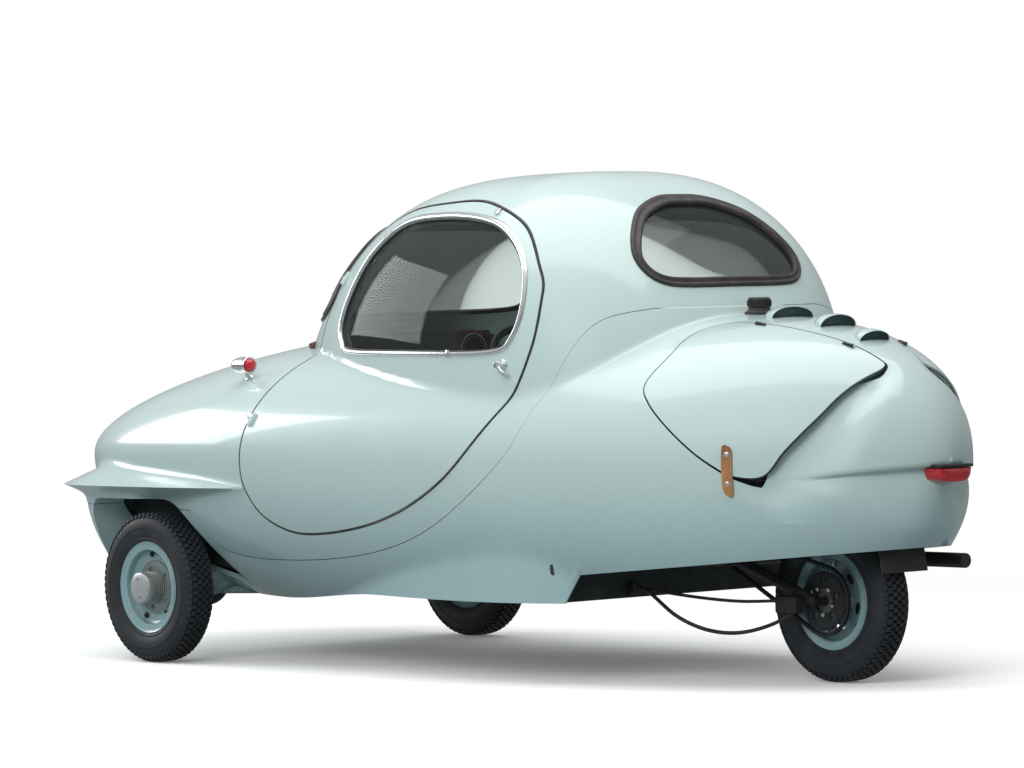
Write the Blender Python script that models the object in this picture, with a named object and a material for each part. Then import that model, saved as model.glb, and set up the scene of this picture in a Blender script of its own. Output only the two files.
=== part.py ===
"""Three wheeled cabin car: a glass fibre pod on two steered front wheels and one driven rear wheel.

Metres, +X towards the nose, +Y to the car's left, +Z up. The origin is on the ground below the
middle of the car. The skin is one formula: a pod, a cabin and two horizontal fins blended together.
"""

import math

import bmesh
import bpy
import numpy as np
from mathutils import Matrix, Vector

# Overall sizes
NOSE_X = 1.475
TAIL_X = -1.475
REAR_AXLE_X = -1.1
FRONT_AXLE_X = 0.9
TRACK = 1.09
GROUND_Z = 0.0
FIT = 0.0003
MOVING_GAP = 0.005
OVERRUN = 0.050
WALL = 0.010

# Pod: plan, belt and deck
POD_MIDDLE_X = -0.2
POD_HALF_WIDTH = 0.597
POD_NOSE_POWER = 3.75
POD_TAIL_POWER = 1.7
POD_SECTION_POWER = 2.18
BELT_Z = 0.537
DECK_X = -0.29
DECK_Z = 0.892
DECK_NOSE_POWER = 2.02
DECK_TAIL_POWER = 4.42
POD_DEPTH = 0.49
POD_DEPTH_POWER = 2.6

# Cabin: a raked nose and a round back over the pod
CABIN_X = -0.32
CABIN_BASE_Z = 0.633
CABIN_TOP_Z = 1.250
CABIN_HALF_WIDTH = 0.5345
CABIN_FRONT_X = 0.8325
CABIN_REAR_X = -0.8405
CABIN_SECTION_POWER = 2.99
SCREEN_POWER = 3.585
SCREEN_ROOT = 1.578
BACK_POWER = 1.957
CABIN_PLAN_FRONT_POWER = 1.741
CABIN_PLAN_REAR_POWER = 2.507
CABIN_BLEND = 0.020

# Fins over the front wheels
FIN_X = 0.9
FIN_HALF_WIDTH = 0.635
FIN_FRONT_REACH = 0.47
FIN_REAR_REACH = 0.850
FIN_Z = 0.465
FIN_DEPTH = 0.300
FIN_POWER = 2.5
FIN_BLEND = 0.030

# Lower edge of the skin
SILL_Z = 0.200
SILL_END_X = -0.655
SKIRT_START_Z = 0.268
SKIRT_STEP = 0.030
TAIL_EDGE_Z = 0.338

# Rays that place the skin's points
RAY_HEIGHT = FIN_Z
RAY_SPREAD = 1.000
RAY_MIDDLE_X = -0.060
AROUND = 44
ROWS_BELOW = 2
LIP_CLIMB = 0.05
ROWS_DECK = 4
ROWS_CABIN = 8
RAY_REACH = 2.6
HALVINGS = 34

# Openings and seam in the skin
CAVITY_DROP = 0.150
SEAM_GAP = 0.003
FIN_SEAM_Z = 0.420
SEAM_LINE = ((0.740, 0.403), (0.640, 0.297), (0.320, 0.283), (-0.030, 0.318), (-0.295, 0.400), (-0.512, 0.549),
             (-0.595, 0.692), (-0.650, 0.811), (-0.695, 0.880), (-0.755, 0.907))
WELL_INNER_Y = 0.405
ARCH_REAR_X = 0.665
ARCH_LIP_Z = 0.190
ARCH_MIDDLE_X = 0.710
ARCH_MIDDLE_Z = 0.300
ARCH_CORNER_X = 0.780
ARCH_TOP_Z = 0.430
ARCH_FRONT_X = 1.175
ARCH_CORNER = 0.040
LINER = 0.006

# Doors
DOOR_FRONT_X = 0.478
DOOR_REAR_X = -0.566
DOOR_BOTTOM_Z = 0.354
DOOR_TOP_Z = 1.176
DOOR_GAP = 0.005
DOOR_CUT_Y = 0.150
DOOR_THICKNESS = 0.022
DOOR_STEPS = 36
DOOR_RINGS = 3
DOOR_SHARES = ((1.0, 0.24), (0.985, 0.13), (0.915, 0.038), (0.767, 0.0), (0.48, 0.05), (0.24, 0.176),
               (0.08, 0.381), (0.011, 0.557), (0.0, 0.703), (0.021, 0.79), (0.114, 0.925), (0.29, 0.997),
               (0.475, 1.0), (0.65, 0.975), (0.775, 0.895), (0.86, 0.778), (0.925, 0.626), (0.975, 0.42))
WINDOW_FRONT_X = 0.262
WINDOW_REAR_X = -0.516
WINDOW_BOTTOM_Z = 0.813
WINDOW_TOP_Z = 1.142
WINDOW_SHARES = ((1.0, 0.205), (0.975, 0.07), (0.91, 0.012), (0.5, 0.0), (0.112, 0.003), (0.025, 0.1),
                 (0.0, 0.369), (0.041, 0.662), (0.149, 0.873), (0.298, 0.97), (0.528, 1.0), (0.733, 0.955),
                 (0.87, 0.75), (0.957, 0.447))
TRIM_WIDTH = 0.013
TRIM_HEIGHT = 0.005
TRIM_STAND = 0.0009
GLASS = 0.004
GLASS_DEPTH = 0.005
HANDLE_X = -0.480
HANDLE_Z = 0.777
HANDLE_RADIUS = 0.014
HANDLE_ROSE = 0.004
HANDLE_STEM = 0.005
HANDLE_REACH = 0.024
HANDLE_LENGTH = 0.040
HINGE_PLACES = ((0.449, 0.640), (0.312, 0.995))
HINGE_STAND = 0.002
HINGE_LENGTH = 0.036
HINGE_RADIUS = 0.008
HINGE_BEND = 0.025
HINGE_REACH = 0.038

# Hatches, on planes tilted to each side
HATCH_START = 0.420
HATCH_REACH = 0.900
HATCH_FRONT_X = -0.868
HATCH_REAR_X = -1.334
HATCH_LOW_RISE = 0.105
HATCH_HIGH_RISE = 0.520
HATCH_GAP = 0.005
HATCH_THICKNESS = 0.012
HATCH_STEPS = 24
HATCH_RING_SHARES = (0.7, 0.4)
HATCH_SHARES = ((1.0, 0.29), (0.98, 0.52), (1.0, 0.78), (0.93, 0.955), (0.75, 1.0), (0.47, 1.0), (0.22, 0.99),
                (0.05, 0.955), (0.0, 0.915), (0.01, 0.79), (0.09, 0.50), (0.16, 0.34), (0.24, 0.2), (0.33, 0.06),
                (0.46, 0.0), (0.56, 0.0), (0.68, 0.03), (0.82, 0.1), (0.94, 0.19))
HATCH_HINGE_FRONT_X = -0.986
HATCH_HINGE_FRONT_RISE = 0.512
HATCH_HINGE_REAR_X = -1.234
HATCH_HINGE_REAR_RISE = 0.508
HATCH_HINGE_LENGTH = 0.030
HATCH_HINGE_RADIUS = 0.006
HATCH_HINGE_STAND = 0.002
STRAP_X = -1.103
STRAP_HIGH_RISE = 0.145
STRAP_LOW_RISE = 0.075
STRAP_WIDTH = 0.026
STRAP_THICKNESS = 0.004
STRAP_STEPS = 5

# Windscreen and rear window, as (across, up) shares of the left half, top to bottom
REAR_PANE_HALF_WIDTH = 0.262
REAR_PANE_LOW_Z = 0.966
REAR_PANE_HIGH_Z = 1.172
REAR_PANE_SHARES = ((0.0, 1.0), (0.24, 0.99), (0.47, 0.92), (0.68, 0.8), (0.87, 0.58), (0.985, 0.33),
                    (0.955, 0.14), (0.82, 0.03), (0.57, 0.0), (0.0, 0.0))
SCREEN_HALF_WIDTH = 0.345
SCREEN_LOW_Z = 0.892
SCREEN_HIGH_Z = 1.130
SCREEN_SHARES = ((0.0, 1.0), (0.4, 0.99), (0.68, 0.93), (0.82, 0.78), (0.91, 0.5), (0.985, 0.25), (0.98, 0.1),
                 (0.88, 0.02), (0.5, 0.0), (0.0, 0.0))
PANE_START_X = -0.450
SCREEN_START_X = 0.200
PANE_STEPS = 36
PANE_RING_SHARES = (0.5,)
GASKET_WIDTH = 0.024
GASKET_HEIGHT = 0.009

# Wheels
TYRE_RADIUS = 0.198
TYRE_WIDTH = 0.088
TYRE_CROWN = 0.006
TYRE_SHOULDER = 0.018
RIM_FLANGE_RADIUS = 0.119
RIM_BEAD_RADIUS = 0.101
RIM_WIDTH = 0.072
RIM_THICKNESS = 0.004
DISC_Y = 0.004
DISC_BORE_RADIUS = 0.030
HUB_SIDES = 14
WHEEL_SIDES = 24
DRUM_RADIUS = 0.070
DRUM_INNER_Y = -0.020
HUB_RADIUS = 0.0405
CAP_CORE_RADIUS = 0.030
CAP_FINS = 5
CAP_OUTER_Y = 0.065
REAR_DRUM_RADIUS = 0.066
REAR_DRUM_Y = 0.044
REAR_DRUM_STEP = 0.012
REAR_HUB_RADIUS = 0.036
SPROCKET_RADIUS = 0.072
SPROCKET_Y = 0.057
SPROCKET = 0.006

# Front running gear
KINGPIN_Y = 0.500
STUB_RADIUS = 0.010
STUB_END_Y = 0.050
BEARING_GAP = 0.0005
BOSS_RADIUS = 0.013
BOSS_HEIGHT = 0.050
STEER_ARM = 0.080
STEER_ARM_IN = 0.005
STEER_ARM_RADIUS = 0.006
BEAM_RADIUS = 0.018
BEAM_Z = 0.150
BEAM_KICK_Y = 0.410
FORK_Y = 0.467
FORK_BACK_Y = 0.482
EAR = 0.010
STRUT_Y = 0.440
STRUT_RADIUS = 0.022
STRUT_CORE_RADIUS = 0.017
STRUT_ROD_RADIUS = 0.010
STRUT_FOOT_Z = 0.200
STRUT_TOP_Z = ARCH_TOP_Z - FIT
STRUT_COILS = 3
STRUT_SIDES = 10

# Floor and cabin
FLOOR_Z = 0.2005
FLOOR = 0.008
FOOT_BOARD = 0.004
FOOT_BOARD_REAR_X = 0.040
FOOT_BOARD_FRONT_X = 0.460
FOOT_BOARD_INNER_Y = 0.050
FOOT_BOARD_OUTER_Y = 0.380
BULKHEAD_X = -0.600
BULKHEAD = 0.008
BULKHEAD_TOP_Z = 0.860
DASH_REAR_X = 0.500
DASH_FRONT_X = 0.640
DASH_LOW_Z = 0.740
DASH_TOP_Z = 0.850
DASH_LEAN = 0.010
DASH_SHELF = 0.012
SEAT_HALF_WIDTH = 0.420
SEAT_REAR_X = -0.480
SEAT_FRONT_X = 0.000
SEAT_LOW_Z = 0.300
SEAT_TOP_Z = 0.420
SEAT_BEVEL = 0.030
BACK_LOW_X = -0.340
BACK_HIGH_X = -0.460
BACK_THICKNESS = 0.090
BACK_TOP_Z = 0.860
STEERING_Y = -0.220
STEERING_RADIUS = 0.170
STEERING_SPOKES = 3
GRIP_RADIUS = 0.011
GRIP_SIDES = 6
SPOKE_RADIUS = 0.006
WHEEL_HUB = 0.025
WHEEL_RIM_X = 0.180
WHEEL_RIM_Z = 0.740
COLUMN_FOOT_X = 0.560
COLUMN_FOOT_Z = 0.330
COLUMN_RADIUS = 0.014
STEERING_BOX = 0.060
LEVER_X = 0.250
LEVER_Y = 0.000
LEVER_LEAN = -0.060
LEVER_TOP_Z = 0.600
LEVER_RADIUS = 0.007
LEVER_KNOB = 0.018

# Lamps and deck
LAMP_STAND = 0.020
HEADLAMP_Z = 0.570
HEADLAMP_RADIUS = 0.085
HEADLAMP_RIM = 0.010
HEADLAMP_BACK_X = 1.350
HEADLAMP_DEPTH = 0.030
INDICATOR_X = 0.602
INDICATOR_Z = 0.744
INDICATOR_STEM = 0.040
INDICATOR_STEM_RADIUS = 0.006
INDICATOR_LENGTH = 0.070
INDICATOR_RADIUS = 0.023
TAIL_LAMP_Z = 0.520
TAIL_LAMP_WIDTH = 0.110
TAIL_LAMP_HEIGHT = 0.034
TAIL_LAMP_DEPTH = 0.020
TAIL_BRACKET = 0.008
FILLER_X = -0.838
FILLER_RADIUS = 0.030
FILLER_HEIGHT = 0.042
FILLER_SINK = 0.020
FILLER_FLANGE = 0.005
LOUVRE_WALL = 0.004
LOUVRE_ROWS = 7
LOUVRE_SIDES = 14
LOUVRE_SLIMNESS = 0.45
LOUVRES = ((-0.955, 0.140, 0.026), (-1.110, 0.120, 0.028), (-1.232, 0.100, 0.024))

# Rear running gear
REAR_SPINDLE_RADIUS = 0.010
ARM_PIVOT_X = -0.830
ARM_PIVOT_Z = 0.290
ARM_Y = 0.085
ARM_RADIUS = 0.014
RAIL_FRONT_X = BULKHEAD_X - BULKHEAD - FIT
RAIL_Y = 0.130
RAIL_RADIUS = 0.014
RAIL_KICK_X = -0.960
RAIL_HIGH_Z = 0.440
RAIL_REAR_X = -1.300
ENGINE_REAR_X = -0.800
ENGINE_FRONT_X = -0.640
ENGINE_RIGHT_Y = -0.105
ENGINE_LEFT_Y = 0.035
ENGINE_LOW_Z = ARM_PIVOT_Z + RAIL_RADIUS / 2.0 + FIT
ENGINE_CASE_Z = 0.420
ENGINE_TOP_Z = 0.600
ENGINE_BARREL = 0.090
ENGINE_BEVEL = 0.012
ENGINE_SPROCKET_X = -0.745
ENGINE_SPROCKET_Z = 0.330
ENGINE_SPROCKET_RADIUS = 0.030
ENGINE_SHAFT_RADIUS = 0.012
CHAIN_Y = SPROCKET_Y
CHAIN_WIDTH = 0.010
CHAIN_HEIGHT = 0.010
CHAIN_STEPS = 10
FLAP_LEAN = 0.030
FLAP = 0.005
FLAP_LOW_Z = 0.270
FLAP_WIDTH = 0.150
EXHAUST_FRONT_X = -0.700
EXHAUST_REAR_X = -1.360
EXHAUST_RADIUS = 0.018
EXHAUST_Y = RAIL_Y + RAIL_RADIUS + EXHAUST_RADIUS + FIT
EXHAUST_Z = ARM_PIVOT_Z


def clear_scene():
    for thing in list(bpy.data.objects):
        bpy.data.objects.remove(thing, do_unlink=True)


def make_material(name, colour, roughness, metallic=0.0, alpha=1.0):
    material = bpy.data.materials.new(name)
    material.use_nodes = True
    shader = material.node_tree.nodes["Principled BSDF"]
    shader.inputs["Base Color"].default_value = (*colour, 1.0)
    shader.inputs["Roughness"].default_value = roughness
    shader.inputs["Metallic"].default_value = metallic
    shader.inputs["Alpha"].default_value = alpha
    return material


# The skin's formula

def rounded(share, power):
    return (1.0 - np.clip(share, 0.0, 1.0) ** power) ** (1.0 / power)


def pod_level(x, y, z):
    ahead = x > POD_MIDDLE_X
    reach = np.where(ahead, NOSE_X - POD_MIDDLE_X, POD_MIDDLE_X - TAIL_X)
    along = np.abs(x - POD_MIDDLE_X) / reach
    width = POD_HALF_WIDTH * np.where(ahead, rounded(along, POD_NOSE_POWER), rounded(along, POD_TAIL_POWER))
    ahead = x > DECK_X
    reach = np.where(ahead, NOSE_X - DECK_X, DECK_X - TAIL_X)
    along = np.clip(np.abs(x - DECK_X) / reach, 0.0, 1.0)
    power = np.where(ahead, DECK_NOSE_POWER, DECK_TAIL_POWER)
    rise = (DECK_Z - BELT_Z) * np.sqrt(1.0 - along ** power)
    fall = POD_DEPTH * np.sqrt(1.0 - along ** POD_DEPTH_POWER)
    height = np.where(z > BELT_Z, rise, fall)
    tiny = 1e-6
    share = (np.abs(y) / np.maximum(width, tiny)) ** POD_SECTION_POWER
    share = share + (np.abs(z - BELT_Z) / np.maximum(height, tiny)) ** POD_SECTION_POWER
    return (share ** (1.0 / POD_SECTION_POWER) - 1.0) * POD_HALF_WIDTH


def cabin_level(x, y, z):
    ahead = x > CABIN_X
    reach = np.where(ahead, CABIN_FRONT_X - CABIN_X, CABIN_X - CABIN_REAR_X)
    along = np.clip(np.abs(x - CABIN_X) / reach, 0.0, 1.0)
    tall = np.where(ahead, (1.0 - along ** SCREEN_POWER) ** SCREEN_ROOT, rounded(along, BACK_POWER))
    wide = np.where(ahead, rounded(along, CABIN_PLAN_FRONT_POWER), rounded(along, CABIN_PLAN_REAR_POWER))
    tiny = 1e-6
    share = ((np.abs(y) + 2.0 * tiny) / np.maximum(CABIN_HALF_WIDTH * wide, tiny)) ** CABIN_SECTION_POWER
    above = np.maximum(z - CABIN_BASE_Z, 0.0)
    roof = np.maximum((CABIN_TOP_Z - CABIN_BASE_Z) * tall, tiny)
    share = share + (above / roof) ** CABIN_SECTION_POWER
    return (share ** (1.0 / CABIN_SECTION_POWER) - 1.0) * CABIN_HALF_WIDTH


def fin_level(x, y, z):
    reach = np.where(x > FIN_X, FIN_FRONT_REACH, FIN_REAR_REACH)
    plan = (np.abs(x - FIN_X) / reach) ** FIN_POWER + (np.abs(y) / FIN_HALF_WIDTH) ** FIN_POWER
    return np.abs(z - FIN_Z) - FIN_DEPTH * (1.0 - plan ** (1.0 / FIN_POWER))


def join_levels(first, second, blend):
    closeness = np.maximum(blend - np.abs(first - second), 0.0) / blend
    return np.minimum(first, second) - closeness ** 3 * blend / 6.0


def skin_level(points, fins=True):
    x, y, z = points[..., 0], points[..., 1], points[..., 2]
    level = join_levels(pod_level(x, y, z), cabin_level(x, y, z), CABIN_BLEND)
    if fins:
        level = join_levels(level, fin_level(x, y, z), FIN_BLEND)
    return level


def reach_skin(starts, directions, fins=True, reach=RAY_REACH):
    """Walk from starts inside the skin along directions to the skin."""
    near = np.zeros(starts.shape[:-1])
    far = np.full_like(near, reach)
    for _ in range(HALVINGS):
        middle = (near + far) / 2.0
        inside = skin_level(starts + directions * middle[..., None], fins) < 0.0
        near = np.where(inside, middle, near)
        far = np.where(inside, far, middle)
    return starts + directions * near[..., None]


def skin_normals(points, fins=True):
    step = FIT
    slope = np.stack([
        skin_level(points + step * axis, fins) - skin_level(points - step * axis, fins)
        for axis in np.eye(3)
    ], axis=-1)
    return slope / np.maximum(np.linalg.norm(slope, axis=-1, keepdims=True), 1e-12)


def lower_edge(x):
    """Height of the body's lower edge: the sill, a step behind the doors and a rising skirt."""
    skirt = SKIRT_START_Z + (TAIL_EDGE_Z - SKIRT_START_Z) * (SILL_END_X - x) / (SILL_END_X - TAIL_X)
    step = np.clip((SILL_END_X - x) / SKIRT_STEP + 0.5, 0.0, 1.0)
    return SILL_Z + (skirt - SILL_Z) * step


def ray(around, up):
    spread = np.cos(around) * np.cos(up)
    start = np.stack([RAY_MIDDLE_X + RAY_SPREAD * spread, np.zeros_like(up), np.full_like(up, RAY_HEIGHT)], -1)
    return start, np.stack([spread, np.sin(around) * np.cos(up), np.sin(up)], -1)


def crease_climb(around, fins):
    """How far up each ray meets the crease between the pod and the cabin."""
    low = np.zeros(AROUND)
    high = np.full(AROUND, math.pi / 2.0)
    for _ in range(24):
        middle = (low + high) / 2.0
        x, y, z = reach_skin(*ray(around, middle), fins).T
        on_pod = pod_level(x, y, z) < cabin_level(x, y, z)
        low = np.where(on_pod, middle, low)
        high = np.where(on_pod, high, middle)
    return low


def skin_grid(fins=True):
    """Skin points in rings from the lower edge to the roof's highest point, which is the last."""
    around = np.arange(AROUND) * math.tau / AROUND
    low = np.full(AROUND, -math.pi / 2.2)
    high = np.zeros(AROUND)
    for _ in range(24):
        middle = (low + high) / 2.0
        point = reach_skin(*ray(around, middle), fins)
        below = point[:, 2] < lower_edge(point[:, 0])
        low = np.where(below, middle, low)
        high = np.where(below, high, middle)
    climb = [high + (-LIP_CLIMB - high) * row / ROWS_BELOW for row in range(ROWS_BELOW)]
    climb += [np.full(AROUND, -LIP_CLIMB), np.zeros(AROUND)]
    crease = crease_climb(around, fins)
    climb += [LIP_CLIMB + (crease - LIP_CLIMB) * row / ROWS_DECK for row in range(ROWS_DECK)]
    climb += [crease + (math.pi / 2.0 - crease) * row / ROWS_CABIN for row in range(ROWS_CABIN)]
    rings = [reach_skin(*ray(around, up), fins) for up in climb]
    top = reach_skin(*ray(np.zeros(1), np.full(1, math.pi / 2.0)), fins)
    return rings, top[0]


def offset_rings(rings, top, depth, fins=True):
    moved = [ring - depth * skin_normals(ring, fins) for ring in rings]
    top_moved = top - depth * skin_normals(top[None], fins)[0]
    for ring in moved:
        ring[0, 1] = 0.0
        ring[AROUND // 2, 1] = 0.0
    return moved, top_moved


# Mesh helpers

def new_object(name, material, vertices, faces):
    mesh = bpy.data.meshes.new(name)
    mesh.from_pydata([tuple(float(value) for value in vertex) for vertex in vertices], [], faces)
    mesh.materials.append(material)
    mesh.update()
    thing = bpy.data.objects.new(name, mesh)
    bpy.context.collection.objects.link(thing)
    return thing


def face_outwards(thing):
    shape = bmesh.new()
    shape.from_mesh(thing.data)
    bmesh.ops.recalc_face_normals(shape, faces=shape.faces)
    if shape.calc_volume(signed=True) < 0.0:
        bmesh.ops.reverse_faces(shape, faces=shape.faces)
    shape.to_mesh(thing.data)
    shape.free()
    return thing


def ring_faces(first, second, count):
    return [
        (first + step, first + (step + 1) % count, second + (step + 1) % count, second + step)
        for step in range(count)
    ]


def ring_triangles(first, second, count):
    """Ring faces in triangles, so that one surface at two depths stays parallel."""
    return [half for a, b, c, d in ring_faces(first, second, count) for half in ((a, b, c), (a, c, d))]


def dome(rings, top):
    """Vertices and faces of a stack of rings closed by one top point; the right side mirrors the left."""
    vertices = [point for ring in rings for point in ring] + [top]
    faces = []
    for row in range(len(rings) - 1):
        for step, (a, b, c, d) in enumerate(ring_faces(row * AROUND, (row + 1) * AROUND, AROUND)):
            faces += [(a, b, c), (a, c, d)] if step < AROUND // 2 else [(a, b, d), (b, c, d)]
    last = (len(rings) - 1) * AROUND
    peak = len(rings) * AROUND
    faces += [(last + step, last + (step + 1) % AROUND, peak) for step in range(AROUND)]
    return vertices, faces


def make_shell(name, material, outer, inner):
    vertices, faces = dome(*outer)
    inner_vertices, inner_faces = dome(*inner)
    shift = len(vertices)
    faces += [tuple(index + shift for index in reversed(face)) for face in inner_faces]
    faces += [tuple(reversed(face)) for face in ring_faces(0, shift, AROUND)]
    return face_outwards(new_object(name, material, vertices + inner_vertices, faces))


def prism(name, outline, start, end, place=None, material=None):
    """A closed outline in the local XY plane, drawn out along local Z from start to end."""
    count = len(outline)
    vertices = [(x, y, start) for x, y in outline] + [(x, y, end) for x, y in outline]
    faces = [tuple(range(count)), tuple(range(count, 2 * count))]
    faces += ring_faces(0, count, count)
    thing = new_object(name, material, vertices, faces)
    if place is not None:
        thing.data.transform(place)
    return face_outwards(thing)


def side_prism(name, outline, start, end, material=None):
    """An outline of (x, z) pairs drawn out along Y."""
    place = Matrix(((1, 0, 0, 0), (0, 0, 1, 0), (0, 1, 0, 0), (0, 0, 0, 1)))
    return prism(name, outline, start, end, place, material)


def boolean(thing, cutter, operation="DIFFERENCE", solver="EXACT"):
    modifier = thing.modifiers.new(operation.title(), "BOOLEAN")
    modifier.operation = operation
    modifier.solver = solver
    modifier.object = cutter
    graph = bpy.context.evaluated_depsgraph_get()
    mesh = bpy.data.meshes.new_from_object(thing.evaluated_get(graph))
    thing.modifiers.remove(modifier)
    old = thing.data
    thing.data = mesh
    bpy.data.meshes.remove(old)
    return thing


def discard(*things):
    for thing in things:
        bpy.data.objects.remove(thing, do_unlink=True)


def copy_object(thing, name, material=None):
    twin = thing.copy()
    twin.data = thing.data.copy()
    twin.name = name
    twin.data.name = name
    if material is not None:
        twin.data.materials.clear()
        twin.data.materials.append(material)
    bpy.context.collection.objects.link(twin)
    return twin


def smooth(thing, angle=35.0):
    thing.data.shade_smooth()
    thing.data.set_sharp_from_angle(angle=math.radians(angle))
    return thing


def lathe(name, material, profile, centre, axis="Y", sides=WHEEL_SIDES, shift=0.0):
    """A closed profile of (radius, along) pairs turned about an axis through centre."""
    vertices = []
    for step in range(sides):
        angle = math.tau * (step + shift) / sides
        for radius, along in profile:
            across, up = radius * math.cos(angle), radius * math.sin(angle)
            local = {"Y": (across, along, up), "X": (along, across, up), "Z": (across, up, along)}[axis]
            vertices.append([c + value for c, value in zip(centre, local)])
    count = len(profile)
    faces = []
    for step in range(sides):
        here, there = step * count, (step + 1) % sides * count
        for point in range(count):
            after = (point + 1) % count
            if profile[point][0] > 0.0 or profile[after][0] > 0.0:
                faces.append((here + point, here + after, there + after, there + point))
    thing = new_object(name, material, vertices, faces)
    shape = bmesh.new()
    shape.from_mesh(thing.data)
    bmesh.ops.remove_doubles(shape, verts=shape.verts, dist=1e-6)
    bmesh.ops.dissolve_degenerate(shape, edges=shape.edges, dist=1e-7)
    shape.to_mesh(thing.data)
    shape.free()
    return smooth(face_outwards(thing))


def tube(name, material, points, radius, sides=8):
    """A round bar along a chain of points, mitred at each bend and closed at both ends."""
    path = [Vector(point) for point in points]
    vertices = []
    normal = None
    for index, point in enumerate(path):
        before = path[max(index - 1, 0)]
        after = path[min(index + 1, len(path) - 1)]
        along = (after - before).normalized()
        if normal is None:
            guide = Vector((0, 0, 1)) if abs(along.z) < 0.9 else Vector((1, 0, 0))
            normal = along.cross(guide).normalized()
        normal = (normal - normal.dot(along) * along).normalized()
        other = along.cross(normal)
        stretch = 1.0
        if 0 < index < len(path) - 1:
            bend = (point - before).normalized().dot((after - point).normalized())
            stretch = 1.0 / math.sqrt(max((1.0 + bend) / 2.0, 0.25))
            turn = ((after - point).normalized() - (point - before).normalized())
            turn = turn.normalized() if turn.length > 1e-6 else normal
        for side in range(sides):
            angle = math.tau * side / sides
            offset = radius * (math.cos(angle) * normal + math.sin(angle) * other)
            if stretch > 1.0:
                offset = offset + (stretch - 1.0) * offset.dot(turn) * turn
            vertices.append(point + offset)
    faces = [tuple(range(sides)), tuple(range((len(path) - 1) * sides, len(path) * sides))]
    for index in range(len(path) - 1):
        faces += ring_faces(index * sides, (index + 1) * sides, sides)
    return smooth(face_outwards(new_object(name, material, vertices, faces)))


def block(name, material, low, high, bevel=0.0):
    vertices = [(x, y, z) for x in (low[0], high[0]) for y in (low[1], high[1]) for z in (low[2], high[2])]
    faces = [(0, 1, 3, 2), (4, 6, 7, 5), (0, 4, 5, 1), (2, 3, 7, 6), (0, 2, 6, 4), (1, 5, 7, 3)]
    thing = face_outwards(new_object(name, material, vertices, faces))
    if bevel > 0.0:
        modifier = thing.modifiers.new("Bevel", "BEVEL")
        modifier.width = bevel
        modifier.segments = 2
        bake(thing)
    return thing


def bake(thing):
    graph = bpy.context.evaluated_depsgraph_get()
    mesh = bpy.data.meshes.new_from_object(thing.evaluated_get(graph))
    thing.modifiers.clear()
    thing.data = mesh
    return thing


def unite(things, name, solver="EXACT"):
    """Several overlapping bodies made one."""
    first = things[0]
    for other in things[1:]:
        boolean(first, other, "UNION", solver)
        discard(other)
    first.name = name
    first.data.name = name
    return first


# Outlines

def closed_curve(points, steps=12):
    """A smooth closed curve through points."""
    points = np.array(points, dtype=float)
    curve = []
    for index in range(len(points)):
        before, here, after, beyond = (points[(index + k) % len(points)] for k in (-1, 0, 1, 2))
        for step in range(steps):
            t = step / steps
            curve.append(0.5 * (
                2.0 * here + (after - before) * t
                + (2.0 * before - 5.0 * here + 4.0 * after - beyond) * t ** 2
                + (3.0 * here - before - 3.0 * after + beyond) * t ** 3
            ))
    return np.array(curve)


def outline_by_angle(points, centre, count, grow=0.0):
    """The curve through points, read at even angles about centre and moved out by grow."""
    curve = closed_curve(points)
    ahead = np.roll(curve, -1, axis=0) - np.roll(curve, 1, axis=0)
    normal = np.stack([ahead[:, 1], -ahead[:, 0]], -1)
    normal = normal / np.linalg.norm(normal, axis=1, keepdims=True)
    outward = np.sign(np.sum(normal * (curve - centre), axis=1).mean())
    curve = curve + grow * outward * normal
    away = curve - centre
    angle = np.unwrap(np.arctan2(away[:, 1], away[:, 0]))
    if angle[-1] < angle[0]:
        away, angle = away[::-1], angle[::-1]
    radius = np.linalg.norm(away, axis=1)
    wanted = np.arange(count) * math.tau / count
    wrapped = (wanted - angle[0]) % math.tau + angle[0]
    radius = np.interp(wrapped, np.append(angle, angle[0] + math.tau), np.append(radius, radius[0]))
    return centre + radius[:, None] * np.stack([np.cos(wanted), np.sin(wanted)], -1)


def from_shares(shares, low, high):
    low, high = np.array(low), np.array(high)
    return low + np.array(shares) * (high - low)


def side_points(outline, side):
    """Points of an (x, z) outline carried out to the skin on one side."""
    starts = np.stack([outline[:, 0], np.zeros(len(outline)), outline[:, 1]], -1)
    return reach_skin(starts, np.tile([0.0, side, 0.0], (len(outline), 1)), fins=False, reach=1.0)


def end_points(outline, x, way):
    """Points of a (y, z) outline carried to the skin ahead of or behind x."""
    starts = np.stack([np.full(len(outline), x), outline[:, 0], outline[:, 1]], -1)
    return reach_skin(starts, np.tile([way, 0.0, 0.0], (len(outline), 1)), fins=False, reach=1.6)


HALF = math.sqrt(0.5)


def slant_points(outline, side, depth):
    """Points of an (x, rise) outline on a plane tilted to one side, carried square to it to the skin."""
    across = np.array([0.0, -HALF * side, HALF])
    out = np.array([0.0, HALF * side, HALF])
    starts = outline[:, :1] * np.array([1.0, 0.0, 0.0]) + outline[:, 1:] * across + depth * out
    return reach_skin(starts, np.tile(out, (len(outline), 1)), fins=False, reach=1.0)


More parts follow.
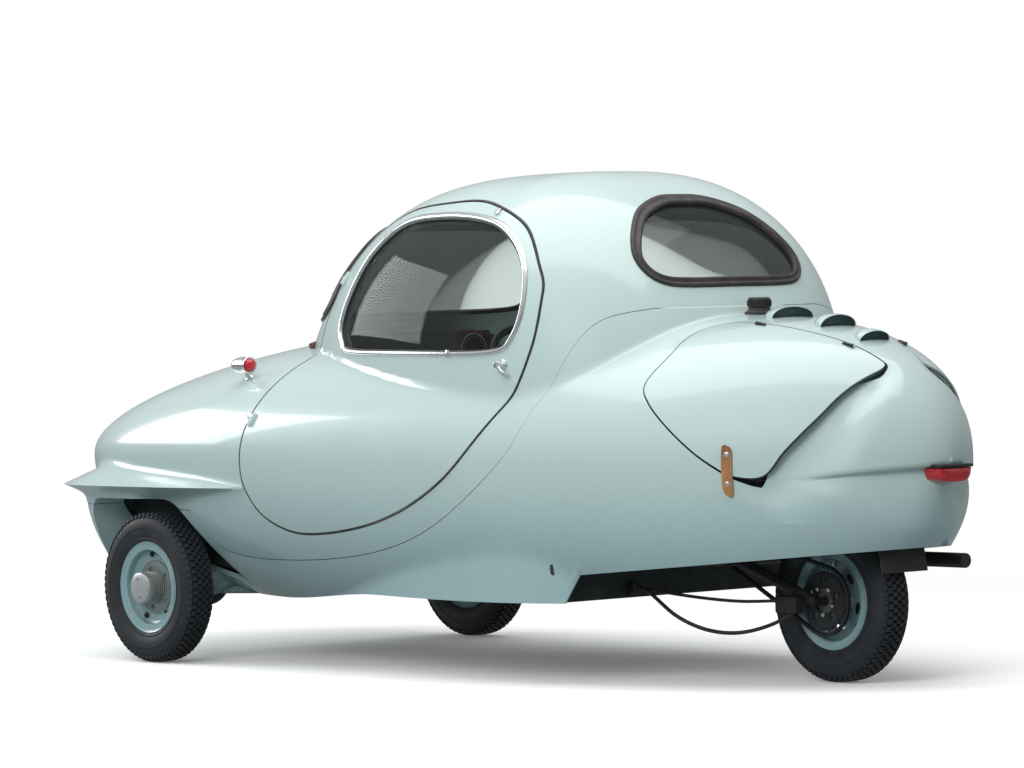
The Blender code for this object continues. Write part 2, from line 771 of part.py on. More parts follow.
def skin_patch(name, material, rings, project, front, back, hole=False, way=None):
    """A panel between two depths under the skin, from nested outlines; the last closes on its middle.
    The depths are square to the skin, or else along the way that the panel's opening is cut."""
    count = len(rings[0])
    layers = []
    for depth in (front, back):
        layer = []
        for ring in rings:
            points = project(ring)
            inward = skin_normals(points, False) if way is None else np.array(way)
            layer.append(points - depth * inward)
        layers.append(layer)
    vertices, faces = [], []
    for flip, layer in enumerate(layers):
        base = len(vertices)
        vertices += [point for ring in layer for point in ring]
        for row in range(len(rings) - 1):
            faces += ring_triangles(base + row * count, base + (row + 1) * count, count)
        if not hole:
            middle = len(vertices)
            vertices.append(layer[-1].mean(axis=0))
            last = base + (len(rings) - 1) * count
            faces += [(last + step, last + (step + 1) % count, middle) for step in range(count)]
    size = len(rings) * count + (0 if hole else 1)
    faces += ring_faces(0, size, count)
    if hole:
        last = (len(rings) - 1) * count
        faces += ring_faces(last, size + last, count)
    return smooth(face_outwards(new_object(name, material, vertices, faces)))


def on_surface(thing, x, z, side):
    """Where a line across the car meets the outside of a thing, and which way that side faces."""
    graph = bpy.context.evaluated_depsgraph_get()
    start = Vector((x, side * (FIN_HALF_WIDTH + OVERRUN), z))
    _, place, out, _ = thing.ray_cast(start, Vector((0.0, -side, 0.0)), depsgraph=graph)
    return place, out


def between(first, second, steps):
    return [first + (second - first) * step / steps for step in range(steps + 1)]


# Body: one skin, cut where the real mouldings, doors, hatches and windows part

def make_body(paint):
    rings, top = skin_grid()
    plain_rings, plain_top = skin_grid(fins=False)
    inner = offset_rings(plain_rings, plain_top, WALL, fins=False)
    shell = make_shell("body_shell", paint, (rings, top), inner)
    return shell, (plain_rings, plain_top)


def make_cavity(skin):
    """The space inside the shell, closed below the lower edge, that trims what fits inside."""
    rings, top = offset_rings(*skin, WALL + FIT, fins=False)
    skirt = rings[0].copy()
    skirt[:, 2] -= CAVITY_DROP
    vertices, faces = dome([skirt] + rings, top)
    middle = len(vertices)
    vertices.append(skirt.mean(axis=0))
    faces += [((step + 1) % AROUND, step, middle) for step in range(AROUND)]
    return face_outwards(new_object("cavity", None, vertices, faces))


def seam_cutter():
    """Everything below the moulding seam, as a prism across the car."""
    line = [(x, z) for x, z in SEAM_LINE]
    outline = [(NOSE_X + OVERRUN, FIN_SEAM_Z)] + line
    outline += [(TAIL_X - OVERRUN, line[-1][1]), (TAIL_X - OVERRUN, -OVERRUN), (NOSE_X + OVERRUN, -OVERRUN)]
    return side_prism("seam_cutter", outline, -POD_HALF_WIDTH - OVERRUN * 2, POD_HALF_WIDTH + OVERRUN * 2)


def arch_outline(grow=0.0):
    return [
        (ARCH_REAR_X - grow, -OVERRUN), (ARCH_REAR_X - grow, ARCH_LIP_Z), (ARCH_MIDDLE_X - grow, ARCH_MIDDLE_Z),
        (ARCH_CORNER_X - grow, ARCH_TOP_Z - ARCH_CORNER), (ARCH_CORNER_X + ARCH_CORNER, ARCH_TOP_Z + grow),
        (ARCH_FRONT_X - ARCH_CORNER, ARCH_TOP_Z + grow), (ARCH_FRONT_X + grow, ARCH_TOP_Z - ARCH_CORNER),
        (ARCH_FRONT_X + grow, -OVERRUN),
    ]


def door_outline(grow=0.0):
    points = from_shares(DOOR_SHARES, (DOOR_REAR_X, DOOR_BOTTOM_Z), (DOOR_FRONT_X, DOOR_TOP_Z))
    centre = np.array([(DOOR_REAR_X + DOOR_FRONT_X) / 2.0, (DOOR_BOTTOM_Z + DOOR_TOP_Z) / 2.0])
    return outline_by_angle(points, centre, DOOR_STEPS, grow)


def window_outline(grow=0.0):
    points = from_shares(WINDOW_SHARES, (WINDOW_REAR_X, WINDOW_BOTTOM_Z), (WINDOW_FRONT_X, WINDOW_TOP_Z))
    centre = np.array([(WINDOW_REAR_X + WINDOW_FRONT_X) / 2.0, (WINDOW_BOTTOM_Z + WINDOW_TOP_Z) / 2.0])
    return outline_by_angle(points, centre, DOOR_STEPS, grow)


def hatch_outline(grow=0.0):
    points = from_shares(HATCH_SHARES, (HATCH_REAR_X, HATCH_LOW_RISE), (HATCH_FRONT_X, HATCH_HIGH_RISE))
    centre = np.array([(HATCH_REAR_X + HATCH_FRONT_X) / 2.0, (HATCH_LOW_RISE + HATCH_HIGH_RISE) / 2.0])
    return outline_by_angle(points, centre, HATCH_STEPS, grow)


def mirrored(shares, half_width, low, high):
    """A whole (y, z) outline from the shares of its left half, top to bottom."""
    half = [(half_width * across, low + (high - low) * up) for across, up in shares]
    return half + [(-y, z) for y, z in reversed(half) if y > FIT]


def pane_outline(shares, half_width, low, high, grow=0.0):
    points = mirrored(shares, half_width, low, high)
    return outline_by_angle(points, np.array([0.0, (low + high) / 2.0]), PANE_STEPS, grow)


def slant_cutter(outline, side):
    across = Vector((0.0, -HALF * side, HALF))
    out = Vector((0.0, HALF * side, HALF))
    place = Matrix.Identity(4)
    for row in range(3):
        place[row][0] = (1.0, 0.0, 0.0)[row]
        place[row][1] = across[row]
        place[row][2] = out[row]
    return prism("slant_cutter", outline, HATCH_START, HATCH_REACH, place)


def end_cutter(outline, start, end):
    place = Matrix(((0, 0, 1, 0), (1, 0, 0, 0), (0, 1, 0, 0), (0, 0, 0, 1)))
    return prism("end_cutter", outline, start, end, place)


def cut_openings(shell):
    """Arches, doors, hatches and windows cut through a stretch of the skin."""
    for side in (1, -1):
        wide = POD_HALF_WIDTH + 2.0 * OVERRUN
        cutters = [
            side_prism("arch_cutter", arch_outline(), side * WELL_INNER_Y, side * wide),
            side_prism("door_cutter", door_outline(DOOR_GAP), side * DOOR_CUT_Y, side * wide),
            slant_cutter(hatch_outline(HATCH_GAP), side),
        ]
        for cutter in cutters:
            boolean(shell, cutter, solver="MANIFOLD")
        discard(*cutters)
    rear = pane_outline(REAR_PANE_SHARES, REAR_PANE_HALF_WIDTH, REAR_PANE_LOW_Z, REAR_PANE_HIGH_Z)
    screen = pane_outline(SCREEN_SHARES, SCREEN_HALF_WIDTH, SCREEN_LOW_Z, SCREEN_HIGH_Z)
    cutters = [
        end_cutter(rear, TAIL_X, PANE_START_X),
        end_cutter(screen, SCREEN_START_X, NOSE_X),
        headlamp_cutter(),
    ]
    for cutter in cutters:
        boolean(shell, cutter, solver="MANIFOLD")
    discard(*cutters)
    return shell


def split_body(shell, paint):
    below = seam_cutter()
    upper = boolean(copy_object(shell, "body_upper", paint), below, solver="MANIFOLD")
    lifted = copy_object(below, "seam_cutter_low")
    for vertex in lifted.data.vertices:
        if vertex.co.z > 0.0:
            vertex.co.z -= SEAM_GAP
    lower = boolean(copy_object(shell, "body_lower", paint), lifted, "INTERSECT", "MANIFOLD")
    discard(shell, below, lifted)
    return upper, lower


def make_door(side, name, materials):
    def project(outline):
        return side_points(outline, side)

    outer, opening = door_outline(), window_outline()
    rings = between(outer, window_outline(TRIM_WIDTH), DOOR_RINGS) + [opening]
    panel = skin_patch(f"{name}_panel", materials["paint"], rings, project, 0.0, DOOR_THICKNESS, hole=True)
    inner = window_outline(-FIT)
    middle = inner.mean(axis=0)
    rings = [inner] + [middle + (inner - middle) * share for share in PANE_RING_SHARES]
    skin_patch(f"{name}_glass", materials["glass"], rings, project, GLASS_DEPTH, GLASS_DEPTH + GLASS)
    rings = [window_outline(TRIM_WIDTH), opening]
    skin_patch(f"{name}_window_trim", materials["bright"], rings, project, -TRIM_HEIGHT, -TRIM_STAND, hole=True)
    handle_at, out = on_surface(panel, HANDLE_X, HANDLE_Z, side)
    stem = handle_at + out * FIT
    profile = [(0.0, 0.0), (HANDLE_RADIUS, 0.0), (HANDLE_RADIUS, HANDLE_ROSE), (HANDLE_STEM, HANDLE_ROSE),
               (HANDLE_STEM, HANDLE_REACH), (0.0, HANDLE_REACH)]
    handle = lathe(f"{name}_handle", materials["chrome"], profile, (0, 0, 0), "Z", HUB_SIDES)
    grip = block("grip", None, (-HANDLE_LENGTH, -HANDLE_STEM, HANDLE_REACH - HANDLE_STEM),
                 (HANDLE_STEM, HANDLE_STEM, HANDLE_REACH + HANDLE_STEM))
    unite([handle, grip], f"{name}_handle")
    handle.data.transform(aim(stem, out))
    hinges, arms = make_door_hinges(panel, side)
    unite([panel, *hinges], f"{name}_panel")
    return arms


def aim(place, out):
    """Turn local +Z to out and carry the local origin to place."""
    turn = Vector(out).to_track_quat("Z", "Y").to_matrix().to_4x4()
    return Matrix.Translation(Vector(place)) @ turn


def door_axis(panel, side):
    """The hinges' places on the panel; the door turns about the line through both."""
    places = (on_surface(panel, x, z, side) for x, z in HINGE_PLACES)
    return [place + out * HINGE_STAND for place, out in places]


def make_door_hinges(panel, side):
    """Hinge barrels on the panel's front edge, both on one axis, and the body's arms that hold them."""
    low, high = door_axis(panel, side)
    along = (high - low).normalized()
    hinges, arms = [], []
    for place, (x, z) in zip((low, high), HINGE_PLACES):
        out = on_surface(panel, x, z, side)[1]
        ahead = (out.cross(along) * side).normalized()
        half = along * HINGE_LENGTH / 2.0
        hinges.append(tube("hinge", None, [place - half, place + half], HINGE_RADIUS))
        raised = place + out * HINGE_RADIUS / 2.0
        path = [raised + ahead * (HINGE_RADIUS + FIT), raised + ahead * HINGE_BEND,
                place + ahead * HINGE_REACH - out * HINGE_RADIUS * 2.0]
        arms.append(tube("arm", None, path, HINGE_RADIUS / 2.0))
    return hinges, arms


def make_hatch(side, name, materials):
    def project(outline):
        return slant_points(outline, side, HATCH_START)

    outer = hatch_outline()
    middle = outer.mean(axis=0)
    rings = [outer] + [middle + (outer - middle) * share for share in HATCH_RING_SHARES]
    panel = skin_patch(f"{name}_panel", materials["paint"], rings, project, 0.0, HATCH_THICKNESS)
    unite([panel, *make_hatch_hinges(side)], f"{name}_panel")
    rings[0] = hatch_outline(FIT * 2.0)
    return skin_patch("hatch_guard", None, rings, project, -FIT * 2.0, HATCH_THICKNESS * 2.0)


def hatch_axis(side):
    """The two hinge places of a hatch, on the skin beside the deck's spine."""
    points = np.array([[HATCH_HINGE_FRONT_X, HATCH_HINGE_FRONT_RISE], [HATCH_HINGE_REAR_X, HATCH_HINGE_REAR_RISE]])
    found = slant_points(points, side, HATCH_START)
    out = skin_normals(found, False).mean(axis=0)
    return found[0] + out * HATCH_HINGE_STAND, found[1] + out * HATCH_HINGE_STAND


def make_hatch_hinges(side):
    front, rear = (Vector(point) for point in hatch_axis(side))
    along = (front - rear).normalized() * HATCH_HINGE_LENGTH / 2.0
    return [tube("hinge", None, [place - along, place + along], HATCH_HINGE_RADIUS) for place in (front, rear)]


def make_strap(side, name, guards, material):
    """Leather strap from the hatch to the body below it, laid on both."""
    def project(outline):
        return slant_points(outline, side, HATCH_START)

    rises = np.linspace(STRAP_LOW_RISE, STRAP_HIGH_RISE, STRAP_STEPS + 1)
    half = STRAP_WIDTH / 2.0
    outline = [(STRAP_X + half, rise) for rise in rises] + [(STRAP_X - half, rise) for rise in rises[::-1]]
    strap = skin_patch(name, material, [np.array(outline)], project, -FIT - STRAP_THICKNESS, STRAP_THICKNESS)
    for guard in guards:
        boolean(strap, guard, solver="MANIFOLD")
    return strap


def pane_project(x, way):
    def project(outline):
        return end_points(outline, x, way)
    return project


def make_panes(guard, materials):
    table = (
        # name, shares, half width, low, high, start x, way
        ("rear_window", REAR_PANE_SHARES, REAR_PANE_HALF_WIDTH, REAR_PANE_LOW_Z, REAR_PANE_HIGH_Z, PANE_START_X, -1.0),
        ("windscreen", SCREEN_SHARES, SCREEN_HALF_WIDTH, SCREEN_LOW_Z, SCREEN_HIGH_Z, SCREEN_START_X, 1.0),
    )
    for name, shares, half_width, low, high, start, way in table:
        edge = pane_outline(shares, half_width, low, high, -FIT)
        middle = edge.mean(axis=0)
        rings = [edge] + [middle + (edge - middle) * share for share in PANE_RING_SHARES]
        project = pane_project(start, way)
        skin_patch(f"{name}_glass", materials["glass"], rings, project, GLASS_DEPTH, GLASS_DEPTH + GLASS,
                   way=(way, 0.0, 0.0))
        rings = [pane_outline(shares, half_width, low, high, GASKET_WIDTH / 2.0),
                 pane_outline(shares, half_width, low, high, -GASKET_WIDTH / 2.0)]
        gasket = skin_patch(f"{name}_gasket", materials["rubber"], rings, project, -GASKET_HEIGHT, GLASS_DEPTH, hole=True)
        edge = pane_outline(shares, half_width, low, high)
        rings = [edge] + [middle + (edge - middle) * share for share in PANE_RING_SHARES]
        pad = skin_patch("pad", None, rings, project, GLASS_DEPTH - FIT, GLASS_DEPTH + GLASS + GLASS, way=(way, 0.0, 0.0))
        for cutter in (guard, pad):
            boolean(gasket, cutter, solver="MANIFOLD")
        discard(pad)


# Wheels, with their axles along Y

def tyre_profile():
    half = TYRE_WIDTH / 2.0
    bead = RIM_BEAD_RADIUS + FIT
    crown = TYRE_RADIUS - TYRE_CROWN
    seat = RIM_WIDTH / 2.0 - RIM_THICKNESS - FIT
    middle = (bead + TYRE_RADIUS) / 2.0
    half_profile = [(bead, seat), (RIM_FLANGE_RADIUS, seat), (middle, half),
                    (crown, half - TYRE_SHOULDER), (TYRE_RADIUS, half / 3.0)]
    return half_profile + [(radius, -along) for radius, along in reversed(half_profile)]


def rim_profile():
    """Flanged barrel with a dished disc inside it."""
    half = RIM_WIDTH / 2.0
    wall = RIM_THICKNESS
    inner = RIM_BEAD_RADIUS - wall
    return [(RIM_FLANGE_RADIUS, half), (RIM_FLANGE_RADIUS, half - wall), (RIM_BEAD_RADIUS, half - wall),
            (RIM_BEAD_RADIUS, -half + wall), (RIM_FLANGE_RADIUS, -half + wall), (RIM_FLANGE_RADIUS, -half),
            (inner, -half), (inner, DISC_Y - wall / 2.0),
            (DISC_BORE_RADIUS, DISC_Y - wall / 2.0), (DISC_BORE_RADIUS, DISC_Y + wall / 2.0),
            (inner, DISC_Y + wall / 2.0), (inner, half)]


def make_wheel(name, centre, side, materials):
    lathe(f"{name}_tyre", materials["tyre"], tyre_profile(), centre)
    rim = [(radius, along * side) for radius, along in rim_profile()]
    lathe(f"{name}_rim", materials["wheel"], rim, centre)


def make_front_hub(name, centre, side, materials):
    """Brake drum behind the disc, hub through it and the finned cap outside."""
    wall = RIM_THICKNESS
    face = DISC_Y + wall / 2.0 + FIT
    back = DISC_Y - wall / 2.0 - FIT
    bore = STUB_RADIUS + BEARING_GAP
    profile = [(bore, DRUM_INNER_Y), (DRUM_RADIUS, DRUM_INNER_Y), (DRUM_RADIUS, back),
               (DISC_BORE_RADIUS - FIT, back), (DISC_BORE_RADIUS - FIT, face), (CAP_CORE_RADIUS, face)]
    pitch = (CAP_OUTER_Y - face) / CAP_FINS
    for fin in range(CAP_FINS):
        start = face + fin * pitch + pitch / 2.0
        profile += [(CAP_CORE_RADIUS, start), (HUB_RADIUS, start), (HUB_RADIUS, start + pitch / 2.0)]
        if fin < CAP_FINS - 1:
            profile.append((CAP_CORE_RADIUS, start + pitch / 2.0))
    profile += [(0.0, CAP_OUTER_Y), (0.0, STUB_END_Y + BEARING_GAP), (bore, STUB_END_Y + BEARING_GAP)]
    profile = [(radius, along * side) for radius, along in profile]
    lathe(f"{name}_hub", materials["alloy"], profile, centre, sides=HUB_SIDES)


def make_rear_hub(name, centre, materials):
    wall = RIM_THICKNESS
    face = DISC_Y + wall / 2.0 + FIT
    bore = REAR_SPINDLE_RADIUS + BEARING_GAP
    back = DISC_Y - wall / 2.0 - FIT
    profile = [(bore, -REAR_DRUM_Y), (REAR_DRUM_RADIUS, -REAR_DRUM_Y), (REAR_DRUM_RADIUS, back - REAR_DRUM_STEP),
               (REAR_HUB_RADIUS, back - REAR_DRUM_STEP), (REAR_HUB_RADIUS, back), (DISC_BORE_RADIUS - FIT, back),
               (DISC_BORE_RADIUS - FIT, face), (REAR_HUB_RADIUS, face), (REAR_HUB_RADIUS, SPROCKET_Y - SPROCKET / 2.0),
               (SPROCKET_RADIUS, SPROCKET_Y - SPROCKET / 2.0), (SPROCKET_RADIUS, SPROCKET_Y + SPROCKET / 2.0),
               (bore, SPROCKET_Y + SPROCKET / 2.0)]
    lathe(f"{name}_hub", materials["dark_metal"], profile, centre, sides=HUB_SIDES)


# Running gear

def make_knuckle(name, side, materials):
    """Kingpin boss, stub axle through the hub and a steering arm behind."""
    x, z = FRONT_AXLE_X, TYRE_RADIUS
    pin_y = side * KINGPIN_Y
    boss = tube("boss", materials["dark_metal"], [(x, pin_y, z - BOSS_HEIGHT / 2.0), (x, pin_y, z + BOSS_HEIGHT / 2.0)],
                BOSS_RADIUS, 16)
    wheel_y = side * TRACK / 2.0
    stub = tube("stub", None, [(x, pin_y, z), (x, wheel_y + side * STUB_END_Y, z)], STUB_RADIUS, 16)
    arm = tube("arm", None, [(x, pin_y, z - BOSS_HEIGHT / 4.0),
                             (x - STEER_ARM, pin_y - side * STEER_ARM_IN, z - BOSS_HEIGHT / 4.0)], STEER_ARM_RADIUS)
    return unite([boss, stub, arm], name)


def make_front_beam(materials):
    """Axle beam under the floor, a forked end round each kingpin boss and a strut at each end."""
    x, z = FRONT_AXLE_X, TYRE_RADIUS
    eye = BOSS_HEIGHT / 2.0 + FIT
    path = [(x, -FORK_Y, z), (x, -BEAM_KICK_Y, BEAM_Z), (x, BEAM_KICK_Y, BEAM_Z), (x, FORK_Y, z)]
    parts = [tube("front_beam", materials["dark_metal"], path, BEAM_RADIUS, 12)]
    for side in (-1, 1):
        near, far = sorted((side * FORK_Y, side * FORK_BACK_Y))
        parts.append(block("web", None, (x - BOSS_RADIUS, near, z - eye - EAR), (x + BOSS_RADIUS, far, z + eye + EAR)))
        near, far = sorted((side * FORK_Y, side * (KINGPIN_Y + BOSS_RADIUS / 2.0)))
        for low in (z - eye - EAR, z + eye):
            parts.append(block("ear", None, (x - BOSS_RADIUS, near, low), (x + BOSS_RADIUS, far, low + EAR)))
        parts.append(make_strut(side))
    return unite(parts, "front_beam")


def make_strut(side):
    profile = [(0.0, BEAM_Z), (STRUT_ROD_RADIUS, BEAM_Z), (STRUT_ROD_RADIUS, STRUT_FOOT_Z), (STRUT_RADIUS, STRUT_FOOT_Z)]
    pitch = (STRUT_TOP_Z - STRUT_FOOT_Z) / STRUT_COILS
    for coil in range(STRUT_COILS):
        base = STRUT_FOOT_Z + coil * pitch
        profile += [(STRUT_RADIUS, base + pitch * 0.45), (STRUT_CORE_RADIUS, base + pitch * 0.5),
                    (STRUT_CORE_RADIUS, base + pitch * 0.95), (STRUT_RADIUS, base + pitch)]
    profile += [(0.0, STRUT_TOP_Z)]
    return lathe("strut", None, profile, (FRONT_AXLE_X, side * STRUT_Y, 0.0), "Z", STRUT_SIDES)


def make_liner(name, side, cavity, material):
    """Inner panel of a wheel well, trimmed to the inside of the skin."""
    wide = POD_HALF_WIDTH
    near, far = sorted((side * (WELL_INNER_Y - LINER), side * wide))
    liner = side_prism(name, arch_outline(LINER), near, far, material)
    near, far = sorted((side * WELL_INNER_Y, side * (wide + OVERRUN)))
    hollow = side_prism("hollow", arch_outline(), near, far)
    boolean(liner, hollow)
    discard(hollow)
    return boolean(liner, cavity, "INTERSECT", "MANIFOLD")


def make_floor(cavity, materials):
    """Floor with a raised board in each footwell and the bulkhead between the cabin and the engine."""
    wide = POD_HALF_WIDTH
    top = FLOOR_Z + FLOOR
    plate = block("floor_pan", materials["floor"], (BULKHEAD_X, -wide, FLOOR_Z), (NOSE_X, wide, top))
    parts = [plate, block("bulkhead", None, (BULKHEAD_X - BULKHEAD, -wide, FLOOR_Z),
                          (BULKHEAD_X + FIT, wide, BULKHEAD_TOP_Z))]
    for side in (1, -1):
        near, far = sorted((side * FOOT_BOARD_INNER_Y, side * FOOT_BOARD_OUTER_Y))
        parts.append(block("foot_board", None, (FOOT_BOARD_REAR_X, near, top - FLOOR / 2.0),
                           (FOOT_BOARD_FRONT_X, far, top + FOOT_BOARD)))
    unite(parts, "floor_pan")
    return boolean(plate, cavity, "INTERSECT", "MANIFOLD")


def make_dash(cavity, materials):
    wide = POD_HALF_WIDTH
    outline = [(DASH_REAR_X, DASH_LOW_Z), (DASH_REAR_X + DASH_LEAN, DASH_TOP_Z), (DASH_FRONT_X, DASH_TOP_Z + DASH_LEAN),
               (DASH_FRONT_X, DASH_TOP_Z - DASH_SHELF), (DASH_REAR_X + DASH_LEAN * 2, DASH_TOP_Z - DASH_SHELF),
               (DASH_REAR_X + DASH_LEAN, DASH_LOW_Z)]
    dash = side_prism("dashboard", outline, -wide, wide, materials["trim"])
    return boolean(dash, cavity, "INTERSECT", "MANIFOLD")


def make_seats(materials):
    """A bench across the cabin: box, cushion and leaning back."""
    wide = SEAT_HALF_WIDTH
    low = FLOOR_Z + FLOOR + FIT
    block("seat_box", materials["dark_metal"], (SEAT_REAR_X + SEAT_BEVEL, SEAT_BEVEL - wide, low),
          (SEAT_FRONT_X - SEAT_BEVEL, wide - SEAT_BEVEL, SEAT_LOW_Z - FIT))
    block("seat_cushion", materials["seat"], (SEAT_REAR_X, -wide, SEAT_LOW_Z), (SEAT_FRONT_X, wide, SEAT_TOP_Z), SEAT_BEVEL)
    outline = [(BACK_LOW_X, SEAT_TOP_Z + FIT), (BACK_LOW_X - BACK_THICKNESS, SEAT_TOP_Z + FIT),
               (BACK_HIGH_X - BACK_THICKNESS, BACK_TOP_Z), (BACK_HIGH_X, BACK_TOP_Z)]
    back = side_prism("seat_back", outline, -wide, wide, materials["seat"])
    modifier = back.modifiers.new("Bevel", "BEVEL")
    modifier.width = SEAT_BEVEL / 2.0
    modifier.segments = 2
    bake(back)


def make_steering_wheel(materials):
    """Column from the dash to the wheel, on the right-hand seat's side."""
    top = Vector((WHEEL_RIM_X, STEERING_Y, WHEEL_RIM_Z))
    foot = Vector((COLUMN_FOOT_X, STEERING_Y, COLUMN_FOOT_Z))
    along = (top - foot).normalized()
    column = tube("steering_column", materials["dark_metal"], [foot, top - along * (WHEEL_HUB + FIT)], COLUMN_RADIUS, 12)
    half = STEERING_BOX / 2.0
    box = block("box", None, (COLUMN_FOOT_X - half, STEERING_Y - half, FLOOR_Z + FLOOR + FIT),
                (COLUMN_FOOT_X + half, STEERING_Y + half, COLUMN_FOOT_Z + half))
    unite([column, box], "steering_column")
    turns = [math.tau * (step + 0.5) / GRIP_SIDES for step in range(GRIP_SIDES)]
    profile = [(STEERING_RADIUS + GRIP_RADIUS * math.cos(turn), GRIP_RADIUS * math.sin(turn)) for turn in turns]
    wheel = lathe("steering_wheel", materials["black"], profile, (0, 0, 0), "Z", WHEEL_SIDES)
    hub = lathe("hub", None, [(0.0, -WHEEL_HUB), (WHEEL_HUB, -WHEEL_HUB), (WHEEL_HUB, WHEEL_HUB / 2.0), (0.0, WHEEL_HUB / 2.0)],
                (0, 0, 0), "Z", 12, shift=0.5)
    spokes = []
    for spoke in range(STEERING_SPOKES):
        turn = math.tau * spoke / STEERING_SPOKES + math.pi / 2.0
        out = (STEERING_RADIUS * math.cos(turn), STEERING_RADIUS * math.sin(turn), 0.0)
        spokes.append(tube("spoke", None, [(0.0, 0.0, 0.0), out], SPOKE_RADIUS))
    unite([wheel, hub, *spokes], "steering_wheel", "MANIFOLD")
    wheel.data.transform(aim(top, along))
    return top, along


def make_lever(materials):
    base = Vector((LEVER_X, LEVER_Y, FLOOR_Z + FLOOR + FIT + LEVER_RADIUS / 4.0))
    head = Vector((LEVER_X + LEVER_LEAN, LEVER_Y, LEVER_TOP_Z))
    rod = tube("hand_lever", materials["black"], [base, head], LEVER_RADIUS)
    knob = lathe("knob", None, [(0.0, -LEVER_KNOB), (LEVER_KNOB * 0.8, -LEVER_KNOB * 0.6), (LEVER_KNOB, 0.0),
                                (LEVER_KNOB * 0.8, LEVER_KNOB * 0.6), (0.0, LEVER_KNOB)], head, "Z", 12)
    return unite([rod, knob], "hand_lever")


def headlamp_cutter():
    profile = [(0.0, HEADLAMP_BACK_X - OVERRUN), (HEADLAMP_RADIUS + FIT, HEADLAMP_BACK_X - OVERRUN),
               (HEADLAMP_RADIUS + FIT, NOSE_X + OVERRUN), (0.0, NOSE_X + OVERRUN)]
    return lathe("headlamp_cutter", None, profile, (0.0, 0.0, HEADLAMP_Z), "X", WHEEL_SIDES)


def make_lamps(upper, materials):
    rim = HEADLAMP_RADIUS - HEADLAMP_RIM
    tip = NOSE_X + LAMP_STAND
    face = tip - HEADLAMP_RIM
    ring = [(rim, HEADLAMP_BACK_X), (HEADLAMP_RADIUS, HEADLAMP_BACK_X), (HEADLAMP_RADIUS, face - HEADLAMP_RIM), (rim, face)]
    lathe("headlamp_ring", materials["chrome"], ring, (0.0, 0.0, HEADLAMP_Z), "X", WHEEL_SIDES)
    lens = rim - FIT
    back = face - HEADLAMP_DEPTH
    lens_profile = [(0.0, back), (lens, back), (lens, face - HEADLAMP_RIM), (lens * 0.6, tip - HEADLAMP_RIM / 3.0), (0.0, tip)]
    lathe("headlamp_lens", materials["lens"], lens_profile, (0.0, 0.0, HEADLAMP_Z), "X", WHEEL_SIDES)
    for side, name in ((1, "left"), (-1, "right")):
        make_indicator(f"indicator_{name}", side, upper, materials["chrome"])
    lamp = block("tail_lamp", materials["red"], (TAIL_X - LAMP_STAND, -TAIL_LAMP_WIDTH / 2.0, TAIL_LAMP_Z - TAIL_LAMP_HEIGHT),
                 (TAIL_X + TAIL_LAMP_DEPTH, TAIL_LAMP_WIDTH / 2.0, TAIL_LAMP_Z), TAIL_LAMP_DEPTH / 4.0)
    bracket = block("tail_lamp_bracket", materials["black"],
                    (TAIL_X - LAMP_STAND, -TAIL_LAMP_WIDTH / 2.0, TAIL_LAMP_Z + FIT),
                    (TAIL_X + TAIL_LAMP_DEPTH, TAIL_LAMP_WIDTH / 2.0, TAIL_LAMP_Z + FIT + TAIL_BRACKET))
    return lamp, bracket


def make_indicator(name, side, carrier, material):
    """Bullet shell on a short stem, with its lens at the back."""
    foot, out = on_surface(carrier, INDICATOR_X, INDICATOR_Z, side)
    stem = foot + out * FIT
    head = stem + out * INDICATOR_STEM
    post = tube("post", None, [stem, head], INDICATOR_STEM_RADIUS)
    half = INDICATOR_LENGTH / 2.0
    radius = INDICATOR_RADIUS
    profile = [(0.0, half), (radius * 0.35, half), (radius * 0.75, half * 0.75), (radius, half / 3.0), (radius, -half),
               (radius * 0.85, -half), (radius * 0.6, -half - radius * 0.4), (0.0, -half - radius * 0.6)]
    shell = lathe(name, material, profile, head, "X", HUB_SIDES)
    return unite([shell, post], name)


def make_guard(skin):
    """The body grown by the fit gap, closed below, that trims what is set on it."""
    rings, top = offset_rings(*skin, -FIT, fins=False)
    skirt = rings[0].copy()
    skirt[:, 2] -= CAVITY_DROP
    vertices, faces = dome([skirt] + rings, top)
    middle = len(vertices)
    vertices.append(skirt.mean(axis=0))
    faces += [((step + 1) % AROUND, step, middle) for step in range(AROUND)]
    return face_outwards(new_object("guard", None, vertices, faces))


def make_deck_pieces(materials):
    """Filler neck and cap, and three louvres that face back along the deck's spine."""
    start = np.array([[FILLER_X, 0.0, BELT_Z]])
    place = reach_skin(start, np.array([[0.0, 0.0, 1.0]]), False, 1.0)[0]
    radius = FILLER_RADIUS
    profile = [(0.0, -FILLER_SINK), (radius * 1.25, -FILLER_SINK), (radius * 1.25, FILLER_FLANGE), (radius * 0.85, FILLER_FLANGE * 2.0),
               (radius * 0.85, FILLER_FLANGE * 3.0), (radius, FILLER_FLANGE * 3.5), (radius, FILLER_HEIGHT * 0.85),
               (radius * 0.85, FILLER_HEIGHT), (0.0, FILLER_HEIGHT)]
    cap = lathe("filler_cap", materials["black"], profile, place, "Z", WHEEL_SIDES)
    louvres = []
    for index, (x, width, height) in enumerate(LOUVRES):
        base = reach_skin(np.array([[x, 0.0, BELT_Z]]), np.array([[0.0, 0.0, 1.0]]), False, 1.0)[0]
        louvre = make_louvre(f"louvre_{index}", base, width, height, materials["paint"])
        louvres.append(louvre)
    return cap, louvres


def ellipsoid(name, material, length, width, height):
    arc = [math.pi * step / LOUVRE_ROWS for step in range(LOUVRE_ROWS + 1)]
    profile = [(0.0, 1.0)] + [(math.sin(turn), math.cos(turn)) for turn in arc[1:-1]] + [(0.0, -1.0)]
    thing = lathe(name, material, profile, (0, 0, 0), "X", LOUVRE_SIDES)
    thing.data.transform(Matrix.Diagonal((length, width, height, 1.0)))
    return thing


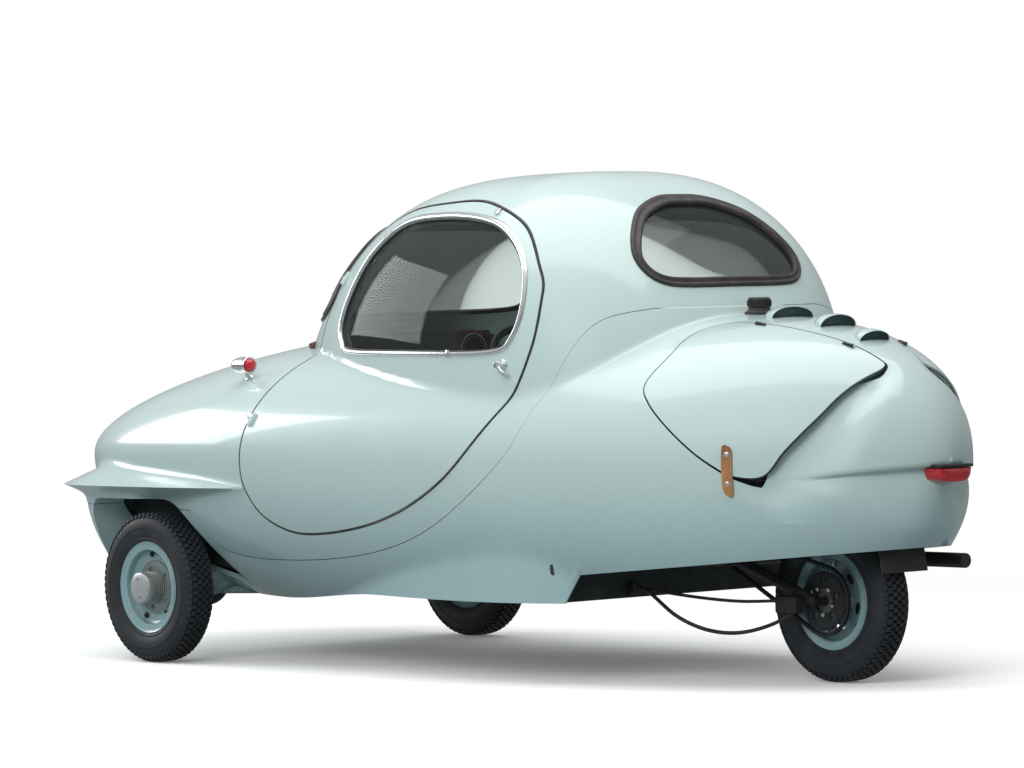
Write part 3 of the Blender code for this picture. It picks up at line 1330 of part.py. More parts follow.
def make_louvre(name, base, width, height, material):
    """A hooded scoop whose mouth faces the tail."""
    hood = ellipsoid(name, material, width * LOUVRE_SLIMNESS, width / 2.0, height)
    hollow = ellipsoid("hollow", None, (width - LOUVRE_WALL) * LOUVRE_SLIMNESS, width / 2.0 - LOUVRE_WALL, height - LOUVRE_WALL)
    behind = block("behind", None, (-width, -width, -width), (0.0, width, width))
    boolean(hood, hollow)
    boolean(hood, behind)
    discard(hollow, behind)
    hood.data.transform(Matrix.Translation(Vector(base)))
    return hood


def make_swing_arm(material):
    """Two arms from a pivot tube between the rails back to the wheel's spindle."""
    x, z = REAR_AXLE_X, TYRE_RADIUS
    reach = RAIL_Y - RAIL_RADIUS - FIT
    parts = [tube("swing_arm", material, [(ARM_PIVOT_X, -reach, ARM_PIVOT_Z), (ARM_PIVOT_X, reach, ARM_PIVOT_Z)], ARM_RADIUS, 12)]
    for side in (1, -1):
        parts.append(tube("arm", None, [(ARM_PIVOT_X, side * ARM_Y, ARM_PIVOT_Z), (x, side * ARM_Y, z)], ARM_RADIUS, 10))
    far = ARM_Y + ARM_RADIUS
    parts.append(tube("spindle", None, [(x, -far, z), (x, far, z)], REAR_SPINDLE_RADIUS, HUB_SIDES))
    return unite(parts, "swing_arm")


def make_rear_frame(material):
    """Two rails from the bulkhead up over the wheel, with cross tubes under the engine and behind."""
    parts = []
    for side in (1, -1):
        y = side * RAIL_Y
        path = [(RAIL_FRONT_X, y, ARM_PIVOT_Z), (ARM_PIVOT_X, y, ARM_PIVOT_Z), (RAIL_KICK_X, y, RAIL_HIGH_Z),
                (RAIL_REAR_X, y, RAIL_HIGH_Z)]
        parts.append(tube("rear_frame", material, path, RAIL_RADIUS, 10))
    crosses = ((RAIL_REAR_X + RAIL_RADIUS, RAIL_HIGH_Z),
               (ENGINE_FRONT_X - RAIL_RADIUS * 2.0, ARM_PIVOT_Z - RAIL_RADIUS / 2.0))
    for x, z in crosses:
        parts.append(tube("cross", None, [(x, -RAIL_Y, z), (x, RAIL_Y, z)], RAIL_RADIUS, 10))
    return unite(parts, "rear_frame")


def make_engine(material):
    """Crankcase, barrel and drive sprocket, plain."""
    back, front = ENGINE_REAR_X, ENGINE_FRONT_X
    right, left = ENGINE_RIGHT_Y, ENGINE_LEFT_Y
    edge = ENGINE_BEVEL
    case = block("engine", material, (back, right, ENGINE_LOW_Z), (front, left, ENGINE_CASE_Z), edge)
    barrel = block("barrel", None, (front - edge * 2.0 - ENGINE_BARREL, right + edge * 2.0, ENGINE_CASE_Z - edge * 2.0),
                   (front - edge * 2.0, right + edge * 2.0 + ENGINE_BARREL, ENGINE_TOP_Z), edge / 2.0)
    shaft = [(0.0, left - edge), (ENGINE_SHAFT_RADIUS, left - edge), (ENGINE_SHAFT_RADIUS, CHAIN_Y - CHAIN_WIDTH / 2.0),
             (ENGINE_SPROCKET_RADIUS, CHAIN_Y - CHAIN_WIDTH / 2.0), (ENGINE_SPROCKET_RADIUS, CHAIN_Y + CHAIN_WIDTH / 2.0),
             (0.0, CHAIN_Y + CHAIN_WIDTH / 2.0)]
    sprocket = lathe("sprocket", None, shaft, (ENGINE_SPROCKET_X, 0.0, ENGINE_SPROCKET_Z), "Y", HUB_SIDES)
    return unite([case, barrel, sprocket], "engine")


def make_flap(material):
    x = RAIL_REAR_X + RAIL_RADIUS
    top = RAIL_HIGH_Z - RAIL_RADIUS - FIT
    half = FLAP / 2.0
    outline = [(x - FLAP_LEAN + half, FLAP_LOW_Z), (x + half, top), (x - half, top), (x - FLAP_LEAN - half, FLAP_LOW_Z)]
    return side_prism("mudflap", outline, -FLAP_WIDTH / 2.0, FLAP_WIDTH / 2.0, material)


def make_exhaust(material):
    path = [(x, -EXHAUST_Y, EXHAUST_Z) for x in (EXHAUST_FRONT_X, EXHAUST_REAR_X)]
    return tube("exhaust", material, path, EXHAUST_RADIUS, 12)


def make_chain(material):
    """A closed loop on the drive sprocket, clear of the rear one that turns inside it."""
    flat = math.cos(math.pi / 2.0 / CHAIN_STEPS)
    front = np.array([ENGINE_SPROCKET_X, ENGINE_SPROCKET_Z])
    rear = np.array([REAR_AXLE_X, TYRE_RADIUS])
    front_radius = (ENGINE_SPROCKET_RADIUS + FIT) / flat
    rear_radius = (SPROCKET_RADIUS + MOVING_GAP) / flat
    tilt = math.atan2(front[1] - rear[1], front[0] - rear[0])
    reach = math.acos((rear_radius - front_radius) / np.linalg.norm(front - rear))
    arcs = ((front, front_radius, tilt - reach, tilt + reach), (rear, rear_radius, tilt + reach, tilt - reach + math.tau))
    loops = []
    for extra in (CHAIN_HEIGHT, 0.0):
        loops.append([
            centre + (radius + extra) * np.array([math.cos(turn), math.sin(turn)])
            for centre, radius, start, end in arcs
            for turn in np.linspace(start, end, CHAIN_STEPS + 1)
        ])
    low, high = CHAIN_Y - CHAIN_WIDTH / 2.0, CHAIN_Y + CHAIN_WIDTH / 2.0
    chain = side_prism("chain", loops[0], low, high, material)
    hollow = side_prism("hollow", loops[1], low - OVERRUN, high + OVERRUN)
    boolean(chain, hollow)
    discard(hollow)
    return chain


def main():
    clear_scene()
    colours = {
        "paint": ((0.52, 0.62, 0.60), 0.15, 0.0, 1.0), "glass": ((0.75, 0.80, 0.80), 0.02, 0.0, 0.3),
        "bright": ((0.75, 0.76, 0.77), 0.25, 1.0, 1.0), "chrome": ((0.80, 0.80, 0.80), 0.06, 1.0, 1.0),
        "rubber": ((0.05, 0.05, 0.05), 0.6, 0.0, 1.0), "tyre": ((0.03, 0.035, 0.04), 0.7, 0.0, 1.0),
        "wheel": ((0.35, 0.50, 0.50), 0.3, 0.0, 1.0), "alloy": ((0.6, 0.6, 0.6), 0.35, 1.0, 1.0),
        "dark_metal": ((0.05, 0.05, 0.055), 0.5, 0.6, 1.0), "leather": ((0.40, 0.20, 0.09), 0.5, 0.0, 1.0),
        "trim": ((0.16, 0.07, 0.05), 0.6, 0.0, 1.0), "seat": ((0.20, 0.09, 0.06), 0.5, 0.0, 1.0),
        "floor": ((0.10, 0.10, 0.10), 0.7, 0.0, 1.0), "black": ((0.02, 0.02, 0.02), 0.4, 0.0, 1.0),
        "red": ((0.50, 0.02, 0.02), 0.1, 0.0, 1.0), "lens": ((0.85, 0.88, 0.88), 0.05, 0.0, 1.0),
    }
    materials = {name: make_material(name, *values) for name, values in colours.items()}
    shell, skin = make_body(materials["paint"])
    cavity = make_cavity(skin)
    guard = make_guard(skin)
    mouldings = split_body(shell, materials["paint"])
    for moulding in mouldings:
        smooth(cut_openings(moulding), 30.0)
    make_floor(cavity, materials)
    for side, name in ((1, "left"), (-1, "right")):
        make_liner(f"wheel_well_{name}", side, cavity, materials["floor"])
    make_dash(cavity, materials)
    make_seats(materials)
    make_steering_wheel(materials)
    make_lever(materials)
    arms = []
    for side, name in ((1, "left"), (-1, "right")):
        arms += make_door(side, f"door_{name}", materials)
        hatch_guard = make_hatch(side, f"hatch_{name}", materials)
        make_strap(side, f"hatch_{name}_strap", (guard, hatch_guard), materials["leather"])
        discard(hatch_guard)
    make_panes(guard, materials)
    for side, name in ((1, "left"), (-1, "right")):
        centre = (FRONT_AXLE_X, side * TRACK / 2.0, TYRE_RADIUS)
        make_wheel(f"front_{name}", centre, side, materials)
        make_front_hub(f"front_{name}", centre, side, materials)
        make_knuckle(f"knuckle_{name}", side, materials)
    centre = (REAR_AXLE_X, 0.0, TYRE_RADIUS)
    make_wheel("rear", centre, 1, materials)
    make_rear_hub("rear", centre, materials)
    make_front_beam(materials)
    make_swing_arm(materials["dark_metal"])
    make_rear_frame(materials["dark_metal"])
    make_engine(materials["alloy"])
    make_chain(materials["dark_metal"])
    make_exhaust(materials["dark_metal"])
    make_flap(materials["rubber"])
    lamp, bracket = make_lamps(mouldings[0], materials)
    cap, louvres = make_deck_pieces(materials)
    for thing in (lamp, bracket, cap):
        boolean(thing, guard, solver="MANIFOLD")
    for louvre in louvres:
        boolean(louvre, cavity, solver="MANIFOLD")
    unite([mouldings[0], *arms], "body_upper")
    unite([mouldings[1], *louvres], "body_lower")
    discard(cavity, guard)


main()
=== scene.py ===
"""Three wheeled cabin car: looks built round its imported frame.

Metres, +X towards the nose, +Y to the car's left, +Z up, origin on the ground below the middle.
"""

import math

import bmesh
import bpy
import numpy as np
from mathutils import Matrix, Vector


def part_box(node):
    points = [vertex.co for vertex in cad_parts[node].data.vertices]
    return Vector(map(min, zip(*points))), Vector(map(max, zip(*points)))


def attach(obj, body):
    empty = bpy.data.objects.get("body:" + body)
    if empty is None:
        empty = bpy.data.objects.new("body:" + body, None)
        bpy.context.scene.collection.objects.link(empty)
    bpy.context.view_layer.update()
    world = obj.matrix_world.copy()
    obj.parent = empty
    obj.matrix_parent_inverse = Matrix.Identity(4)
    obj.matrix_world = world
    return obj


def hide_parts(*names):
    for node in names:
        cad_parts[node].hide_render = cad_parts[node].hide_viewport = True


bl_info = {
    "name": "Three wheeled cabin car",
    "version": (1, 0, 0),
    "blender": (4, 5, 0),
    "location": "3D View > Sidebar > Cabin Car",
    "description": "Builds the looks of a small three wheeled car round its packed frame",
    "category": "Object",
}

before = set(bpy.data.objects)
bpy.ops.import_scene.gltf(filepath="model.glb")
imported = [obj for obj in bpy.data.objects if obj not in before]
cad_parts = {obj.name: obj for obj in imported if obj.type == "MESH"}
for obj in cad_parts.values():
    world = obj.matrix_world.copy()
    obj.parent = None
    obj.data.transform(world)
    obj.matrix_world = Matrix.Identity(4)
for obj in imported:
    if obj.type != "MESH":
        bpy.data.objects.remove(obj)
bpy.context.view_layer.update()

# The skin's sizes, as in the solids
NOSE_X, TAIL_X = 1.475, -1.475
WALL = 0.010
FIT = 0.0003
OVERRUN = 0.050
POD_MIDDLE_X, POD_HALF_WIDTH = -0.2, 0.597
POD_NOSE_POWER, POD_TAIL_POWER, POD_SECTION_POWER = 3.75, 1.7, 2.18
BELT_Z, DECK_X, DECK_Z = 0.537, -0.29, 0.892
DECK_NOSE_POWER, DECK_TAIL_POWER = 2.02, 4.42
POD_DEPTH, POD_DEPTH_POWER = 0.49, 2.6
CABIN_X, CABIN_BASE_Z, CABIN_TOP_Z, CABIN_HALF_WIDTH = -0.32, 0.633, 1.250, 0.5345
CABIN_FRONT_X, CABIN_REAR_X = 0.8325, -0.8405
CABIN_SECTION_POWER, SCREEN_POWER, SCREEN_ROOT, BACK_POWER = 2.99, 3.585, 1.578, 1.957
CABIN_PLAN_FRONT_POWER, CABIN_PLAN_REAR_POWER, CABIN_BLEND = 1.741, 2.507, 0.020
FIN_X, FIN_HALF_WIDTH, FIN_FRONT_REACH, FIN_REAR_REACH = 0.9, 0.635, 0.47, 0.850
FIN_Z, FIN_DEPTH, FIN_POWER, FIN_FRONT_POWER, FIN_BLEND = 0.465, 0.300, 2.5, 4.4, 0.030
CHIN_SHARE, CHIN_FALL, CHIN_DEPTH, CHIN_BACK_X, CHIN_BLEND = 0.915, 0.150, 0.260, 0.95, 0.040
SILL_Z, SILL_END_X, SKIRT_START_Z, SKIRT_STEP, TAIL_EDGE_Z = 0.200, -0.655, 0.268, 0.030, 0.338
SILL_DROP, SILL_DROP_X, SILL_DROP_REACH = 0.030, 0.05, 0.55
RAY_SPREAD, RAY_MIDDLE_X, RAY_REACH, HALVINGS, LIP_CLIMB = 1.000, -0.060, 2.6, 30, 0.05

# Seam, arches, door, hatch and window lines
FIN_SEAM_Z = 0.420
SEAM_LINE = ((0.740, 0.403), (0.640, 0.297), (0.320, 0.283), (-0.030, 0.318), (-0.295, 0.400),
             (-0.512, 0.549), (-0.595, 0.692), (-0.650, 0.811), (-0.695, 0.880), (-0.755, 0.907))
WELL_INNER_Y = 0.405
ARCH_LINE = ((0.665, -0.050), (0.665, 0.190), (0.710, 0.300), (0.780, 0.390), (0.820, 0.430), (1.135, 0.430),
             (1.175, 0.390), (1.175, -0.050))
DOOR_LOW, DOOR_HIGH = (-0.566, 0.354), (0.478, 1.176)
DOOR_GAP, DOOR_CUT_Y, DOOR_THICKNESS, DOOR_EDGE = 0.005, 0.150, 0.022, 0.006
DOOR_SHARES = ((1.0, 0.24), (0.985, 0.13), (0.915, 0.038), (0.767, 0.0), (0.48, 0.05), (0.24, 0.176),
               (0.08, 0.381), (0.011, 0.557), (0.0, 0.703), (0.021, 0.79), (0.114, 0.925), (0.29, 0.997),
               (0.475, 1.0), (0.65, 0.975), (0.775, 0.895), (0.86, 0.778), (0.925, 0.626), (0.975, 0.42))
WINDOW_LOW, WINDOW_HIGH = (-0.516, 0.813), (0.262, 1.142)
WINDOW_SHARES = ((1.0, 0.205), (0.975, 0.07), (0.91, 0.012), (0.5, 0.0), (0.112, 0.003), (0.025, 0.1),
                 (0.0, 0.369), (0.041, 0.662), (0.149, 0.873), (0.298, 0.97), (0.528, 1.0), (0.733, 0.955),
                 (0.87, 0.75), (0.957, 0.447))
HATCH_LOW, HATCH_HIGH = (-1.334, 0.105), (-0.868, 0.520)
HATCH_GAP, HATCH_THICKNESS, HATCH_START, HATCH_REACH = 0.004, 0.012, 0.420, 0.900
HATCH_SHARES = ((1.0, 0.29), (0.98, 0.52), (1.0, 0.78), (0.93, 0.955), (0.75, 1.0), (0.47, 1.0), (0.22, 0.99),
                (0.05, 0.955), (0.0, 0.915), (0.01, 0.79), (0.09, 0.50), (0.16, 0.34), (0.24, 0.2),
                (0.33, 0.06), (0.46, 0.0), (0.56, 0.0), (0.68, 0.03), (0.82, 0.1), (0.94, 0.19))
HATCH_REAR_SHARES = (8, 14)
REAR_PANE_SHARES = ((0.0, 1.0), (0.24, 0.99), (0.47, 0.92), (0.68, 0.8), (0.87, 0.58), (0.985, 0.33),
                    (0.955, 0.14), (0.82, 0.03), (0.57, 0.0), (0.0, 0.0))
SCREEN_SHARES = ((0.0, 1.0), (0.4, 0.99), (0.68, 0.93), (0.82, 0.78), (0.91, 0.5), (0.985, 0.25), (0.98, 0.1),
                 (0.88, 0.02), (0.5, 0.0), (0.0, 0.0))
PANES = {
    # name: shares, half width, low, high, start x, way
    "rear_window": (REAR_PANE_SHARES, 0.262, 0.966, 1.172, -0.450, -1.0),
    "windscreen": (SCREEN_SHARES, 0.345, 0.892, 1.130, 0.200, 1.0),
}
TAIL_CREASE_Z, TAIL_CREASE_FALL, TAIL_LIP = 0.528, 0.31, 0.012
TAIL_HOLLOW_HALF, TAIL_HOLLOW_FALL = 0.300, 0.160
HALF = math.sqrt(0.5)

# Places of what the skin carries
HINGE_PLACES = ((0.449, 0.640), (0.312, 0.995))
HATCH_HINGE_PLACES = ((-0.986, 0.512), (-1.234, 0.508))
STRAP_X, STRAP_RISES, STRAP_WIDTH = -1.103, (0.075, 0.145), 0.024
HANDLE_PLACE = (-0.480, 0.777)
INDICATOR_PLACE, INDICATOR_STEM = (0.602, 0.744), 0.040
LAMP_TIP, HEADLAMP_Z, HEADLAMP_RADIUS, HEADLAMP_BACK_X = 0.020, 0.570, 0.085, 1.350
FILLER_X = -0.838
LOUVRES = ((-0.955, 0.140, 0.026), (-1.110, 0.120, 0.028), (-1.232, 0.100, 0.024))
FRONT_AXLE_X, REAR_AXLE_X, TRACK, AXLE_Z = 0.9, -1.1, 1.09, 0.198
TRIM_WIDTH, PANE_FRONT, PANE_BACK = 0.013, 0.005, 0.009
NUT_CIRCLE, NUT_FACE, SCREW_PLACES = 0.0865, 0.0064, ((0.004, 0.0235), (-0.004, -0.0235))
STRUT_Y, FORK_Y, LEVER_X, DASH_FACE, DIAL_Y, DIAL_Z = 0.440, 0.467, 0.250, 0.500, -0.220, 0.800
CHANNELS, CHANNEL_DEPTH, CHANNEL_WIDTH = (-0.30, -0.18, -0.06, 0.06, 0.18, 0.30), 0.0075, 0.0065

# The photograph's view, fitted to marked points
VIEW_PLACE, VIEW_YAW, VIEW_PITCH, VIEW_ROLL = (-9.657, 8.4286, 0.984), -0.7130, -0.0209, -0.0233
FOCAL_PIXELS, PHOTO_PIXELS, SENSOR = 5000.0, 1024.0, 36.0


def size_setting(name, words, value, precision=3):
    return bpy.props.FloatProperty(name=name, description=words, default=value, unit="LENGTH",
                                   precision=precision)


def count_setting(name, words, value, least=1):
    return bpy.props.IntProperty(name=name, description=words, default=value, min=least)


def light_setting(name, words, value, subtype="NONE"):
    return bpy.props.FloatProperty(name=name, description=words, default=value, subtype=subtype)


def colour_setting(name, words, value):
    return bpy.props.FloatVectorProperty(name=name, description=words, subtype="COLOR", size=3,
                                         min=0.0, max=1.0, default=value)


class SkinSizes(bpy.types.PropertyGroup):
    """Fineness, seams and hollows of the painted skin."""

    around: count_setting("Columns", "Skin columns round the car", 300, 80)
    fineness: count_setting("Fineness", "Skin rows between two rows of the plain solid", 11, 2)
    outline: count_setting("Outline points", "Points round each door, hatch and window", 220, 60)
    seam: size_setting("Seam", "Gap between the two mouldings", 0.0018, 4)
    outlet: size_setting("Outlet depth", "Depth of the hollow behind each hatch", 0.034)
    outlet_width: size_setting("Outlet width", "Reach of that hollow", 0.110)
    tail: size_setting("Tail hollow", "Depth of the hollow under the tail crease", 0.026)


class WheelSizes(bpy.types.PropertyGroup):
    """Tyres, rims and hubs."""

    radius: size_setting("Tyre radius", "Radius over the tread", 0.1978, 4)
    blocks: count_setting("Tread blocks", "Blocks in one row round a tyre", 66)
    tread: size_setting("Tread depth", "Height of a tread block", 0.0085, 4)
    nuts: count_setting("Wheel nuts", "Nuts on a front rim", 5)
    fins: count_setting("Hub fins", "Cooling fins on a front hub", 5)


class Finishes(bpy.types.PropertyGroup):
    """Colours of the finishes."""

    paint: colour_setting("Paint", "Gloss paint of the body and rims", (0.44, 0.56, 0.54))
    rubber: colour_setting("Seals", "Rubber of the seals", (0.030, 0.027, 0.026))
    tyre: colour_setting("Tyres", "Rubber of the tyres", (0.022, 0.025, 0.029))
    leather: colour_setting("Straps", "Leather of the hatch straps", (0.36, 0.17, 0.07))
    trim: colour_setting("Dashboard", "Panel under the windscreen", (0.105, 0.045, 0.036))
    seat: colour_setting("Seats", "Cover of the bench", (0.150, 0.062, 0.045))
    red: colour_setting("Lamp red", "Glass of the rear lamps", (0.42, 0.006, 0.012))


class StageSettings(bpy.types.PropertyGroup):
    """Studio light and floor."""

    top: light_setting("Top light", "Power of the overhead soft light", 80.0, "POWER")
    side: light_setting("Side light", "Power of the soft light on the left", 110.0, "POWER")
    fill: light_setting("Fill", "Strength of the light from overhead all round", 0.70)
    horizon: light_setting("Horizon", "Strength of the light from the horizon", 0.34)
    floor: colour_setting("Floor", "Colour of the floor", (0.97, 0.97, 0.97))
    bounce: colour_setting("Floor bounce", "Colour of the light thrown up by the floor", (0.16, 0.19, 0.20))
    near: size_setting("Near", "Where the floor starts to turn white", 2.0)
    far: size_setting("Far", "Where the floor is plain white", 4.0)


# The skin's formula

def rounded(share, power):
    return (1.0 - np.clip(share, 0.0, 1.0) ** power) ** (1.0 / power)


def pod_level(x, y, z):
    ahead = x > POD_MIDDLE_X
    along = np.abs(x - POD_MIDDLE_X) / np.where(ahead, NOSE_X - POD_MIDDLE_X, POD_MIDDLE_X - TAIL_X)
    width = POD_HALF_WIDTH * np.where(ahead, rounded(along, POD_NOSE_POWER), rounded(along, POD_TAIL_POWER))
    ahead = x > DECK_X
    along = np.clip(np.abs(x - DECK_X) / np.where(ahead, NOSE_X - DECK_X, DECK_X - TAIL_X), 0.0, 1.0)
    rise = (DECK_Z - BELT_Z) * np.sqrt(1.0 - along ** np.where(ahead, DECK_NOSE_POWER, DECK_TAIL_POWER))
    fall = POD_DEPTH * np.sqrt(1.0 - along ** POD_DEPTH_POWER)
    height = np.where(z > BELT_Z, rise, fall)
    share = (np.abs(y) / np.maximum(width, 1e-6)) ** POD_SECTION_POWER
    share = share + (np.abs(z - BELT_Z) / np.maximum(height, 1e-6)) ** POD_SECTION_POWER
    return (share ** (1.0 / POD_SECTION_POWER) - 1.0) * POD_HALF_WIDTH


def cabin_level(x, y, z):
    ahead = x > CABIN_X
    along = np.clip(np.abs(x - CABIN_X) / np.where(ahead, CABIN_FRONT_X - CABIN_X, CABIN_X - CABIN_REAR_X),
                    0.0, 1.0)
    tall = np.where(ahead, (1.0 - along ** SCREEN_POWER) ** SCREEN_ROOT, rounded(along, BACK_POWER))
    wide = np.where(ahead, rounded(along, CABIN_PLAN_FRONT_POWER), rounded(along, CABIN_PLAN_REAR_POWER))
    share = ((np.abs(y) + 2e-6) / np.maximum(CABIN_HALF_WIDTH * wide, 1e-6)) ** CABIN_SECTION_POWER
    roof = np.maximum((CABIN_TOP_Z - CABIN_BASE_Z) * tall, 1e-6)
    share = share + (np.maximum(z - CABIN_BASE_Z, 0.0) / roof) ** CABIN_SECTION_POWER
    return (share ** (1.0 / CABIN_SECTION_POWER) - 1.0) * CABIN_HALF_WIDTH


def fin_level(x, y, z):
    reach = np.where(x > FIN_X, FIN_FRONT_REACH, FIN_REAR_REACH)
    power = np.where(x > FIN_X, FIN_FRONT_POWER, FIN_POWER)
    plan = (np.abs(x - FIN_X) / reach) ** power + (np.abs(y) / FIN_HALF_WIDTH) ** power
    return np.abs(z - FIN_Z) - FIN_DEPTH * (1.0 - plan ** (1.0 / power))


def chin_level(x, y, z):
    """The full lower front under the fin, ahead of the wheels."""
    along, across = np.abs(x - FIN_X) / FIN_FRONT_REACH, np.abs(y) / FIN_HALF_WIDTH
    plan = along ** FIN_FRONT_POWER + across ** FIN_FRONT_POWER
    down = np.maximum(FIN_Z - z, 0.0) / CHIN_DEPTH
    level = 0.5 * (plan ** (1.0 / FIN_FRONT_POWER) - CHIN_SHARE + CHIN_FALL * down ** 2)
    return level + 2.0 * np.maximum(z - FIN_Z, 0.0) + 0.5 * ease((CHIN_BACK_X - x) / 0.25)


def join_levels(first, second, blend):
    closeness = np.maximum(blend - np.abs(first - second), 0.0) / blend
    return np.minimum(first, second) - closeness ** 3 * blend / 6.0


def skin_level(points, fins=True):
    x, y, z = points[..., 0], points[..., 1], points[..., 2]
    level = join_levels(pod_level(x, y, z), cabin_level(x, y, z), CABIN_BLEND)
    if not fins:
        return level
    level = join_levels(level, chin_level(x, y, z), CHIN_BLEND)
    return join_levels(level, fin_level(x, y, z), FIN_BLEND)


def reach_skin(starts, directions, fins=True, reach=RAY_REACH):
    """Walk from starts inside the skin along directions to the skin."""
    near = np.zeros(starts.shape[:-1])
    far = np.full_like(near, reach)
    for _ in range(HALVINGS):
        middle = (near + far) / 2.0
        inside = skin_level(starts + directions * middle[..., None], fins) < 0.0
        near, far = np.where(inside, middle, near), np.where(inside, far, middle)
    return starts + directions * near[..., None]


def slope_of(level, points, step=FIT):
    return np.stack([(level(points + step * axis) - level(points - step * axis)) / (2.0 * step)
                     for axis in np.eye(3)], axis=-1)


def unit(vectors):
    return vectors / np.maximum(np.linalg.norm(vectors, axis=-1, keepdims=True), 1e-12)


def skin_normals(points, fins=True):
    return unit(slope_of(lambda at: skin_level(at, fins), points))


def lower_edge(x):
    """Height of the lower edge: the sill, a step behind the doors and a rising skirt."""
    skirt = SKIRT_START_Z + (TAIL_EDGE_Z - SKIRT_START_Z) * (SILL_END_X - x) / (SILL_END_X - TAIL_X)
    step = np.clip((SILL_END_X - x) / SKIRT_STEP + 0.5, 0.0, 1.0)
    drop = SILL_DROP * ease((x - SILL_DROP_X) / SILL_DROP_REACH)
    return SILL_Z - drop + (skirt - SILL_Z) * step


def ease(value):
    value = np.clip(value, 0.0, 1.0)
    return value * value * (3.0 - 2.0 * value)


class Hollows:
    """How far the skin sinks behind each hatch and under the tail's crease."""

    START_X, START_Z, SOFTNESS = -0.9, 0.40, 0.006

    def __init__(self, sizes):
        self.sizes = sizes
        curve = closed_curve(from_shares(HATCH_SHARES, HATCH_LOW, HATCH_HIGH))
        first, last = (share * CURVE_STEPS for share in HATCH_REAR_SHARES)
        self.edge = curve[first:last + 1]

    def __call__(self, points):
        shape = points.shape[:-1]
        x, y, z = points.reshape(-1, 3).T
        depth = np.zeros(len(x))
        near = (x < self.START_X) & (z > self.START_Z)
        place = np.stack([x[near], HALF * (z[near] - np.abs(y[near]))], -1)
        away = np.linalg.norm(place[:, None] - self.edge[None], axis=2)
        weight = np.exp((away.min(axis=1, keepdims=True) - away) / self.SOFTNESS)
        along = weight @ np.linspace(0.0, 1.0, len(self.edge)) / weight.sum(axis=1)
        swell = np.sin(np.pi * np.clip(along, 0.0, 1.0))
        share = away.min(axis=1) / (self.sizes.outlet_width * np.sqrt(swell) + 1e-6)
        depth[near] = self.sizes.outlet * swell ** 0.7 * (1.0 - ease(share)) ** 1.3
        below = TAIL_CREASE_Z - TAIL_CREASE_FALL * y ** 2 - z
        half = TAIL_HOLLOW_HALF * (1.0 - 0.5 * np.clip(below / TAIL_HOLLOW_FALL, 0.0, 1.0))
        hollow = ease(below / TAIL_LIP) * (1.0 - ease(below / TAIL_HOLLOW_FALL)) ** 0.8
        hollow = hollow * (1.0 - ease((np.abs(y) / half - 0.45) / 0.55)) * (x < -1.2)
        return (depth + self.sizes.tail * hollow).reshape(shape)

    def sill_pull(self, outline, reach=0.040):
        """How far the opening's edge may lie under the hatch at each point of its outline."""
        places = np.stack([outline[:, 0], np.ones(len(outline)), 1.0 + outline[:, 1] / HALF], -1)
        return reach * np.clip((self(places) - 0.017) / 0.008, 0.0, 1.0)


# Outlines

CURVE_STEPS = 12


def curve_through(points, steps, closed):
    points = np.array(points, dtype=float)
    count = len(points)
    curve = []
    for index in range(count if closed else count - 1):
        if closed:
            corners = [points[(index + k) % count] for k in (-1, 0, 1, 2)]
        else:
            corners = [points[min(max(index + k, 0), count - 1)] for k in (-1, 0, 1, 2)]
        before, here, after, beyond = corners
        for step in range(steps):
            t = step / steps
            curve.append(0.5 * (2.0 * here + (after - before) * t
                                + (2.0 * before - 5.0 * here + 4.0 * after - beyond) * t ** 2
                                + (3.0 * here - before - 3.0 * after + beyond) * t ** 3))
    if not closed:
        curve.append(points[-1])
    return np.array(curve)


def closed_curve(points, steps=CURVE_STEPS):
    return curve_through(points, steps, True)


def open_curve(points, steps=CURVE_STEPS):
    return curve_through(points, steps, False)


def from_shares(shares, low, high):
    low, high = np.array(low), np.array(high)
    return low + np.array(shares) * (high - low)


def grown(outline, grow):
    """A closed outline moved out by grow."""
    ahead = np.roll(outline, -1, axis=0) - np.roll(outline, 1, axis=0)
    normal = unit(np.stack([ahead[:, 1], -ahead[:, 0]], -1))
    outward = np.sign(np.sum(normal * (outline - outline.mean(axis=0)), axis=1).mean())
    return outline + grow * outward * normal


def outline_by_angle(points, centre, count, grow=0.0):
    """The curve through points, read at even angles about centre."""
    curve = grown(closed_curve(points, CURVE_STEPS * 2), grow)
    away = curve - centre
    angle = np.unwrap(np.arctan2(away[:, 1], away[:, 0]))
    if angle[-1] < angle[0]:
        away, angle = away[::-1], angle[::-1]
    radius = np.linalg.norm(away, axis=1)
    wanted = np.arange(count) * math.tau / count
    wrapped = (wanted - angle[0]) % math.tau + angle[0]
    radius = np.interp(wrapped, np.append(angle, angle[0] + math.tau), np.append(radius, radius[0]))
    return centre + radius[:, None] * np.stack([np.cos(wanted), np.sin(wanted)], -1)


def share_outline(shares, low, high, count, grow=0.0):
    centre = (np.array(low) + np.array(high)) / 2.0
    return outline_by_angle(from_shares(shares, low, high), centre, count, grow)


def door_outline(count, grow=0.0):
    return share_outline(DOOR_SHARES, DOOR_LOW, DOOR_HIGH, count, grow)


def window_outline(count, grow=0.0):
    return share_outline(WINDOW_SHARES, WINDOW_LOW, WINDOW_HIGH, count, grow)


def hatch_outline(count, grow=0.0):
    return share_outline(HATCH_SHARES, HATCH_LOW, HATCH_HIGH, count, grow)


def pane_outline(name, count, grow=0.0):
    shares, half_width, low, high, _, _ = PANES[name]
    half = [(half_width * across, low + (high - low) * up) for across, up in shares]
    points = half + [(-y, z) for y, z in reversed(half) if y > FIT]
    return outline_by_angle(points, np.array([0.0, (low + high) / 2.0]), count, grow)


def side_project(side):
    def project(outline):
        starts = np.stack([outline[:, 0], np.zeros(len(outline)), outline[:, 1]], -1)
        return reach_skin(starts, np.tile([0.0, side, 0.0], (len(outline), 1)), False, 1.0)
    return project


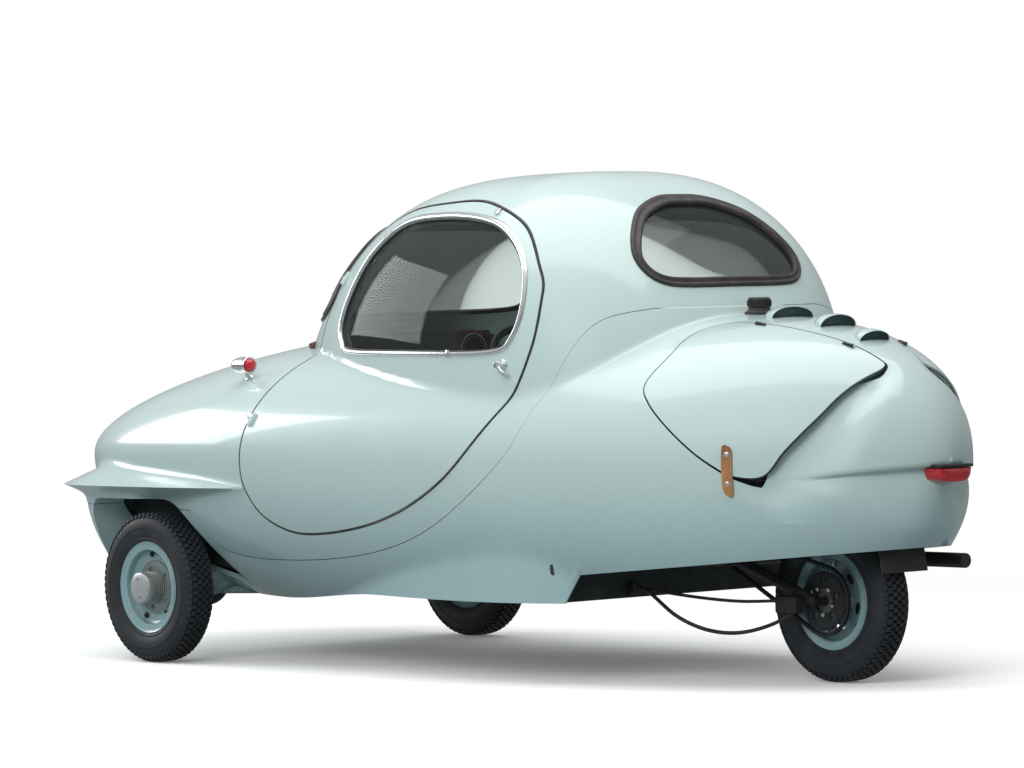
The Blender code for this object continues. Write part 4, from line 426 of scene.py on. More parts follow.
def slant_project(side):
    def project(outline):
        across = np.array([0.0, -HALF * side, HALF])
        out = np.array([0.0, HALF * side, HALF])
        starts = outline[:, :1] * np.array([1.0, 0.0, 0.0]) + outline[:, 1:] * across + HATCH_START * out
        return reach_skin(starts, np.tile(out, (len(outline), 1)), False, 1.0)
    return project


def pane_project(name):
    start, way = PANES[name][4:]

    def project(outline):
        starts = np.stack([np.full(len(outline), start), outline[:, 0], outline[:, 1]], -1)
        return reach_skin(starts, np.tile([way, 0.0, 0.0], (len(outline), 1)), False, 1.6)
    return project


# Meshes

def new_piece(name, vertices, faces, material=None, edges=()):
    """A mesh object; material is the name of a finish."""
    mesh = bpy.data.meshes.new(name)
    mesh.from_pydata([tuple(float(value) for value in vertex) for vertex in vertices], edges, faces)
    if material is not None:
        mesh.materials.append(finish(material))
    mesh.update()
    thing = bpy.data.objects.new(name, mesh)
    bpy.context.scene.collection.objects.link(thing)
    return thing


def face_outwards(thing, merge=0.0):
    shape = bmesh.new()
    shape.from_mesh(thing.data)
    if merge > 0.0:
        bmesh.ops.remove_doubles(shape, verts=shape.verts, dist=merge)
        bmesh.ops.dissolve_degenerate(shape, edges=shape.edges, dist=merge / 10.0)
    bmesh.ops.recalc_face_normals(shape, faces=shape.faces)
    if shape.calc_volume(signed=True) < 0.0:
        bmesh.ops.reverse_faces(shape, faces=shape.faces)
    shape.to_mesh(thing.data)
    shape.free()
    return thing


def smooth(thing, angle=35.0):
    thing.data.shade_smooth()
    thing.data.set_sharp_from_angle(angle=math.radians(angle))
    return thing


def ring_faces(first, second, count):
    return [(first + step, first + (step + 1) % count, second + (step + 1) % count, second + step)
            for step in range(count)]


def bake(thing):
    graph = bpy.context.evaluated_depsgraph_get()
    mesh = bpy.data.meshes.new_from_object(thing.evaluated_get(graph))
    thing.modifiers.clear()
    thing.data = mesh
    return thing


def discard(*things):
    for thing in things:
        bpy.data.objects.remove(thing, do_unlink=True)


def boolean(thing, cutter, operation="DIFFERENCE"):
    modifier = thing.modifiers.new("Cut", "BOOLEAN")
    modifier.operation = operation
    modifier.solver = "MANIFOLD"
    modifier.object = cutter
    return bake(thing)


def cut_away(thing, *cutters):
    """Take cutters out of a piece, one after the other, and drop them."""
    for cutter in cutters:
        boolean(thing, cutter)
        discard(cutter)


def copy_of(thing, name):
    twin = thing.copy()
    twin.data = thing.data.copy()
    twin.name = name
    bpy.context.scene.collection.objects.link(twin)
    return twin


def join(things, name):
    """Several pieces as one object, each keeping its materials and normals."""
    first = things[0]
    if len(things) > 1:
        with bpy.context.temp_override(active_object=first, selected_editable_objects=things,
                                       selected_objects=things):
            bpy.ops.object.join()
    first.name = name
    first.data.name = name
    return first


def settle(thing, body, *nodes, slot=None):
    """Put a finished piece on its body, in place of the nodes it stands for."""
    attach(thing, body)
    if nodes:
        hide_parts(*nodes)
    return thing


def prism(outline, start, end, place):
    """A cutter with a flat outline."""
    count = len(outline)
    vertices = [(x, y, start) for x, y in outline] + [(x, y, end) for x, y in outline]
    faces = [tuple(range(count)), tuple(range(count, 2 * count))] + ring_faces(0, count, count)
    return face_outwards(place_at(new_piece("cutter", vertices, faces), place))


SIDEWAYS = Matrix(((1, 0, 0, 0), (0, 0, 1, 0), (0, 1, 0, 0), (0, 0, 0, 1)))
ENDWAYS = Matrix(((0, 0, 1, 0), (1, 0, 0, 0), (0, 1, 0, 0), (0, 0, 0, 1)))


def side_prism(outline, start, end):
    return prism(outline, start, end, SIDEWAYS)


def slant_prism(outline, side):
    across, out = (0.0, -HALF * side, HALF), (0.0, HALF * side, HALF)
    place = Matrix([[(1.0, 0.0, 0.0)[row], across[row], out[row], 0.0] for row in range(3)]
                   + [[0.0, 0.0, 0.0, 1.0]])
    return prism(outline, HATCH_START, HATCH_REACH, place)


def lathe(name, material, profile, centre=(0, 0, 0), axis="Y", sides=96, angle=35.0):
    """A closed profile of (radius, along) pairs turned about an axis through centre."""
    vertices, faces = [], []
    for step in range(sides):
        turn = math.tau * step / sides
        for radius, along in profile:
            across, up = radius * math.cos(turn), radius * math.sin(turn)
            local = {"Y": (across, along, up), "X": (along, across, up), "Z": (across, up, along)}[axis]
            vertices.append([c + value for c, value in zip(centre, local)])
    count = len(profile)
    for step in range(sides):
        here, there = step * count, (step + 1) % sides * count
        for point in range(count):
            after = (point + 1) % count
            if profile[point][0] > 0.0 or profile[after][0] > 0.0:
                faces.append((here + point, here + after, there + after, there + point))
    return smooth(face_outwards(new_piece(name, vertices, faces, material), 1e-6), angle)


def bend(before, here, after, radius, steps):
    """Points of the curve that takes the place of a corner."""
    back, on = before - here, after - here
    cut = min(radius, back.length * 0.45, on.length * 0.45)
    start, end = here + back.normalized() * cut, here + on.normalized() * cut
    return [start * (1 - t) ** 2 + here * 2 * t * (1 - t) + end * t ** 2
            for t in (step / steps for step in range(steps + 1))]


def sided(profile, side):
    return [(radius, along * side) for radius, along in profile]


def softened(profile, radius, steps=3):
    """A closed profile with each corner rounded."""
    points = [Vector(point) for point in profile]
    made = []
    for index, here in enumerate(points):
        before, after = points[index - 1], points[(index + 1) % len(points)]
        if here.x <= 0.0:
            made.append(tuple(here))
        else:
            made += [tuple(point) for point in bend(before, here, after, radius, steps)]
    return made


def pipe(name, material, points, radius, sides=12, rounding=0.0):
    """A round bar along points, with its bends rounded."""
    path = [Vector(point) for point in points]
    if rounding > 0.0:
        bent = [path[0]]
        for before, here, after in zip(path, path[1:], path[2:]):
            bent += bend(before, here, after, rounding, 6)
        path = bent + [path[-1]]
    vertices, faces, normal = [], [], None
    for index, point in enumerate(path):
        along = (path[min(index + 1, len(path) - 1)] - path[max(index - 1, 0)]).normalized()
        if normal is None:
            normal = along.cross(Vector((0, 0, 1)) if abs(along.z) < 0.9 else Vector((1, 0, 0))).normalized()
        normal = (normal - normal.dot(along) * along).normalized()
        other = along.cross(normal)
        for side in range(sides):
            turn = math.tau * side / sides
            vertices.append(point + radius * (math.cos(turn) * normal + math.sin(turn) * other))
    last = (len(path) - 1) * sides
    faces += [tuple(range(sides)), tuple(range(last, last + sides))]
    for index in range(len(path) - 1):
        faces += ring_faces(index * sides, (index + 1) * sides, sides)
    return smooth(face_outwards(new_piece(name, vertices, faces, material)))


def block(name, material, low, high, bevel=0.002, segments=3):
    corners = [(x, y, z) for x in (low[0], high[0]) for y in (low[1], high[1]) for z in (low[2], high[2])]
    faces = [(0, 1, 3, 2), (4, 6, 7, 5), (0, 4, 5, 1), (2, 3, 7, 6), (0, 2, 6, 4), (1, 5, 7, 3)]
    thing = face_outwards(new_piece(name, corners, faces, material))
    shape = bmesh.new()
    shape.from_mesh(thing.data)
    bmesh.ops.bevel(shape, geom=shape.edges[:], offset=bevel, segments=segments, profile=0.5, affect="EDGES")
    shape.to_mesh(thing.data)
    shape.free()
    return smooth(thing)


def aimed(place, out, up=(0.0, 0.0, 1.0)):
    """A placing that turns local +Z to out and local +Y near to up."""
    ahead = Vector(out).normalized()
    across = Vector(up).cross(ahead)
    across = across.normalized() if across.length > 1e-4 else Vector((1.0, 0.0, 0.0))
    rise = ahead.cross(across)
    rows = [[across[row], rise[row], ahead[row], place[row]] for row in range(3)]
    return Matrix(rows + [[0.0, 0.0, 0.0, 1.0]])


def place_at(thing, place):
    thing.data.transform(place)
    return thing


def on_skin(project, place):
    """A place on the skin and the way it faces there."""
    at = project(np.array([place]))[0]
    return at, skin_normals(at[None], False)[0]


def set_skin_normals(thing, fins, hollows=None, nearness=0.003):
    """Shade the faces on the skin by the formula, so that cuts and facets don't show in the gloss."""
    mesh = thing.data
    mesh.shade_smooth()
    mesh.set_sharp_from_angle(angle=math.radians(30.0))
    points = np.empty(len(mesh.vertices) * 3)
    mesh.vertices.foreach_get("co", points)
    points = points.reshape(-1, 3)
    slope = slope_of(lambda at: skin_level(at, fins), points)
    steepness = np.maximum(np.linalg.norm(slope, axis=1), 1e-9)
    away = skin_level(points, fins) / steepness
    normals = slope / steepness[:, None]
    if hollows is not None:
        sunk = hollows(points)
        away = (away + sunk) * np.where(sunk > 0.0003, 0.15, 1.0)
        normals = unit(normals + slope_of(hollows, points, 0.003))
    corners = np.empty(len(mesh.loops), dtype=np.int32)
    mesh.loops.foreach_get("vertex_index", corners)
    totals = np.empty(len(mesh.polygons), dtype=np.int32)
    mesh.polygons.foreach_get("loop_total", totals)
    starts = np.empty(len(mesh.polygons), dtype=np.int32)
    mesh.polygons.foreach_get("loop_start", starts)
    facing = np.empty(len(mesh.polygons) * 3)
    mesh.polygons.foreach_get("normal", facing)
    facing = facing.reshape(-1, 3)
    owner = np.empty(len(corners), dtype=np.int64)
    order = np.repeat(np.arange(len(totals)), totals)
    owner[np.concatenate([np.arange(start, start + total) for start, total in zip(starts, totals)])] = order
    agrees = (np.abs(away[corners]) < nearness) & (np.sum(facing[owner] * normals[corners], axis=1) > 0.6)
    good = np.ones(len(totals), dtype=bool)
    np.logical_and.at(good, owner, agrees)
    chosen = np.where(good[owner][:, None], normals[corners], 0.0)
    mesh.normals_split_custom_set(chosen.tolist())
    return thing


def skin_panel(name, material, rings, project, front, back, hole=False, way=None):
    """A panel between two depths under the skin, from nested outlines; the last closes on its middle."""
    count = len(rings[0])
    layers = []
    for depths in (np.broadcast_to(front, len(rings)), np.broadcast_to(back, len(rings))):
        layer = []
        for ring, depth in zip(rings, depths):
            points = project(ring)
            inward = skin_normals(points, False) if way is None else np.array(way)
            layer.append(points - depth * inward)
        layers.append(layer)
    vertices, faces = [], []
    for layer in layers:
        base = len(vertices)
        vertices += [point for ring in layer for point in ring]
        for row in range(len(rings) - 1):
            faces += ring_faces(base + row * count, base + (row + 1) * count, count)
        if not hole:
            middle = len(vertices)
            vertices.append(layer[-1].mean(axis=0))
            last = base + (len(rings) - 1) * count
            faces += [(last + step, last + (step + 1) % count, middle) for step in range(count)]
    size = len(rings) * count + (0 if hole else 1)
    faces += ring_faces(0, size, count)
    if hole:
        last = (len(rings) - 1) * count
        faces += ring_faces(last, size + last, count)
    return face_outwards(new_piece(name, vertices, faces, material))


def band(name, material, outline, section, project, angle=50.0):
    """A closed section of (grow, height) pairs carried round an outline on the skin."""
    count = len(outline)
    vertices, faces = [], []
    for grow, height in section:
        points = project(grown(outline, grow))
        vertices += list(points + height * skin_normals(points, False))
    for row in range(len(section)):
        faces += ring_faces(row * count, (row + 1) % len(section) * count, count)
    return smooth(face_outwards(new_piece(name, vertices, faces, material)), angle)


def round_section(middle, height, radius, sides=10):
    return [(middle + radius * math.cos(math.tau * k / sides),
             height + radius * math.sin(math.tau * k / sides))
            for k in range(sides)]


# Materials

class Amount:
    """A shader socket that takes part in sums."""

    def __init__(self, finish, socket):
        self.finish = finish
        self.socket = socket

    def _sum(self, operation, first, second):
        return self.finish.node("ShaderNodeMath", {"operation": operation}, {0: first, 1: second})

    def __add__(self, other):
        return self._sum("ADD", self, other)

    def __radd__(self, other):
        return self._sum("ADD", other, self)

    def __sub__(self, other):
        return self._sum("SUBTRACT", self, other)

    def __rsub__(self, other):
        return self._sum("SUBTRACT", other, self)

    def __mul__(self, other):
        return self._sum("MULTIPLY", self, other)

    def __rmul__(self, other):
        return self._sum("MULTIPLY", other, self)

    def between(self, low, high):
        """0 below low, 1 above high and smooth between them."""
        return self.finish.node("ShaderNodeMapRange", {"interpolation_type": "SMOOTHSTEP"},
                                {"Value": self, "From Min": low, "From Max": high})


class Finish:
    """A material built from nodes, on a Principled shader."""

    def __init__(self, name, **constants):
        self.material = bpy.data.materials.new(name)
        self.material.use_nodes = True
        self.tree = self.material.node_tree
        self.shader = self.tree.nodes["Principled BSDF"]
        self.output = self.tree.nodes["Material Output"]
        for socket, value in constants.items():
            self.set(socket.replace("_", " ").title().replace("Ior", "IOR"), value)
        self.place = self.node("ShaderNodeTexCoord", {}, {}, "Object")

    def fill(self, socket, value):
        if isinstance(value, Amount):
            self.tree.links.new(value.socket, socket)
        elif hasattr(value, "__len__") and len(value) == 3 and len(socket.default_value) == 4:
            socket.default_value = (*value, 1.0)
        else:
            socket.default_value = value

    def node(self, kind, settings, values, output=0):
        made = self.tree.nodes.new(kind)
        for name, value in settings.items():
            setattr(made, name, value)
        for name, value in values.items():
            self.fill(made.inputs[name], value)
        return Amount(self, made.outputs[output])

    def set(self, name, value):
        self.fill(self.shader.inputs[name], value)
        return self

    def noise(self, scale, detail=3.0, stretch=None):
        at = self.place
        if stretch is not None:
            at = self.node("ShaderNodeMapping", {}, {"Vector": at, "Scale": stretch})
        return self.node("ShaderNodeTexNoise", {}, {"Vector": at, "Scale": scale, "Detail": detail})

    def blend(self, factor, first, second):
        mix = self.tree.nodes.new("ShaderNodeMix")
        mix.data_type = "RGBA"
        for socket, value in ((mix.inputs[0], factor), (mix.inputs[6], first), (mix.inputs[7], second)):
            self.fill(socket, value)
        return Amount(self, mix.outputs[2])

    def cover(self, factor, first, second):
        """Mix two shaders and send the result to the surface."""
        mix = self.tree.nodes.new("ShaderNodeMixShader")
        self.fill(mix.inputs[0], factor)
        self.tree.links.new(first, mix.inputs[1])
        self.tree.links.new(second, mix.inputs[2])
        self.tree.links.new(mix.outputs[0], self.output.inputs["Surface"])

    def height(self):
        return self.node("ShaderNodeSeparateXYZ", {}, {0: self.place}, "Z")

    def bump(self, height, strength, distance=0.001, below=None):
        values = {"Height": height, "Strength": strength, "Distance": distance}
        if below is not None:
            values["Normal"] = below
        return self.node("ShaderNodeBump", {}, values)


def shaded(colour, factor):
    return tuple(min(1.0, channel * factor) for channel in colour)


def paint_finish(name, base, waves=1.0, dirt=0.25):
    made = Finish(name, coat_weight=0.55, coat_roughness=0.05, coat_IOR=1.5, specular_IOR_level=0.4)
    broad = made.noise(1.7, 2.0)
    fine = made.noise(900.0, 2.0)
    # low grows towards the bottom of the piece: it carries painted shade on the lower sides and real dust
    # specks there
    low = 1.0 - made.height().between(0.20, 0.62)
    specks = made.noise(42.0, 4.0).between(0.45, 0.8)
    tone = made.blend(broad.between(0.3, 0.7), shaded(base, 0.975), shaded(base, 1.025))
    # Painted shade: the lower sides darkened towards a deeper teal
    tone = made.blend(low * 0.55, tone, (base[0] * 0.40, base[1] * 0.60, base[2] * 0.70))
    tone = made.blend(low * specks * dirt, tone, (0.30, 0.33, 0.32))
    made.set("Base Color", tone)
    made.set("Roughness", 0.20 + fine * 0.05 + low * specks * 0.10)
    ripple = made.bump(made.noise(5.5, 2.0), 0.10 * waves, 0.010)
    made.set("Normal", made.bump(made.noise(420.0, 1.0), 0.030, 0.0004, ripple))
    return made.material


def rubber_finish(name, base, dust=(0.10, 0.09, 0.085), scale=180.0, roughness=0.62):
    made = Finish(name, specular_IOR_level=0.35)
    worn = made.noise(24.0, 4.0).between(0.42, 0.78)
    grain = made.noise(scale, 4.0)
    made.set("Base Color", made.blend(worn * 0.45, base, dust))
    made.set("Roughness", roughness + grain * 0.16 - worn * 0.06)
    made.set("Normal", made.bump(grain, 0.25, 0.0006))
    return made.material


def metal_finish(name, base, roughness, stain=(0.2, 0.19, 0.18), amount=0.15, stretch=None, metallic=1.0,
                 grain=0.08):
    made = Finish(name, metallic=metallic)
    spots = made.noise(38.0, 5.0).between(0.48, 0.85)
    lines = made.noise(260.0, 3.0, stretch=stretch)
    made.set("Base Color", made.blend(spots * amount, base, stain))
    made.set("Roughness", roughness + spots * 0.18 + lines * grain)
    made.set("Normal", made.bump(lines, 0.10, 0.0003))
    return made.material


def leather_finish(name, base, grain_scale, roughness=0.5, dark=0.55):
    made = Finish(name, specular_IOR_level=0.4)
    cells = made.node("ShaderNodeTexVoronoi", {"feature": "DISTANCE_TO_EDGE"},
                      {"Vector": made.place, "Scale": grain_scale})
    patches = made.noise(18.0, 4.0)
    made.set("Base Color", made.blend(patches.between(0.35, 0.75), shaded(base, dark), shaded(base, 1.15)))
    made.set("Roughness", roughness + made.noise(90.0) * 0.18)
    made.set("Normal", made.bump(cells, 0.35, 0.0008))
    return made.material


def glass_finish(name, tint=(0.93, 0.96, 0.95), edge=0.04):
    """Clear pane: see-through with a reflection that grows to its edges."""
    made = Finish(name, roughness=0.02, metallic=0.0, specular_IOR_level=0.9)
    made.set("Base Color", (0.03, 0.035, 0.035))
    clear = made.node("ShaderNodeBsdfTransparent", {}, {"Color": tint})
    turned = made.node("ShaderNodeLayerWeight", {}, {"Blend": 0.22}, "Fresnel")
    smears = made.noise(7.0, 3.0).between(0.45, 0.9)
    shine = edge + turned * 0.75 + smears * 0.012
    made.cover(shine, clear.socket, made.shader.outputs[0])
    return made.material


def lamp_glass_finish(name, base):
    made = Finish(name, coat_weight=0.7, coat_roughness=0.03, transmission_weight=0.25, IOR=1.5)
    ribs = made.node("ShaderNodeTexVoronoi", {}, {"Vector": made.place, "Scale": 190.0})
    made.set("Base Color", made.blend(ribs.between(0.0, 0.7), shaded(base, 0.75), shaded(base, 1.5)))
    made.set("Roughness", 0.10 + ribs * 0.10)
    made.set("Normal", made.bump(ribs, 0.25, 0.0006))
    return made.material


def fluted_glass_finish(name):
    made = Finish(name, metallic=0.35, coat_weight=0.8, coat_roughness=0.03)
    flutes = made.node("ShaderNodeTexWave", {"bands_direction": "Y"}, {"Vector": made.place, "Scale": 45.0})
    # The pale and darker bands stand for the reflector seen through clear fluted glass: painted reflection
    made.set("Base Color", made.blend(flutes, (0.62, 0.66, 0.66), (0.86, 0.88, 0.88)))
    made.set("Roughness", 0.08 + flutes * 0.10)
    made.set("Normal", made.bump(flutes, 0.45, 0.0015))
    return made.material


def make_finishes(colours):
    paint = tuple(colours.paint)
    return {
        "paint": paint_finish("celadon gloss paint", paint),
        # The wheel paint is the body paint made darker: painted shade on the rims, with more of the real dust
        # specks
        "wheel": paint_finish("wheel paint", (paint[0] * 0.72, paint[1] * 0.82, paint[2] * 0.84), 0.5, 0.9),
        "glass": glass_finish("window glass"),
        "bright": metal_finish("polished aluminium", (0.78, 0.79, 0.80), 0.16, amount=0.10),
        "chrome": metal_finish("chrome plate", (0.80, 0.81, 0.82), 0.05, amount=0.06, grain=0.02),
        "alloy": metal_finish("turned aluminium", (0.62, 0.62, 0.61), 0.34, (0.30, 0.29, 0.27), 0.35,
                              (1.0, 9.0, 1.0), 0.85),
        "casting": metal_finish("rough aluminium casting", (0.26, 0.26, 0.26), 0.48, (0.05, 0.047, 0.042),
                                0.7, None, 0.8),
        "drum": metal_finish("drum iron", (0.20, 0.24, 0.235), 0.42, (0.09, 0.10, 0.095), 0.5, None, 0.35),
        "dark_metal": metal_finish("greasy black steel", (0.032, 0.034, 0.037), 0.42, (0.06, 0.050, 0.040),
                                   0.5, None, 0.45),
        "rubber": rubber_finish("seal rubber", tuple(colours.rubber), (0.085, 0.070, 0.066), 120.0, 0.42),
        "tyre": rubber_finish("tyre rubber", tuple(colours.tyre), (0.040, 0.042, 0.044), 180.0, 0.44),
        "floor": rubber_finish("dusty dark panel", (0.030, 0.036, 0.037), (0.075, 0.078, 0.075), 60.0, 0.7),
        "black": rubber_finish("black moulded plastic", (0.018, 0.017, 0.017), (0.05, 0.045, 0.042), 320.0,
                               0.30),
        "leather": leather_finish("saddle leather", tuple(colours.leather), 700.0),
        "trim": leather_finish("dashboard cover", tuple(colours.trim), 420.0, 0.45, 0.85),
        "seat": leather_finish("bench cover", tuple(colours.seat), 380.0, 0.48, 0.8),
        "red": lamp_glass_finish("red lamp glass", tuple(colours.red)),
        "lens": fluted_glass_finish("fluted lamp glass"),
        "mouth": rubber_finish("vent shadow", (0.012, 0.030, 0.032), (0.020, 0.040, 0.042), 60.0, 0.55),
        "pale": rubber_finish("pale knob plastic", (0.62, 0.60, 0.54), (0.40, 0.37, 0.31), 200.0, 0.25),
    }


FINISHES = {}


def finish(name):
    if name not in FINISHES:
        FINISHES.update(make_finishes(bpy.context.scene.cabin_car.finishes))
    return FINISHES[name]


def dress(node, name):
    """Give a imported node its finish."""
    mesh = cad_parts[node].data
    mesh.materials.clear()
    mesh.materials.append(finish(name))


# Repeats in Geometry Nodes

class Recipe:
    """A Geometry Nodes tree with named inputs that ends in Realize Instances and Set Material."""

    def __init__(self, name, inputs):
        self.tree = bpy.data.node_groups.new(name, "GeometryNodeTree")
        self.tree.interface.new_socket("Geometry", in_out="INPUT", socket_type="NodeSocketGeometry")
        for label, kind in inputs:
            self.tree.interface.new_socket(label, in_out="INPUT", socket_type=kind)
        self.tree.interface.new_socket("Geometry", in_out="OUTPUT", socket_type="NodeSocketGeometry")
        self.inputs = self.tree.nodes.new("NodeGroupInput").outputs
        self.end = self.tree.nodes.new("NodeGroupOutput").inputs

    def add(self, kind, settings=None, values=None):
        made = self.tree.nodes.new(kind)
        for name, value in (settings or {}).items():
            setattr(made, name, value)
        for name, value in (values or {}).items():
            if isinstance(value, bpy.types.NodeSocket):
                self.tree.links.new(value, made.inputs[name])
            else:
                made.inputs[name].default_value = value
        return made.outputs

    def sum(self, operation, first, second=0.0):
        return self.add("ShaderNodeMath", {"operation": operation}, {0: first, 1: second})[0]

    def finish(self, instances):
        solid = self.add("GeometryNodeRealizeInstances", {}, {"Geometry": instances})[0]
        coloured = self.add("GeometryNodeSetMaterial", {},
                            {"Geometry": solid, "Material": self.inputs["Finish"]})[0]
        self.tree.links.new(coloured, self.end["Geometry"])
        return self.tree


def ring_recipe():
    """Copies of a block on a circle about Y; each block's +Z points outwards."""
    recipe = Recipe("Ring",
                    (("Block", "NodeSocketObject"), ("Count", "NodeSocketInt"), ("Radius", "NodeSocketFloat"),
                     ("Across", "NodeSocketFloat"), ("Shift", "NodeSocketFloat"), ("Lean", "NodeSocketFloat"),
                     ("Finish", "NodeSocketMaterial")))
    inputs = recipe.inputs
    points = recipe.add("GeometryNodePoints", {}, {"Count": inputs["Count"]})[0]
    place = recipe.sum("DIVIDE", recipe.sum("ADD", recipe.add("GeometryNodeInputIndex")[0], inputs["Shift"]),
                       inputs["Count"])
    turn = recipe.sum("MULTIPLY", place, math.tau)
    x = recipe.sum("MULTIPLY", recipe.sum("SINE", turn), inputs["Radius"])
    z = recipe.sum("MULTIPLY", recipe.sum("COSINE", turn), inputs["Radius"])
    spot = recipe.add("ShaderNodeCombineXYZ", {}, {"X": x, "Y": inputs["Across"], "Z": z})[0]
    moved = recipe.add("GeometryNodeSetPosition", {}, {"Geometry": points, "Position": spot})[0]
    turned = recipe.add("ShaderNodeCombineXYZ", {}, {"X": inputs["Lean"], "Y": turn})[0]
    shape = recipe.add("GeometryNodeObjectInfo", {"transform_space": "ORIGINAL"},
                       {"Object": inputs["Block"]})["Geometry"]
    copies = recipe.add("GeometryNodeInstanceOnPoints", {},
                        {"Points": moved, "Instance": shape, "Rotation": turned})[0]
    return recipe.finish(copies)


def path_recipe():
    """Copies of a block along the object's own edges; each block's +X follows the path."""
    recipe = Recipe("Path", (("Block", "NodeSocketObject"), ("Count", "NodeSocketInt"),
                             ("Finish", "NodeSocketMaterial")))
    inputs = recipe.inputs
    curve = recipe.add("GeometryNodeMeshToCurve", {}, {"Mesh": inputs["Geometry"]})[0]
    spaced = recipe.add("GeometryNodeResampleCurve", {}, {"Curve": curve, "Count": inputs["Count"]})[0]
    along = recipe.add("GeometryNodeInputTangent")[0]
    turned = recipe.add("FunctionNodeAlignRotationToVector", {"axis": "X", "pivot_axis": "AUTO"},
                        {"Vector": along})[0]
    shape = recipe.add("GeometryNodeObjectInfo", {"transform_space": "ORIGINAL"},
                       {"Object": inputs["Block"]})["Geometry"]
    copies = recipe.add("GeometryNodeInstanceOnPoints", {},
                        {"Points": spaced, "Instance": shape, "Rotation": turned})[0]
    return recipe.finish(copies)


RECIPES = {}


def repeat(name, kind, block_thing, material, carrier=None, keep=False, **values):
    """Run a recipe, bake it to a plain mesh and drop the block, unless it is kept for more."""
    if kind not in RECIPES:
        RECIPES[kind] = {"ring": ring_recipe, "path": path_recipe}[kind]()
    tree = RECIPES[kind]
    thing = carrier or new_piece(name, [(0.0, 0.0, 0.0)], [])
    thing.name = name
    modifier = thing.modifiers.new("Repeat", "NODES")
    modifier.node_group = tree
    values.update(Block=block_thing, Finish=finish(material))
    for item in tree.interface.items_tree:
        if item.in_out == "INPUT" and item.name in values:
            modifier[item.identifier] = values[item.name]
    bake(thing)
    if not keep:
        discard(block_thing)
    return thing


def hex_nut(height, radius):
    """A nut standing on z = 0 with a short stud in it, in a few dozen faces."""
    profile = [(radius * 0.97, 0.0), (radius, height * 0.15), (radius, height * 0.8), (radius * 0.82, height),
               (radius * 0.5, height), (radius * 0.5, height * 1.45), (0.0, height * 1.55), (0.0, 0.0)]
    return lathe("nut", None, profile, axis="Z", sides=6, angle=20.0)


def screw_head(radius, height, material=None):
    profile = [(radius, 0.0), (radius * 0.95, height * 0.4), (radius * 0.6, height * 0.9), (0.0, height),
               (0.0, 0.0)]
    return lathe("screw", material, profile, axis="Z", sides=12)


# Body

def skin_rings(sizes, fins, hollows, depth):
    """Rings of points from the lower edge to the roof, and the top point."""
    count = sizes.around
    around = np.arange(count) * math.tau / count

    def cast(up, turns=around):
        spread = np.cos(turns) * np.cos(up)
        start = np.stack([RAY_MIDDLE_X + RAY_SPREAD * spread, np.zeros_like(up), np.full_like(up, FIN_Z)], -1)
        return reach_skin(start, np.stack([spread, np.sin(turns) * np.cos(up), np.sin(up)], -1), fins)

    def halve(low, high, test):
        for _ in range(22):
            middle = (low + high) / 2.0
            below = test(cast(middle))
            low, high = np.where(below, middle, low), np.where(below, high, middle)
        return low, high

    def crease_climb(drop):
        return halve(np.zeros(count), np.full(count, math.pi / 4.0),
                     lambda at: at[:, 2] < TAIL_CREASE_Z - TAIL_CREASE_FALL * at[:, 1] ** 2 - drop)[0]

    edge = halve(np.full(count, -math.pi / 2.2), np.zeros(count),
                 lambda at: at[:, 2] < lower_edge(at[:, 0]))[1]
    crease = halve(np.zeros(count), np.full(count, math.pi / 2.0),
                   lambda at: pod_level(*at.T) < cabin_level(*at.T))[0]
    rows = sizes.fineness if depth == 0.0 else 6
    behind, least = np.cos(around) < -0.3, 0.003
    dip = np.maximum(np.where(behind, crease_climb(TAIL_LIP), LIP_CLIMB), LIP_CLIMB + least)
    tail = np.maximum(np.where(behind, crease_climb(0.0), LIP_CLIMB), dip + least)
    climbs = []
    for first, last, steps in ((edge, -LIP_CLIMB, 2 * rows), (-LIP_CLIMB, 0.0, 5), (0.0, LIP_CLIMB, 5),
                               (LIP_CLIMB, dip, 3), (dip, tail, 3), (tail, crease, 4 * rows),
                               (crease, math.pi / 2.0, 8 * rows)):
        climbs += [first + (last - first) * step / steps * np.ones(count) for step in range(steps)]
    rings = []
    for up in climbs + [np.full(1, math.pi / 2.0)]:
        points = cast(up, around if len(up) > 1 else np.zeros(1))
        points = points - (depth + hollows(points))[:, None] * skin_normals(points, fins)
        rings.append(points)
    for ring in rings[:-1]:
        ring[0, 1] = ring[count // 2, 1] = 0.0
    return rings[:-1], rings[-1][0]


def make_shell(sizes, hollows, material):
    count = sizes.around
    vertices, faces = [], []
    for fins, depth in ((True, 0.0), (False, WALL)):
        rings, top = skin_rings(sizes, fins, hollows, depth)
        base = len(vertices)
        vertices += [point for ring in rings for point in ring] + [top]
        size = len(rings) * count + 1
        layer = [face for row in range(len(rings) - 1)
                 for face in ring_faces(base + row * count, base + (row + 1) * count, count)]
        last = base + (len(rings) - 1) * count
        layer += [(last + step, last + (step + 1) % count, base + size - 1) for step in range(count)]
        faces += layer if depth == 0.0 else [tuple(reversed(face)) for face in layer]
    faces += [tuple(reversed(face)) for face in ring_faces(0, len(vertices) - size, count)]
    return face_outwards(new_piece("shell", vertices, faces, material))


def soft_line(points, radius, steps=6):
    """An open line with its inner corners rounded."""
    path = [np.array(point) for point in points]
    made = [path[0]]
    for before, here, after in zip(path, path[1:], path[2:]):
        back, on = before - here, after - here
        cut = min(radius, np.linalg.norm(back) * 0.48, np.linalg.norm(on) * 0.48)
        start, end = here + unit(back) * cut, here + unit(on) * cut
        made += [start * (1 - t) ** 2 + here * 2 * t * (1 - t) + end * t ** 2
                 for t in np.linspace(0.0, 1.0, steps + 1)]
    return np.array(made + [path[-1]])


